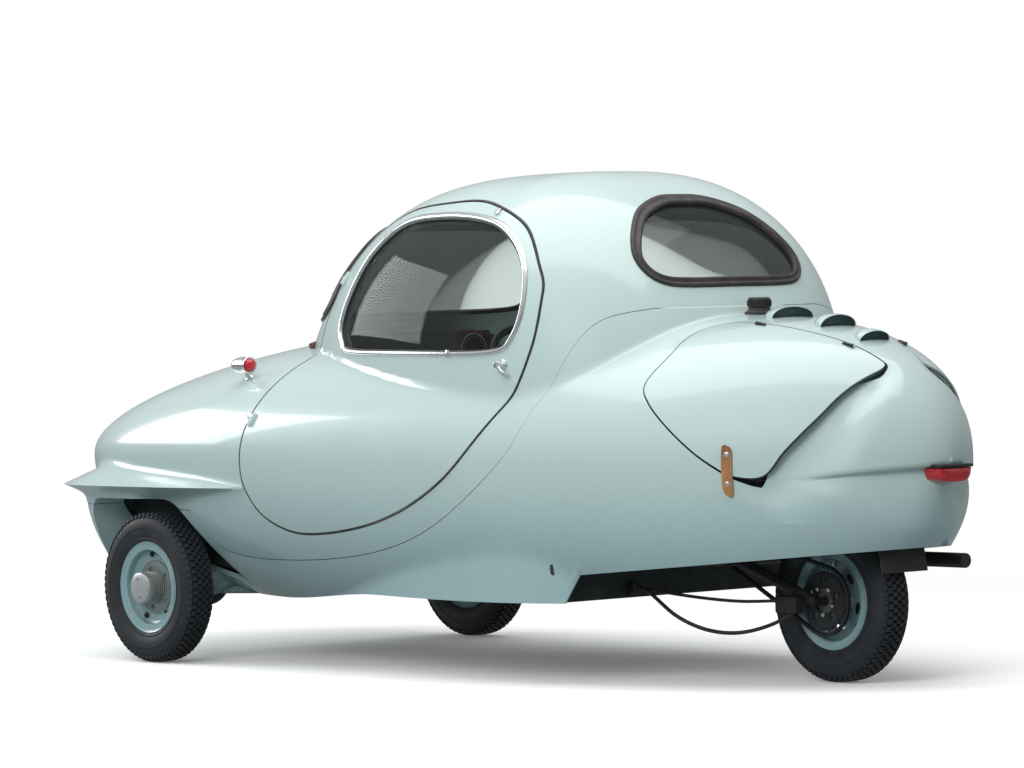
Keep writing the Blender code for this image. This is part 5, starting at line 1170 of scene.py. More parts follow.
def seam_prism(drop):
    line = open_curve(SEAM_LINE, 8) - np.array([0.0, drop])
    outline = [(NOSE_X + OVERRUN, FIN_SEAM_Z - drop)] + [tuple(point) for point in line]
    outline += [(TAIL_X - OVERRUN, line[-1][1]), (TAIL_X - OVERRUN, -OVERRUN), (NOSE_X + OVERRUN, -OVERRUN)]
    wide = POD_HALF_WIDTH + OVERRUN * 2
    return side_prism(outline, -wide, wide)


def body_cutters(count, hollows):
    wide = POD_HALF_WIDTH + 2.0 * OVERRUN
    opening = hatch_outline(count, HATCH_GAP)
    inward = unit(opening.mean(axis=0) - opening)
    opening = opening + inward * hollows.sill_pull(hatch_outline(count))[:, None]
    cutters = []
    for side in (1, -1):
        cutters += [side_prism(soft_line(ARCH_LINE, 0.045), side * WELL_INNER_Y, side * wide),
                    side_prism(door_outline(count, DOOR_GAP), side * DOOR_CUT_Y, side * wide),
                    slant_prism(opening, side)]
    for name, (_, _, _, _, start, way) in PANES.items():
        cutters.append(prism(pane_outline(name, count), *sorted((start, NOSE_X * way)), ENDWAYS))
    hole = HEADLAMP_RADIUS + FIT
    profile = [(0.0, HEADLAMP_BACK_X - OVERRUN), (hole, HEADLAMP_BACK_X - OVERRUN), (hole, NOSE_X + OVERRUN),
               (0.0, NOSE_X + OVERRUN)]
    cutters.append(lathe("cutter", None, profile, (0.0, 0.0, HEADLAMP_Z), "X"))
    return cutters


def deck_place(x):
    """The place on the deck's middle line."""
    return reach_skin(np.array([[x, 0.0, BELT_Z]]), np.array([[0.0, 0.0, 1.0]]), False, 1.0)[0]


def make_louvre(name, base, width, height, wall=0.0018):
    """A thin hood whose open mouth faces the tail."""
    def box(front, top):
        return block("cutter", None, (-width, -width, -width), (front, width, top), 0.0001, 1)

    shells = []
    for trim in (0.0, wall):
        arc = [math.pi * step / 16 for step in range(17)]
        profile = [(0.0, 1.0)] + [(math.sin(turn), math.cos(turn)) for turn in arc[1:-1]] + [(0.0, -1.0)]
        shell = lathe(name, "paint", profile, axis="X", sides=40)
        shell.data.transform(Matrix.Diagonal(((width - trim) * 0.45, width / 2.0 - trim, height - trim, 1.0)))
        shells.append(shell)
    hood, hollow = shells
    cut_away(hood, hollow, box(0.0, width), box(width, -0.008))
    # A dark sheet just inside each hood: painted shade in the mouth
    floor = lathe("mouth", "mouth", profile, axis="X", sides=40)
    floor.data.transform(Matrix.Diagonal((width * 0.45, width / 2.0 - wall * 0.5, height - wall * 0.5, 1.0)))
    cut_away(floor, box(0.0015, width), box(width, -0.006))
    slope = deck_place(base[0] + 0.05) - deck_place(base[0] - 0.05)
    lean = Matrix.Rotation(-math.atan2(slope[2], 0.1), 4, "Y")
    made = join([smooth(hood, 30.0), floor], name)
    return place_at(made, Matrix.Translation(Vector(base)) @ lean)


def hinge_frame(side):
    """The two hinge places of a door, the line between them and the skin's facing at each."""
    outline = np.array(HINGE_PLACES)
    points = side_project(side)(outline)
    facing = skin_normals(points, False)
    places = [Vector(point + 0.002 * out) for point, out in zip(points, facing)]
    return places, (places[1] - places[0]).normalized(), [Vector(out) for out in facing]


class CABINCAR_OT_body(bpy.types.Operator):
    """Build the two painted mouldings with their hollows, hinge arms and louvres"""

    bl_idname = "cabin_car.body"
    bl_label = "Body"

    def execute(self, context):
        sizes = context.scene.cabin_car.skin
        hollows = Hollows(sizes)
        shell = make_shell(sizes, hollows, "paint")
        cut_away(shell, *body_cutters(sizes.outline, hollows))
        below, lifted = seam_prism(0.0), seam_prism(sizes.seam)
        upper = boolean(copy_of(shell, "upper"), below)
        lower = boolean(copy_of(shell, "lower"), lifted, "INTERSECT")
        discard(shell, below, lifted)
        for part in (upper, lower):
            set_skin_normals(part, True, hollows)
        arms = []
        for side in (1, -1):
            places, along, facing = hinge_frame(side)
            for place, out in zip(places, facing):
                ahead = (out.cross(along) * side).normalized()
                raised = place + out * 0.004
                arms.append(pipe("arm", "paint", [raised + ahead * 0.0084, raised + ahead * 0.025,
                                                  place + ahead * 0.038 - out * 0.014], 0.0042, 10, 0.008))
        hoods = [make_louvre("louvre", deck_place(x), width, height) for x, width, height in LOUVRES]
        settle(join([upper, *arms], "upper_moulding"), "body", "body_upper", slot="paint")
        settle(join([lower, *hoods], "lower_moulding"), "body", "body_lower", slot="paint")
        return {"FINISHED"}


class CABINCAR_OT_doors(bpy.types.Operator):
    """Build both doors with their glass, trim, seal, handle and hinges"""

    bl_idname = "cabin_car.doors"
    bl_label = "Doors"

    def execute(self, context):
        count = context.scene.cabin_car.skin.outline
        for side, word in ((1, "left"), (-1, "right")):
            body, project = f"door_{word}", side_project(side)
            outer, opening = door_outline(count), window_outline(count)
            trim_edge = window_outline(count, TRIM_WIDTH)
            rings = [outer + (trim_edge - outer) * share for share in np.linspace(0.0, 1.0, 34)] + [opening]
            edge = [grown(outer, -0.0012)]
            depths = DOOR_EDGE + (DOOR_THICKNESS - DOOR_EDGE) * np.clip(np.arange(len(rings)) / 4.0, 0.0, 1.0)
            panel = skin_panel("panel", "paint", edge + rings[1:], project, 0.0, depths, hole=True)
            set_skin_normals(panel, False)
            inner = window_outline(count, -FIT)
            middle = inner.mean(axis=0)
            glass_rings = [middle + (inner - middle) * share
                           for share in (1.0, 0.9, 0.75, 0.6, 0.45, 0.3, 0.15)]
            glass = skin_panel("glass", "glass", glass_rings, project, PANE_FRONT, PANE_BACK)
            smooth(glass, 30.0)
            trim = self.trim(count, project)
            bead = band("bead", "rubber", opening, round_section(-0.0008, -0.0040, 0.0026), project)
            places, along, facing = hinge_frame(side)
            hinges = []
            for place, out in zip(places, facing):
                half = along * 0.018
                hinges.append(pipe("hinge", "paint", [place - half, place + half], 0.008, 24))
                hinges.append(pipe("pin", "chrome", [place - half * 1.06, place + half * 1.06], 0.003, 12))
                leaf = block("leaf", "paint", (-0.020, -0.014, -0.001), (0.002, 0.014, 0.003), 0.0012)
                hinges.append(place_at(leaf, aimed(place - out * 0.002, out, along)))
            settle(join([panel, *hinges], f"{body}_panel_skin"), body, f"{body}_panel", slot="paint")
            settle(join([glass], f"{body}_pane"), body, f"{body}_glass", slot="glass")
            settle(join([trim, bead], f"{body}_bright_trim"), body, f"{body}_window_trim", slot="bright")
            settle(self.handle(f"{body}_lock_handle", side), body, f"{body}_handle", slot="chrome")
            self.seal(count, project, word)
        return {"FINISHED"}

    def trim(self, count, project):
        """Bright frame of two lengths, with a clip over each joint."""
        section = [(0.000, 0.0010), (0.0008, 0.0036), (0.0032, 0.0058), (0.0065, 0.0062), (0.0098, 0.0052),
                   (0.0122, 0.0030), (0.0130, 0.0010)]
        frame_band = band("trim", "bright", window_outline(count), section, project)
        joints = []
        for x, z in ((-0.335, 1.149), (-0.290, 0.8065)):
            at, out = on_skin(project, (x, z))
            clip = block("clip", "bright", (-0.007, -0.0085, 0.0), (0.007, 0.0085, 0.0068), 0.0012)
            joints.append(place_at(clip, aimed(at, out)))
        return join([frame_band, *joints], "trim")

    def handle(self, name, side):
        """A lock barrel on a rose, with a short cranked grip that leans down and back."""
        at, out = on_skin(side_project(side), HANDLE_PLACE)
        rose = softened([(0.0, 0.0), (0.0142, 0.0), (0.0142, 0.002), (0.0105, 0.0048), (0.0072, 0.0052),
                         (0.0062, 0.019), (0.0085, 0.0205), (0.0085, 0.0285), (0.0, 0.0292)], 0.0012)
        knob = lathe("rose", "chrome", rose, axis="Z", sides=48)
        grip = pipe("grip", "chrome",
                    [(-0.003, 0.003, 0.0245), (0.014, -0.016, 0.0255), (0.023, -0.022, 0.0235)],
                    0.0046, 16, 0.01)
        tip = lathe("tip", "chrome", [(0.0, -0.005), (0.0052, -0.003), (0.0055, 0.003), (0.0, 0.006)],
                    (0.0232, -0.022, 0.0235), "Z", 20)
        # The key slot is a thin black strip: painted shade in the slot
        slot = block("slot", "black", (-0.0005, -0.003, 0.0288), (0.0005, 0.003, 0.0294), 0.0001, 1)
        return place_at(join([knob, grip, tip, slot], name), aimed(Vector(at) + Vector(out) * FIT, out))

    def seal(self, count, project, word):
        """Rubber in the gap round the door, fullest behind it."""
        outline = grown(door_outline(count), 0.0028)
        rear = ease((0.12 - outline[:, 0]) / 0.35)
        low = ease((0.55 - outline[:, 1]) / 0.2) * (1.0 - rear)
        weights = 0.35 + 0.65 * rear + 0.15 * low
        points = project(outline)
        facing = skin_normals(points, False)
        across = unit(np.cross(np.roll(points, -1, axis=0) - np.roll(points, 1, axis=0), facing))
        vertices, faces = [], []
        sides = 10
        for k in range(sides):
            turn = math.tau * k / sides
            reach = 0.0031 * weights
            lift = -0.0022 + 0.0012 * rear
            vertices += list(points + (reach * math.cos(turn))[:, None] * across
                             + (reach * 1.25 * math.sin(turn) + lift)[:, None] * facing)
        for k in range(sides):
            faces += ring_faces(k * count, (k + 1) % sides * count, count)
        tube = smooth(face_outwards(new_piece(f"door_{word}_seal", vertices, faces, "rubber")))
        settle(tube, "body", slot="rubber")


class CABINCAR_OT_hatches(bpy.types.Operator):
    """Build both tail hatches with their hinges, seals and studded straps"""

    bl_idname = "cabin_car.hatches"
    bl_label = "Hatches"

    def execute(self, context):
        count = context.scene.cabin_car.skin.outline
        for side, word in ((1, "left"), (-1, "right")):
            body, project = f"hatch_{word}", slant_project(side)
            outer = hatch_outline(count)
            middle = outer.mean(axis=0)
            rings = [middle + (outer - middle) * share for share in np.linspace(1.0, 0.04, 26)]
            panel = skin_panel("panel", "paint", rings, project, 0.0, HATCH_THICKNESS)
            set_skin_normals(panel, False)
            parts = [panel]
            hinge_at = project(np.array(HATCH_HINGE_PLACES))
            facing = skin_normals(hinge_at, False)
            along = Vector(unit(hinge_at[0] - hinge_at[1]))
            for at, out in zip(hinge_at, facing):
                place = Vector(at + 0.002 * out)
                parts.append(pipe("hinge", "dark_metal", [place - along * 0.015, place + along * 0.015],
                                  0.0048, 14))
                for step in (-1, 1):
                    parts.append(pipe("knuckle", "chrome", [place + along * step * 0.0155,
                                                            place + along * step * 0.018], 0.0028, 10))
            settle(join(parts, f"{body}_lid"), body, f"{body}_panel", slot="paint")
            lip = band(f"{body}_seal", "rubber", outer, round_section(0.0014, -0.0062, 0.0012), project)
            settle(lip, "body", slot="rubber")
            settle(self.strap(f"{body}_leather_strap", side), body, f"{body}_strap", slot="leather")
        return {"FINISHED"}

    def strap(self, name, side):
        """A stitched strap laid over the gap, with a domed stud near each end."""
        project = slant_project(side)
        low, high = STRAP_RISES
        half, steps = STRAP_WIDTH / 2.0, 24
        rises = np.linspace(low - 0.006, high + 0.006, steps + 1)
        end = np.clip(np.minimum(rises - rises[0], rises[-1] - rises) / half, 0.0, 1.0)
        widths = half * np.sqrt(1.0 - (1.0 - end) ** 2 * 0.75)
        columns = 7
        layers = []
        for lift in (0.0036, 0.0004):
            grid = []
            for column in range(columns):
                share = column / (columns - 1) * 2.0 - 1.0
                points = project(np.stack([STRAP_X + widths * share, rises], -1))
                crown = 0.0008 * (1.0 - share ** 2) if lift > 0.001 else 0.0
                grid.append(points + (lift + crown) * skin_normals(points, False))
            layers.append(np.array(grid))
        vertices = [point for layer in layers for row in layer for point in row]
        size, run = columns * (steps + 1), steps + 1
        faces = []
        for base in (0, size):
            faces += [(base + c * run + r, base + (c + 1) * run + r, base + (c + 1) * run + r + 1,
                       base + c * run + r + 1)
                      for c in range(columns - 1) for r in range(steps)]
        border = [r for r in range(run)] + [c * run + steps for c in range(1, columns)]
        border += [(columns - 1) * run + r for r in range(steps - 1, -1, -1)]
        border += [c * run for c in range(columns - 2, 0, -1)]
        faces += [(a, b, b + size, a + size) for a, b in zip(border, border[1:] + border[:1])]
        leather = smooth(face_outwards(new_piece("leather", vertices, faces, "leather")), 50.0)
        studs = []
        for rise in (low + 0.012, high - 0.010):
            at, out = on_skin(project, (STRAP_X, rise))
            dome = [(0.0, 0.0), (0.0062, 0.0), (0.0062, 0.0008), (0.0050, 0.0022), (0.0030, 0.0033),
                    (0.0, 0.0038)]
            stud = lathe("stud", "chrome", dome, axis="Z", sides=28)
            studs.append(place_at(stud, aimed(Vector(at) + Vector(out) * 0.0040, out)))
        stitches = []
        thread = block("thread", None, (-0.0016, -0.0004, -0.0003), (0.0016, 0.0004, 0.0004), 0.0001, 1)
        for share in (-0.78, 0.78):
            inside = slice(3, -3)
            points = project(np.stack([STRAP_X + widths[inside] * share, rises[inside]], -1))
            points = points + 0.0042 * skin_normals(points, False)
            stitches.append(stitched(points, thread, 14, keep=True))
        discard(thread)
        return join([leather, *studs, *stitches], name)


def stitched(points, thread, count, name="stitches", material="pale", keep=False):
    """Threads set along a line of points."""
    carrier = new_piece(name, points, [], edges=[(k, k + 1) for k in range(len(points) - 1)])
    return repeat(name, "path", thread, material, carrier, keep, Count=count)


class CABINCAR_OT_windows(bpy.types.Operator):
    """Build the rear window, the windscreen and its wiper"""

    bl_idname = "cabin_car.windows"
    bl_label = "Windows"

    def execute(self, context):
        count = context.scene.cabin_car.skin.outline
        # Two rounded ridges with a groove between them
        ridge = [(-0.0118, -0.0040), (-0.0118, 0.0040), (-0.0100, 0.0070), (-0.0070, 0.0084),
                 (-0.0040, 0.0072), (-0.0012, 0.0046), (0.0012, 0.0046), (0.0042, 0.0068), (0.0070, 0.0076),
                 (0.0100, 0.0052), (0.0118, 0.0010), (0.0118, 0.0003), (0.0006, 0.0003), (-0.0006, -0.0040)]
        for name, (_, _, _, _, _, way) in PANES.items():
            project = pane_project(name)
            gasket = band(f"{name}_rubber_gasket", "rubber", pane_outline(name, count), ridge, project,
                          angle=60.0)
            settle(gasket, "body", f"{name}_gasket", slot="rubber")
            edge = pane_outline(name, count, -FIT)
            middle = edge.mean(axis=0)
            rings = [middle + (edge - middle) * share
                     for share in (1.0, 0.9, 0.78, 0.65, 0.52, 0.4, 0.28, 0.14)]
            pane = skin_panel(f"{name}_pane", "glass", rings, project, PANE_FRONT, PANE_BACK,
                              way=(way, 0.0, 0.0))
            settle(smooth(pane, 30.0), "body", f"{name}_glass", slot="glass")
        settle(self.wiper(), "body", slot="black")
        return {"FINISHED"}

    def wiper(self):
        """Arm from a post at the foot of the screen to a blade that lies along it."""
        project = pane_project("windscreen")

        def on_glass(y, z, lift):
            at, out = on_skin(project, (y, z))
            return Vector(at + lift * out)

        post, rest = (0.055, 0.872), (0.190, 0.938)
        blade = [on_glass(0.075 + 0.215 * t, 0.921 + 0.032 * t, 0.005) for t in np.linspace(0.0, 1.0, 12)]
        spine = [on_glass(0.085 + 0.195 * t, 0.923 + 0.029 * t, 0.0105) for t in np.linspace(0.0, 1.0, 12)]
        arm = [on_glass(post[0] + (rest[0] - post[0]) * t, post[1] + (rest[1] - post[1]) * t,
                        0.010 + 0.012 * math.sin(math.pi * t))
               for t in np.linspace(0.0, 1.0, 10)]
        base = on_glass(*post, 0.0)
        out = Vector(skin_normals(np.array([base]), False)[0])
        stem = lathe("stem", "chrome",
                     softened([(0.0, -0.002), (0.010, -0.002), (0.010, 0.004), (0.006, 0.006),
                               (0.006, 0.012), (0.0, 0.014)], 0.001), axis="Z", sides=28)
        parts = [place_at(stem, aimed(base, out)), pipe("blade", "rubber", blade, 0.0022, 8),
                 pipe("spine", "bright", spine, 0.0018, 8), pipe("arm", "bright", arm, 0.0026, 10),
                 pipe("clip", "chrome", [arm[-1], on_glass(*rest, 0.0105)], 0.0040, 10)]
        return join(parts, "wiper")


# Wheels

def tread_block(length, width, height, taper=0.86, corners=4):
    """A tapered block standing on z = 0, four- or six-cornered, in a few faces."""
    if corners == 6:
        outline = [(0.5, 0.0), (0.25, 0.5), (-0.25, 0.5), (-0.5, 0.0), (-0.25, -0.5), (0.25, -0.5)]
    else:
        outline = [(0.5, -0.5), (0.5, 0.5), (-0.5, 0.5), (-0.5, -0.5)]
    vertices = []
    for up, share in ((-0.3, 1.0), (0.8, 0.97), (1.0, taper)):
        vertices += [(x * length * share, y * width * share, up * height) for x, y in outline]
    faces = [tuple(range(corners)), tuple(range(2 * corners, 3 * corners))]
    faces += ring_faces(0, corners, corners) + ring_faces(corners, 2 * corners, corners)
    return face_outwards(new_piece("tread", vertices, faces))


def tyre_piece(name, sizes, hexagonal):
    """Carcass with ribbed walls, and rows of blocks round it."""
    ground = sizes.radius - sizes.tread
    wall = [(0.1013, 0.0315), (0.1190, 0.0318), (0.1225, 0.0355), (0.1260, 0.0368), (0.1272, 0.0385),
            (0.1290, 0.0385), (0.1302, 0.0376), (0.1400, 0.0415), (0.1500, 0.0436), (0.1560, 0.0438),
            (0.1568, 0.0450), (0.1592, 0.0450), (0.1600, 0.0436), (0.1680, 0.0428), (0.1760, 0.0405),
            (0.1830, 0.0372), (0.1880, 0.0335), (ground, 0.0290), (ground + 0.0006, 0.0150),
            (ground + 0.0008, 0.0)]
    profile = wall + [(radius, -along) for radius, along in reversed(wall[:-1])]
    parts = [lathe("carcass", "tyre", profile, sides=144, angle=28.0)]
    pitch = math.tau * sizes.radius / sizes.blocks
    if hexagonal:
        rows = ((0.0, 0.0, 0.80, 0.0125, 6), (0.0125, 0.5, 0.84, 0.0140, 6), (-0.0125, 0.5, 0.84, 0.0140, 6),
                (0.0245, 0.0, 0.74, 0.0115, 4), (-0.0245, 0.0, 0.74, 0.0115, 4))
    else:
        rows = ((0.0, 0.0, 0.70, 0.0105, 6), (0.0115, 0.5, 0.66, 0.0095, 4), (-0.0115, 0.5, 0.66, 0.0095, 4),
                (0.0235, 0.0, 0.60, 0.0125, 4), (-0.0235, 0.0, 0.60, 0.0125, 4))
    for across, shift, share, width, corners in rows:
        sink = 0.0006 if abs(across) < 0.02 else 0.0016
        shape = tread_block(pitch * share, width, sizes.tread, corners=corners)
        parts.append(repeat("row", "ring", shape, "tyre", Count=sizes.blocks, Radius=ground - sink + 0.0004,
                            Across=across, Shift=shift, Lean=-across * 6.0))
    shoulder = tread_block(pitch * 0.60, 0.0105, 0.0042, 0.8)
    for way in (1, -1):
        parts.append(repeat("shoulder", "ring", shoulder, "tyre", keep=way > 0, Count=sizes.blocks,
                            Radius=0.1862, Across=0.0338 * way, Shift=0.5, Lean=-0.95 * way))
    return join(parts, name)


def rim_piece(name, side, holes):
    """Deep flanged rim whose disc is pierced by the given number of holes; the nuts and valve are added by
    the callers.
    """
    rolled = [(0.1190, 0.0360), (0.1205, 0.0340), (0.1200, 0.0318), (0.1180, 0.0312), (0.1020, 0.0306),
              (0.1008, 0.0290)]
    back = [(0.1008, -0.0290), (0.1020, -0.0306), (0.1180, -0.0312), (0.1200, -0.0318), (0.1205, -0.0340),
            (0.1190, -0.0360)]
    inner = [(0.1172, -0.0352), (0.1150, -0.0335), (0.1000, -0.0328), (0.0975, -0.0300), (0.0972, -0.0040),
             (0.0940, -0.0006), (0.0860, 0.0018), (0.0560, 0.0018), (0.0300, 0.0020), (0.0300, 0.0060),
             (0.0560, 0.0060), (0.0860, 0.0062), (0.0935, 0.0085), (0.0970, 0.0120), (0.0975, 0.0300),
             (0.1000, 0.0328), (0.1150, 0.0335), (0.1172, 0.0352)]
    rim = lathe(name, "wheel", sided(rolled + back + inner, side), sides=120, angle=40.0)
    if holes:
        for k in range(holes):
            turn = math.tau * (k + 0.5) / holes
            spot = (0.062 * math.sin(turn), 0.062 * math.cos(turn))
            outline = [(spot[0] + 0.016 * math.cos(a) * math.cos(turn) + 0.010 * math.sin(a) * math.sin(turn),
                        spot[1] - 0.016 * math.cos(a) * math.sin(turn) + 0.010 * math.sin(a) * math.cos(turn))
                       for a in (math.tau * n / 28 for n in range(28))]
            cut_away(rim, side_prism(outline, -0.03, 0.03))
        smooth(rim, 40.0)
    return rim


def standing_ring(shape, material, count, radius, along, side, shift=0.0):
    """Copies of a piece that stands on z = 0, set on a face square to the axle."""
    shape.data.transform(Matrix.Rotation(-math.pi / 2.0 * side, 4, "X"))
    return repeat("ring", "ring", shape, material, Count=count, Radius=radius, Across=along * side,
                  Shift=shift, Lean=0.0)


def front_hub_piece(name, side, sizes):
    """Finned hub cap on a drum face with its studs."""
    start, pitch = 0.0120, 0.0300 / sizes.fins
    core, rim = 0.0265, 0.0400
    profile = [(0.0, 0.0063), (0.0360, 0.0063), (0.0360, 0.0095), (core, 0.0110)]
    for fin in range(sizes.fins):
        at = start + fin * pitch
        profile += [(core, at), (rim - 0.0004, at), (rim, at + 0.0004), (rim, at + 0.0016),
                    (rim - 0.0004, at + 0.0020), (core, at + 0.0020)]
    at = start + sizes.fins * pitch
    profile += [(core, at), (rim + 0.0003, at), (rim + 0.0008, at + 0.0010), (rim + 0.0008, 0.0590),
                (rim - 0.0006, 0.0615), (rim - 0.0040, 0.0632), (0.0240, 0.0643), (0.0120, 0.0648),
                (0.0, 0.0650)]
    cap = lathe(name, "alloy", sided(profile, side), sides=96, angle=32.0)
    hole = sided([(0.0, 0.05), (0.0026, 0.05), (0.0026, 0.08), (0.0, 0.08)], side)
    for x, z in SCREW_PLACES:
        cut_away(cap, lathe("cutter", None, hole, (x, 0.0, z), sides=20))
    parts = [smooth(cap, 32.0)]
    screw = sided([(0.0, 0.058), (0.0024, 0.058), (0.0022, 0.0618), (0.0, 0.0620)], side)
    for x, z in SCREW_PLACES:
        parts.append(lathe("screw", "dark_metal", screw, (x, 0.0, z), sides=16))
    face = [(0.0, 0.0066), (0.0700, 0.0066), (0.0705, 0.0080), (0.0700, 0.0096), (0.0640, 0.0100),
            (0.0600, 0.0112), (0.0440, 0.0116), (0.0400, 0.0100), (0.0, 0.0100)]
    parts.append(lathe("face", "drum", sided(face, side), sides=96))
    drum = softened([(0.0108, -0.0300), (0.0700, -0.0300), (0.0700, -0.0002), (0.0108, -0.0002)], 0.002)
    parts.append(lathe("drum", "drum", sided(drum, side), sides=72))
    parts.append(standing_ring(hex_nut(0.0050, 0.0062), "drum", 5, 0.0535, 0.0112, side, 0.3))
    return join(parts, name)


def move_to(thing, centre):
    return place_at(thing, Matrix.Translation(Vector(centre)))


class CABINCAR_OT_wheels(bpy.types.Operator):
    """Build the tyres, rims, hubs and the rear sprocket"""

    bl_idname = "cabin_car.wheels"
    bl_label = "Wheels"

    def execute(self, context):
        sizes = context.scene.cabin_car.wheels
        for side, word in ((1, "left"), (-1, "right")):
            centre, body = (FRONT_AXLE_X, side * TRACK / 2.0, AXLE_Z), f"wheel_front_{word}"
            settle(move_to(tyre_piece(f"front_{word}_tread", sizes, False), centre), body,
                   f"front_{word}_tyre", slot="tyre")
            rim = rim_piece("rim", side, 0)
            nuts = standing_ring(hex_nut(0.0068, 0.0080), "dark_metal", sizes.nuts, NUT_CIRCLE, NUT_FACE,
                                 side, 0.1)
            washers = standing_ring(screw_head(0.0105, 0.0014), "wheel", sizes.nuts, NUT_CIRCLE, 0.0062, side,
                                    0.1)
            valve = [pipe("valve", "rubber", [(-0.060, 0.006 * side, -0.064), (-0.058, 0.026 * side, -0.062)],
                          0.0040, 14),
                     pipe("valve cap", "bright",
                          [(-0.0582, 0.024 * side, -0.0622), (-0.0575, 0.034 * side, -0.0615)], 0.0030, 12)]
            whole = join([rim, nuts, washers, *valve], f"front_{word}_deep_rim")
            settle(move_to(whole, centre), body, f"front_{word}_rim", slot="wheel")
            hub = front_hub_piece(f"front_{word}_finned_hub", side, sizes)
            settle(move_to(hub, centre), body, f"front_{word}_hub", slot="alloy")
        self.rear(sizes)
        return {"FINISHED"}

    def rear(self, sizes):
        centre = (REAR_AXLE_X, 0.0, AXLE_Z)
        settle(move_to(tyre_piece("rear_tread", sizes, True), centre), "wheel_rear", "rear_tyre", slot="tyre")
        rim = rim_piece("rim", 1, 5)
        nuts = standing_ring(hex_nut(0.0068, 0.0075), "bright", 5, NUT_CIRCLE, NUT_FACE, 1, 0.1)
        settle(move_to(join([rim, nuts], "rear_pierced_rim"), centre), "wheel_rear", "rear_rim", slot="wheel")
        drum = softened([(0.0108, -0.0440), (0.0660, -0.0440), (0.0660, -0.0110), (0.0360, -0.0110),
                         (0.0360, 0.0017), (0.0296, 0.0017), (0.0296, 0.0064), (0.0360, 0.0064),
                         (0.0360, 0.0200), (0.0300, 0.0240), (0.0300, 0.0440), (0.0420, 0.0480),
                         (0.0420, 0.0540), (0.0108, 0.0540)], 0.0012, 2)
        plate = [(0.0300, 0.0545), (0.0660, 0.0545), (0.0660, 0.0595), (0.0300, 0.0595)]
        parts = [lathe("drum", "casting", drum, sides=72), lathe("plate", "dark_metal", plate, sides=96)]
        for k in range(5):
            turn = math.tau * k / 5
            cut_away(parts[1], lathe("cutter", None, [(0.0, 0.04), (0.010, 0.04), (0.010, 0.07), (0.0, 0.07)],
                                     (0.047 * math.sin(turn), 0.0, 0.047 * math.cos(turn)), sides=28))
        smooth(parts[1], 30.0)
        tooth = tread_block(0.0085, 0.0048, 0.0068, 0.35)
        parts.append(repeat("teeth", "ring", tooth, "dark_metal", Count=34, Radius=0.0650, Across=0.0570))
        parts.append(standing_ring(hex_nut(0.0050, 0.0060), "bright", 5, 0.0330, 0.0595, 1, 0.5))
        settle(move_to(join(parts, "rear_drum_and_sprocket"), centre), "wheel_rear", "rear_hub",
               slot="dark_metal")


# Lamps and deck

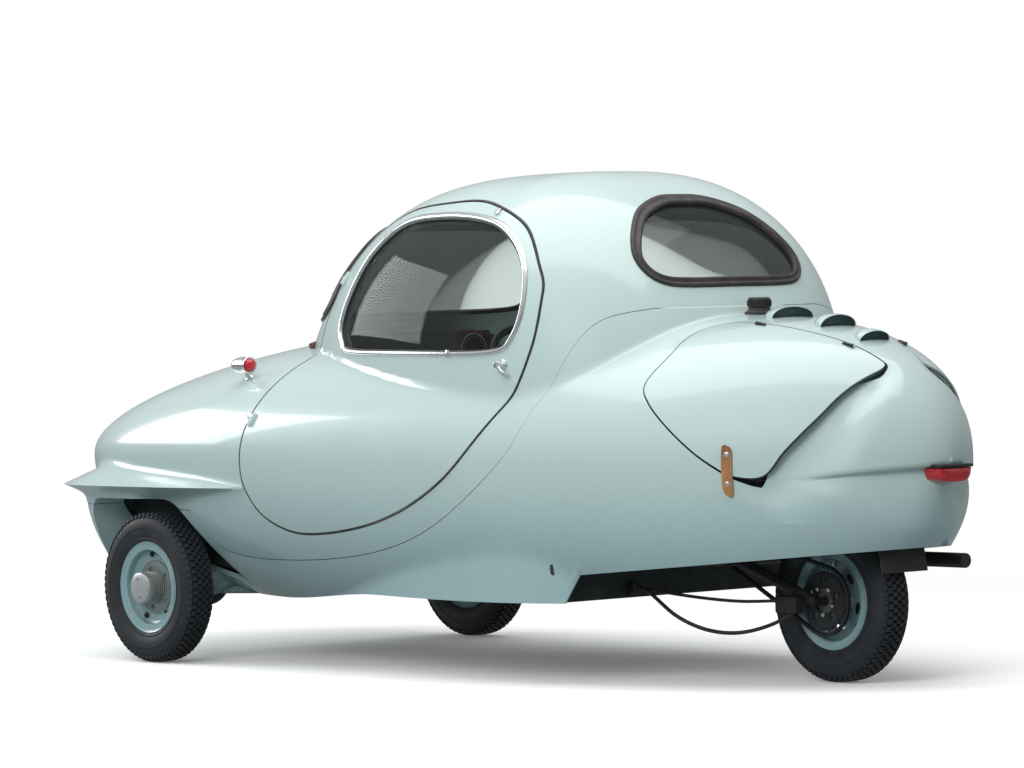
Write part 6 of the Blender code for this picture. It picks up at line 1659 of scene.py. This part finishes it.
class CABINCAR_OT_lamps(bpy.types.Operator):
    """Build the headlamp, both indicators and the rear lamp under its bracket"""

    bl_idname = "cabin_car.lamps"
    bl_label = "Lamps"

    def execute(self, context):
        tip = NOSE_X + LAMP_TIP
        centre = (0.0, 0.0, HEADLAMP_Z)
        ring = [(0.0752, HEADLAMP_BACK_X), (0.0850, HEADLAMP_BACK_X), (0.0850, tip - 0.0240),
                (0.0846, tip - 0.0190), (0.0826, tip - 0.0140), (0.0796, tip - 0.0108),
                (0.0772, tip - 0.0100), (0.0756, tip - 0.0112), (0.0752, tip - 0.0140)]
        settle(lathe("headlamp_bright_ring", "chrome", ring, centre, "X"), "body", "headlamp_ring",
               slot="chrome")
        dome = [(0.0, tip - 0.0400), (0.0748, tip - 0.0400), (0.0748, tip - 0.0150)]
        dome += [(0.0748 * math.cos(turn), tip - 0.0150 + 0.0150 * math.sin(turn))
                 for turn in np.linspace(0.1, math.pi / 2.0, 12)]
        dome[-1] = (0.0, tip)
        settle(lathe("headlamp_fluted_glass", "lens", dome, centre, "X"), "body", "headlamp_lens",
               slot="lens")
        for side, word in ((1, "left"), (-1, "right")):
            settle(self.indicator(f"indicator_{word}_bullet", side), "body", f"indicator_{word}",
                   slot="chrome")
        self.rear_lamp()
        return {"FINISHED"}

    def indicator(self, name, side):
        """A chrome bullet on a short flared stem, clear in front and red behind."""
        foot, out = on_skin(side_project(side), INDICATOR_PLACE)
        head = foot + out * (INDICATOR_STEM + FIT)
        shell = [(0.0180, -0.0330), (0.0215, -0.0340), (0.0226, -0.0325), (0.0226, -0.0290),
                 (0.0214, -0.0272), (0.0218, -0.0100), (0.0210, 0.0050), (0.0188, 0.0180), (0.0160, 0.0262),
                 (0.0150, 0.0272), (0.0130, 0.0272), (0.0130, 0.0100), (0.0180, -0.0100)]
        rear = [(0.0, -0.0140), (0.0178, -0.0140), (0.0178, -0.0330)]
        rear += [(0.0178 * math.cos(t), -0.0330 - 0.0135 * math.sin(t))
                 for t in np.linspace(0.15, math.pi / 2.0, 8)]
        rear[-1] = (0.0, -0.0465)
        front = [(0.0, 0.0110), (0.0128, 0.0110), (0.0128, 0.0268)]
        front += [(0.0128 * math.cos(t), 0.0268 + 0.0080 * math.sin(t))
                  for t in np.linspace(0.15, math.pi / 2.0, 7)]
        front[-1] = (0.0, 0.0348)
        parts = [lathe("shell", "chrome", shell, head, "X", 48), lathe("rear", "red", rear, head, "X", 40),
                 lathe("front", "lens", front, head, "X", 40)]
        stem = softened([(0.0, 0.0003), (0.0130, 0.0003), (0.0120, 0.0030), (0.0075, 0.0060),
                         (0.0062, 0.0260), (0.0, 0.0260)], 0.002)
        parts.append(place_at(lathe("stem", "chrome", stem, axis="Z", sides=32), aimed(foot, out)))
        return join(parts, name)

    def rear_lamp(self):
        """A half-oval red lens under a dark hood, screwed at one corner."""
        low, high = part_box("tail_lamp")
        half, top, base = (high.y - low.y) / 2.0, high.z, low.z
        back, tip = TAIL_X + 0.036, low.x
        count = 48
        outline = []
        for k in range(count):
            turn = math.tau * k / count
            share = 0.98 if math.sin(turn) > 0 else 0.94
            y = math.copysign(abs(math.cos(turn)) ** 0.55, math.cos(turn)) * half * share
            rise = abs(math.sin(turn)) ** 0.8
            z = top - 0.0006 if math.sin(turn) >= 0 else top - 0.004 - (top - 0.004 - base) * rise
            outline.append((y, z))
        middle = (top + base) / 2.0
        vertices, faces = [], []
        stack = [(back, 1.0), (tip + 0.010, 1.0), (tip + 0.005, 0.97), (tip + 0.002, 0.90),
                 (tip + 0.0006, 0.72), (tip, 0.4)]
        for x, share in stack:
            vertices += [(x, y * share, middle + (z - middle) * share) for y, z in outline]
        for row in range(len(stack) - 1):
            faces += ring_faces(row * count, (row + 1) * count, count)
        faces += [tuple(range(count)), tuple(range((len(stack) - 1) * count, len(stack) * count))]
        lens = smooth(face_outwards(new_piece("tail_lamp_glass", vertices, faces, "red"), 1e-6), 40.0)
        settle(lens, "body", "tail_lamp", slot="red")
        low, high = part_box("tail_lamp_bracket")
        hood = block("hood", "black", (low.x, low.y, low.z), (high.x - 0.004, high.y, high.z), 0.0022)
        screw = place_at(screw_head(0.0032, 0.0016, "bright"),
                         aimed((low.x + 0.0020, half * 0.78, (low.z + high.z) / 2.0), (-1.0, 0.0, 0.0)))
        settle(join([hood, screw], "tail_lamp_hood"), "body", "tail_lamp_bracket", slot="black")


class CABINCAR_OT_filler(bpy.types.Operator):
    """Build the filler neck and its knurled cap"""

    bl_idname = "cabin_car.filler"
    bl_label = "Filler cap"

    def execute(self, context):
        base = deck_place(FILLER_X)
        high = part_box("filler_cap")[1].z - base[2]
        neck = softened([(0.0, -0.018), (0.0360, -0.018), (0.0370, 0.0040), (0.0330, 0.0070),
                         (0.0285, 0.0100), (0.0262, 0.0160), (0.0, 0.0160)], 0.002)
        top = high - 0.0010
        cap = softened([(0.0, 0.0150), (0.0268, 0.0150), (0.0288, 0.0185), (0.0288, top - 0.0070),
                        (0.0262, top - 0.0015), (0.0200, top), (0.0150, top - 0.0012), (0.0, top - 0.0012)],
                       0.0022)
        parts = [lathe("neck", "black", neck, base, "Z", 72), lathe("cap", "black", cap, base, "Z", 96)]
        height = top - 0.0260
        rib = tread_block(0.0040, height, 0.0022, 0.5)
        ring = repeat("knurls", "ring", rib, "black", Count=30, Radius=0.0282, Across=0.0)
        ring.data.transform(Matrix.Rotation(math.pi / 2.0, 4, "X"))
        ring.data.transform(Matrix.Translation(Vector(base) + Vector((0.0, 0.0, 0.0190 + height / 2.0))))
        settle(join([*parts, ring], "filler_neck_and_cap"), "body", "filler_cap", slot="black")
        return {"FINISHED"}


# Cabin

def puffed(name, low, high, lean, material, pressure=4.0, cap=0.014, voxel=0.010):
    """A padded slab: a rounded box blown up a little as cloth, then smoothed."""
    thing = block(name, material, low, high, min(high[k] - low[k] for k in range(3)) * 0.28, 4)
    for vertex in thing.data.vertices:
        vertex.co.x += lean * (vertex.co.z - low[2])
    remesh = thing.modifiers.new("Remesh", "REMESH")
    remesh.mode = "VOXEL"
    remesh.voxel_size = voxel
    bake(thing)
    start = np.array([vertex.co for vertex in thing.data.vertices])
    cloth = thing.modifiers.new("Cloth", "CLOTH")
    cloth.settings.use_pressure = True
    cloth.settings.uniform_pressure_force = pressure
    cloth.settings.quality = 4
    cloth.settings.effector_weights.gravity = 0.0
    scene = bpy.context.scene
    for step in range(1, 21):
        scene.frame_set(step)
    graph = bpy.context.evaluated_depsgraph_get()
    blown = np.array([vertex.co for vertex in thing.evaluated_get(graph).data.vertices])
    thing.modifiers.clear()
    scene.frame_set(1)
    move = blown - start
    length = np.linalg.norm(move, axis=1, keepdims=True)
    points = start + move * np.minimum(1.0, cap / np.maximum(length, 1e-9))
    thing.data.vertices.foreach_set("co", points.ravel())
    return thing


def sew(thing, faces_way):
    """Press sewn channels into the side that faces one way."""
    mesh = thing.data
    points = np.array([vertex.co for vertex in mesh.vertices])
    normals = np.array([vertex.normal for vertex in mesh.vertices])
    way = np.array(faces_way)
    facing = np.clip(normals @ way, 0.0, 1.0)
    sunk = np.zeros(len(points))
    for line in CHANNELS:
        sunk = np.maximum(sunk, CHANNEL_DEPTH * np.exp(-((points[:, 1] - line) / CHANNEL_WIDTH) ** 2))
    points = points - (sunk * facing)[:, None] * way
    mesh.vertices.foreach_set("co", points.ravel())
    mesh.update()
    return thing


def refined(thing):
    modifier = thing.modifiers.new("Smooth", "SUBSURF")
    modifier.levels = modifier.render_levels = 1
    return smooth(bake(thing), 180.0)


class CABINCAR_OT_bench(bpy.types.Operator):
    """Build the padded bench as blown cloth with sewn channels"""

    bl_idname = "cabin_car.bench"
    bl_label = "Bench"

    def execute(self, context):
        swell = 0.012
        low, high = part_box("seat_cushion")
        start = (low.x + swell, low.y + swell, low.z + 0.002)
        cushion = puffed("seat_cushion_cover", start, (high.x - swell, high.y - swell, high.z - swell), 0.0,
                         "seat")
        cushion = sew(refined(cushion), (0.0, 0.0, 1.0))
        for vertex in cushion.data.vertices:
            vertex.co.z = min(max(vertex.co.z, low.z + 0.0005), high.z)
        low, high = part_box("seat_back")
        lean = -0.120 / (high.z - low.z)
        base = (-0.430 + swell, low.y + swell, low.z + 0.006)
        back = puffed("seat_back_cover", base, (-0.340 - swell, high.y - swell, high.z - swell), lean, "seat")
        back = sew(refined(back), (0.97, 0.0, 0.24))
        for vertex in back.data.vertices:
            vertex.co.z = max(vertex.co.z, low.z + 0.0010)
        for thing, node in ((cushion, "seat_cushion"), (back, "seat_back")):
            settle(thing, "body", node, slot="seat")
        dress("seat_box", "black")
        return {"FINISHED"}


class CABINCAR_OT_cabin(bpy.types.Operator):
    """Build the dashboard's fittings, the steering wheel and the hand lever"""

    bl_idname = "cabin_car.cabin"
    bl_label = "Cabin"

    def execute(self, context):
        dress("dashboard", "trim")
        dress("steering_column", "dark_metal")
        dress("floor_pan", "floor")
        for word in ("left", "right"):
            dress(f"wheel_well_{word}", "floor")
        self.dash()
        self.steering_wheel()
        low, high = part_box("hand_lever")
        radius = (high.y - low.y) / 2.0
        head = Vector((0.190, 0.0, 0.600))
        knob = [(radius * math.cos(t), radius * math.sin(t)) for t in np.linspace(-1.3, 1.3, 14)]
        knob = [(0.0, -radius), *knob, (0.0, radius)]
        rod = pipe("rod", "chrome", [(LEVER_X, 0.0, low.z + 0.006), head], 0.0065, 20)
        boot = lathe("boot", "rubber",
                     softened([(0.0, 0.0), (0.030, 0.0), (0.026, 0.010), (0.020, 0.012), (0.018, 0.022),
                               (0.012, 0.024), (0.010, 0.040), (0.0, 0.040)], 0.003),
                     (LEVER_X, 0.0, low.z), "Z", 40)
        settle(join([rod, lathe("knob", "pale", knob, head, "Z", 40), boot], "hand_lever_and_boot"), "body",
               "hand_lever", slot="black")
        return {"FINISHED"}

    def dash(self):
        """Padded roll, a pocket, one plain dial and small switches on the panel under the screen."""
        face, half = DASH_FACE, 0.33
        roll = pipe("roll", "trim", [(0.503, y, 0.853 - 0.030 * (abs(y) / half) ** 3)
                                     for y in np.linspace(-half, half, 30)], 0.008, 14)
        parts = [roll]
        # The pocket is a black plate on the panel: painted shade for its opening
        parts.append(block("pocket", "black", (face - 0.003, 0.115, 0.776), (face + 0.002, 0.235, 0.828),
                           0.0015))
        parts.append(block("lip", "trim", (face - 0.007, 0.108, 0.768), (face + 0.004, 0.242, 0.779), 0.003))
        dial = softened([(0.0, 0.0), (0.046, 0.0), (0.046, 0.008), (0.041, 0.010), (0.039, 0.006),
                         (0.0, 0.006)], 0.0012)
        place = aimed((face + 0.004, DIAL_Y, DIAL_Z), (-1.0, 0.0, 0.0))
        parts.append(place_at(lathe("dial", "chrome", dial, axis="Z", sides=64), place))
        parts.append(place_at(lathe("face", "black",
                                    [(0.0, 0.0), (0.0385, 0.0), (0.0385, 0.0072), (0.0, 0.0072)],
                                    axis="Z", sides=64), place))
        tick = block("tick", None, (-0.0006, -0.0008, -0.0022), (0.0006, 0.0008, 0.0022), 0.0002, 1)
        ring = repeat("ticks", "ring", tick, "pale", Count=24, Radius=0.0335, Across=0.0)
        ring.data.transform(Matrix.Rotation(math.pi / 2.0, 4, "Z"))
        parts.append(move_to(ring, (face - 0.0036, DIAL_Y, DIAL_Z)))
        parts.append(pipe("needle", "red", [(face - 0.0042, DIAL_Y, DIAL_Z), (face - 0.0042, -0.241, 0.822)],
                          0.0009, 8))
        for y, name in ((-0.120, "black"), (-0.085, "chrome"), (-0.050, "pale"), (0.040, "pale")):
            knob = softened([(0.0, 0.0), (0.004, 0.0), (0.004, 0.010), (0.009, 0.012), (0.009, 0.019),
                             (0.0, 0.021)], 0.0012)
            parts.append(place_at(lathe("knob", name, knob, axis="Z", sides=28),
                                  aimed((face + 0.004, y, 0.792), (-1.0, 0.0, 0.0))))
        settle(join(parts, "dash_fittings"), "body", slot="trim")

    def steering_wheel(self):
        top, along = Vector((0.180, -0.220, 0.740)), Vector((-0.679765, 0.0, 0.73343))
        grip = [(0.170 + 0.0108 * math.cos(t), 0.0108 * math.sin(t))
                for t in (math.tau * k / 20 for k in range(20))]
        hub = softened([(0.0, -0.025), (0.0245, -0.025), (0.0245, -0.006), (0.020, 0.006), (0.0, 0.012)],
                       0.003)
        button = softened([(0.0, 0.006), (0.015, 0.006), (0.015, 0.010), (0.0, 0.0124)], 0.002)
        parts = [lathe("grip", "black", grip, axis="Z", sides=110),
                 lathe("hub", "black", hub, axis="Z", sides=48),
                 lathe("button", "chrome", button, axis="Z", sides=40)]
        for spoke in range(3):
            turn = math.tau * spoke / 3 + math.pi / 2.0
            reach = Vector((math.cos(turn), math.sin(turn), 0.0))
            parts.append(pipe("spoke", "bright",
                              [reach * 0.015, reach * 0.10 + Vector((0, 0, -0.003)), reach * 0.166],
                              0.0050, 14, 0.03))
        turn = along.to_track_quat("Z", "Y").to_matrix().to_4x4()
        wheel = place_at(join(parts, "steering_wheel_rim"), Matrix.Translation(top) @ turn)
        settle(wheel, "steering_wheel", "steering_wheel", slot="black")


# Running gear

class CABINCAR_OT_gear(bpy.types.Operator):
    """Finish the axle, springs, engine, chain, exhaust, flap and cables"""

    bl_idname = "cabin_car.gear"
    bl_label = "Running gear"

    def execute(self, context):
        for node in ("knuckle_left", "knuckle_right", "swing_arm", "rear_frame", "exhaust"):
            dress(node, "dark_metal")
        dress("engine", "casting")
        dress("mudflap", "rubber")
        self.springs()
        self.beam()
        self.engine()
        self.chain()
        self.cables()
        return {"FINISHED"}

    def springs(self):
        for side, word in ((1, "left"), (-1, "right")):
            turns, count = 7.0, 150
            path = [(FRONT_AXLE_X + 0.0245 * math.cos(t), side * STRUT_Y + 0.0245 * math.sin(t),
                     0.215 + 0.190 * t / (math.tau * turns))
                    for t in np.linspace(0.0, math.tau * turns, count)]
            settle(pipe(f"spring_{word}", "black", path, 0.0036, 8), "body", slot="dark_metal")

    def beam(self):
        """Axle beam that rises between the wells, with its forks and strut rods."""
        x, z, eye, ear, boss = FRONT_AXLE_X, AXLE_Z, 0.0253, 0.010, 0.013
        half = [(x, FORK_Y, z), (x, 0.425, 0.158), (x, 0.352, 0.158), (x, 0.285, 0.262)]
        path = half + [(x, -y, z) for x, y, z in reversed(half)]
        parts = [pipe("beam", "dark_metal", path, 0.018, 24, 0.03)]
        for side in (-1, 1):
            near, far = sorted((side * FORK_Y, side * 0.482))
            parts.append(block("web", "dark_metal", (x - boss, near, z - eye - ear),
                               (x + boss, far, z + eye + ear)))
            near, far = sorted((side * FORK_Y, side * 0.5065))
            for low in (z - eye - ear, z + eye):
                parts.append(block("ear", "dark_metal", (x - boss, near, low), (x + boss, far, low + ear)))
            rod = softened([(0.0, 0.150), (0.010, 0.150), (0.010, 0.200), (0.0215, 0.204), (0.0215, 0.212),
                            (0.0165, 0.214), (0.0165, 0.414), (0.0215, 0.416), (0.0215, 0.4295),
                            (0.0, 0.4295)], 0.001, 2)
            parts.append(lathe("strut", "dark_metal", rod, (x, side * STRUT_Y, 0.0), "Z", 32))
        settle(join(parts, "arched_front_beam"), "body", "front_beam", slot="dark_metal")

    def engine(self):
        """Cooling fins round the barrel, and a clutch cover with its screws."""
        low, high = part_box("engine")
        front, right = high.x - 0.024, low.y + 0.024
        middle = (front - 0.045, right + 0.045)
        fin = block("fin", None, (-0.0012, -0.056, -0.056), (0.0012, 0.056, 0.056), 0.0010, 1)
        stack = [(middle[0], middle[1], z) for z in np.linspace(0.452, 0.584, 12)]
        parts = [stitched(stack, fin, 12, "fins", "casting")]
        cover = softened([(0.0, 0.0), (0.052, 0.0), (0.052, 0.004), (0.046, 0.008), (0.0, 0.011)], 0.003)
        side_y = -0.105
        place = aimed(((low.x + high.x) / 2.0, side_y + 0.0005, 0.352), (0.0, -1.0, 0.0))
        parts.append(place_at(lathe("cover", "alloy", cover, axis="Z", sides=64), place))
        screws = screw_head(0.0045, 0.0030)
        screws.data.transform(Matrix.Rotation(math.pi / 2.0, 4, "X"))
        ring = repeat("screws", "ring", screws, "bright", Count=6, Radius=0.0475, Across=0.0)
        parts.append(move_to(ring, ((low.x + high.x) / 2.0, side_y - 0.0048, 0.352)))
        settle(join(parts, "engine_details"), "body", slot="alloy")

    def chain(self):
        """Side plates on rollers, set along the loop."""
        front, rear = np.array([-0.745, 0.330]), np.array([REAR_AXLE_X, AXLE_Z])
        front_radius, rear_radius = 0.0353, 0.0820
        away = np.linalg.norm(front - rear)
        tilt = math.atan2(*(front - rear)[::-1])
        reach = math.acos((rear_radius - front_radius) / away)
        arcs = ((front, front_radius, tilt - reach, tilt + reach),
                (rear, rear_radius, tilt + reach, tilt - reach + math.tau))
        loop = [centre + radius * np.array([math.cos(t), math.sin(t)])
                for centre, radius, start, end in arcs for t in np.linspace(start, end, 30)]
        points = [(x, 0.057, z) for x, z in loop]
        carrier = new_piece("path", points, [],
                            edges=[(k, (k + 1) % len(points)) for k in range(len(points))])
        length = sum(np.linalg.norm(a - b) for a, b in zip(loop, loop[1:] + loop[:1]))
        parts = []
        for y in (-0.0040, 0.0040):
            parts.append(block("link", None, (-0.0062, y - 0.0007, -0.0040), (0.0062, y + 0.0007, 0.0040),
                               0.0006, 1))
        parts.append(pipe("pin", None, [(0.0, -0.0046, 0.0), (0.0, 0.0046, 0.0)], 0.0030, 8))
        link = join(parts, "link")
        links = repeat("drive_chain_links", "path", link, "dark_metal", carrier, Count=int(length / 0.0095))
        settle(links, "body", "chain", slot="dark_metal")

    def cables(self):
        """Two control cables under the floor, one taut and one that sags."""
        taut = open_curve([(-0.62, 0.235, 0.230), (-0.70, 0.225, 0.218), (-0.82, 0.200, 0.205),
                           (-0.93, 0.170, 0.198), (-1.02, 0.125, 0.200)], 8)
        slack = open_curve([(-0.62, 0.245, 0.232), (-0.68, 0.240, 0.215), (-0.76, 0.225, 0.160),
                            (-0.84, 0.200, 0.128), (-0.92, 0.170, 0.122), (-1.00, 0.140, 0.142),
                            (-1.06, 0.112, 0.176)], 8)
        parts = [pipe("taut", "rubber", taut, 0.0040, 10), pipe("slack", "rubber", slack, 0.0048, 10)]
        clip = block("clip", "dark_metal", (-0.640, 0.228, 0.2095), (-0.610, 0.252, 0.240), 0.003)
        end = block("end", "dark_metal", (-1.075, 0.0995, 0.170), (-1.005, 0.132, 0.212), 0.005)
        settle(join([*parts, clip, end], "control_cables"), "body", slot="rubber")


# Stage

class CABINCAR_OT_stage(bpy.types.Operator):
    """Set the floor, studio lights, world and camera"""

    bl_idname = "cabin_car.stage"
    bl_label = "Stage"

    def execute(self, context):
        settings = context.scene.cabin_car.stage
        scene = context.scene
        scene.view_settings.view_transform = "Standard"
        self.floor(settings)
        self.world(settings)
        self.light("overhead", (-0.3, 0.3, 3.4), (0.0, 0.0, 0.5), (4.2, 3.0), settings.top)
        self.light("left", (-2.2, 4.2, 2.2), (-0.3, 0.0, 0.7), (2.6, 1.8), settings.side, False)
        self.light("nose", (4.2, 1.6, 2.0), (0.6, 0.0, 0.6), (2.0, 1.6), settings.side * 0.5)
        self.camera(scene)
        return {"FINISHED"}

    def floor(self, settings):
        """A pale floor, plain white away from the car, that throws up a darker light."""
        wide = 60.0
        floor = new_piece("studio_floor",
                          [(-wide, -wide, 0.0), (wide, -wide, 0.0), (wide, wide, 0.0), (-wide, wide, 0.0)],
                          [(0, 1, 2, 3)])
        made = Finish("studio floor", roughness=0.9, specular_IOR_level=0.0, emission_strength=0.12)
        made.set("Emission Color", (1.0, 1.0, 1.0))
        rays = [made.node("ShaderNodeLightPath", {}, {}, word)
                for word in ("Is Camera Ray", "Is Transmission Ray")]
        seen = rays[0] + rays[1]
        made.set("Base Color", made.blend(seen, settings.bounce[:], settings.floor[:]))
        away = made.node("ShaderNodeVectorMath", {"operation": "LENGTH"}, {0: made.place}, 1)
        far = away.between(settings.near, settings.far)
        plain = made.node("ShaderNodeEmission", {}, {"Color": (1.0, 1.0, 1.0), "Strength": 1.0})
        made.cover(seen * far, made.shader.outputs[0], plain.socket)
        floor.data.materials.append(made.material)

    def world(self, settings):
        """White to the camera; to the car, light that falls off from overhead to the horizon."""
        world = bpy.data.worlds.new("studio")
        bpy.context.scene.world = world
        world.use_nodes = True
        tree = world.node_tree
        tree.nodes.clear()

        def background(strength, tint):
            shade = tree.nodes.new("ShaderNodeBackground")
            shade.inputs["Color"].default_value = (*tint, 1.0)
            shade.inputs["Strength"].default_value = strength
            return shade.outputs[0]

        def maths(operation, first, second, third=None):
            sum_node = tree.nodes.new("ShaderNodeMath")
            sum_node.operation = operation
            sum_node.use_clamp = True
            for socket, value in zip(sum_node.inputs, (first, second, third)):
                if isinstance(value, bpy.types.NodeSocket):
                    tree.links.new(value, socket)
                elif value is not None:
                    socket.default_value = value
            return sum_node.outputs[0]

        def mixed(factor, first, second):
            mix = tree.nodes.new("ShaderNodeMixShader")
            for socket, value in zip(mix.inputs, (factor, first, second)):
                tree.links.new(value, socket)
            return mix.outputs[0]

        rays = tree.nodes.new("ShaderNodeLightPath")
        seen = maths("MAXIMUM", rays.outputs["Is Camera Ray"], rays.outputs["Is Transmission Ray"])
        place = tree.nodes.new("ShaderNodeTexCoord")
        split = tree.nodes.new("ShaderNodeSeparateXYZ")
        tree.links.new(place.outputs["Generated"], split.inputs[0])
        rise = maths("MULTIPLY_ADD", split.outputs["Z"], 1.3, 0.0)
        sky = mixed(rise, background(settings.horizon, (0.94, 0.97, 1.0)),
                    background(settings.fill, (0.98, 0.99, 1.0)))
        out = tree.nodes.new("ShaderNodeOutputWorld")
        tree.links.new(mixed(seen, sky, background(1.0, (1.0, 1.0, 1.0))), out.inputs[0])

    def light(self, name, place, target, size, power, mirrored=True):
        lamp = bpy.data.lights.new(name, "AREA")
        lamp.shape = "RECTANGLE"
        lamp.size, lamp.size_y = size
        lamp.energy = power
        thing = bpy.data.objects.new(name, lamp)
        bpy.context.scene.collection.objects.link(thing)
        thing.location = place
        thing.visible_glossy = mirrored
        thing.rotation_euler = (Vector(target) - Vector(place)).to_track_quat("-Z", "Y").to_euler()

    def camera(self, scene):
        """The photograph's view: a long lens from behind and to the left."""
        yaw, pitch, roll = VIEW_YAW, VIEW_PITCH, VIEW_ROLL
        ahead = Vector((math.cos(pitch) * math.cos(yaw), math.cos(pitch) * math.sin(yaw), math.sin(pitch)))
        right = ahead.cross(Vector((0.0, 0.0, 1.0))).normalized()
        up = right.cross(ahead)
        across = right * math.cos(roll) + up * math.sin(roll)
        rise = up * math.cos(roll) - right * math.sin(roll)
        data = bpy.data.cameras.new("camera")
        data.sensor_width = SENSOR
        data.lens = FOCAL_PIXELS / PHOTO_PIXELS * SENSOR
        data.clip_end = 200.0
        camera = bpy.data.objects.new("camera", data)
        scene.collection.objects.link(camera)
        rows = [[across[row], rise[row], -ahead[row], VIEW_PLACE[row]] for row in range(3)]
        camera.matrix_world = Matrix(rows + [[0.0, 0.0, 0.0, 1.0]])
        scene.camera = camera


class CabinCarSettings(bpy.types.PropertyGroup):
    """All settings of the car and its stage."""

    skin: bpy.props.PointerProperty(type=SkinSizes)
    wheels: bpy.props.PointerProperty(type=WheelSizes)
    finishes: bpy.props.PointerProperty(type=Finishes)
    stage: bpy.props.PointerProperty(type=StageSettings)


OPERATORS = (CABINCAR_OT_body, CABINCAR_OT_doors, CABINCAR_OT_hatches, CABINCAR_OT_windows,
             CABINCAR_OT_wheels,
             CABINCAR_OT_lamps, CABINCAR_OT_filler, CABINCAR_OT_bench, CABINCAR_OT_cabin, CABINCAR_OT_gear,
             CABINCAR_OT_stage)


class CABINCAR_PT_panel(bpy.types.Panel):
    """The settings and the pieces that they build"""

    bl_idname = "CABINCAR_PT_panel"
    bl_label = "Cabin Car"
    bl_space_type = "VIEW_3D"
    bl_region_type = "UI"
    bl_category = "Cabin Car"

    def draw(self, context):
        car = context.scene.cabin_car
        for group in (car.skin, car.wheels, car.finishes, car.stage):
            box = self.layout.box()
            for name in group.__annotations__:
                box.prop(group, name)
        for operator in OPERATORS:
            self.layout.operator(operator.bl_idname)


CLASSES = (SkinSizes, WheelSizes, Finishes, StageSettings, CabinCarSettings, *OPERATORS, CABINCAR_PT_panel)


def register():
    for kind in CLASSES:
        bpy.utils.register_class(kind)
    bpy.types.Scene.cabin_car = bpy.props.PointerProperty(type=CabinCarSettings)


def unregister():
    del bpy.types.Scene.cabin_car
    for kind in reversed(CLASSES):
        bpy.utils.unregister_class(kind)


def main():
    register()
    for operator in OPERATORS:
        group, name = operator.bl_idname.split(".")
        getattr(getattr(bpy.ops, group), name)()


if __name__ == "__main__":
    main()
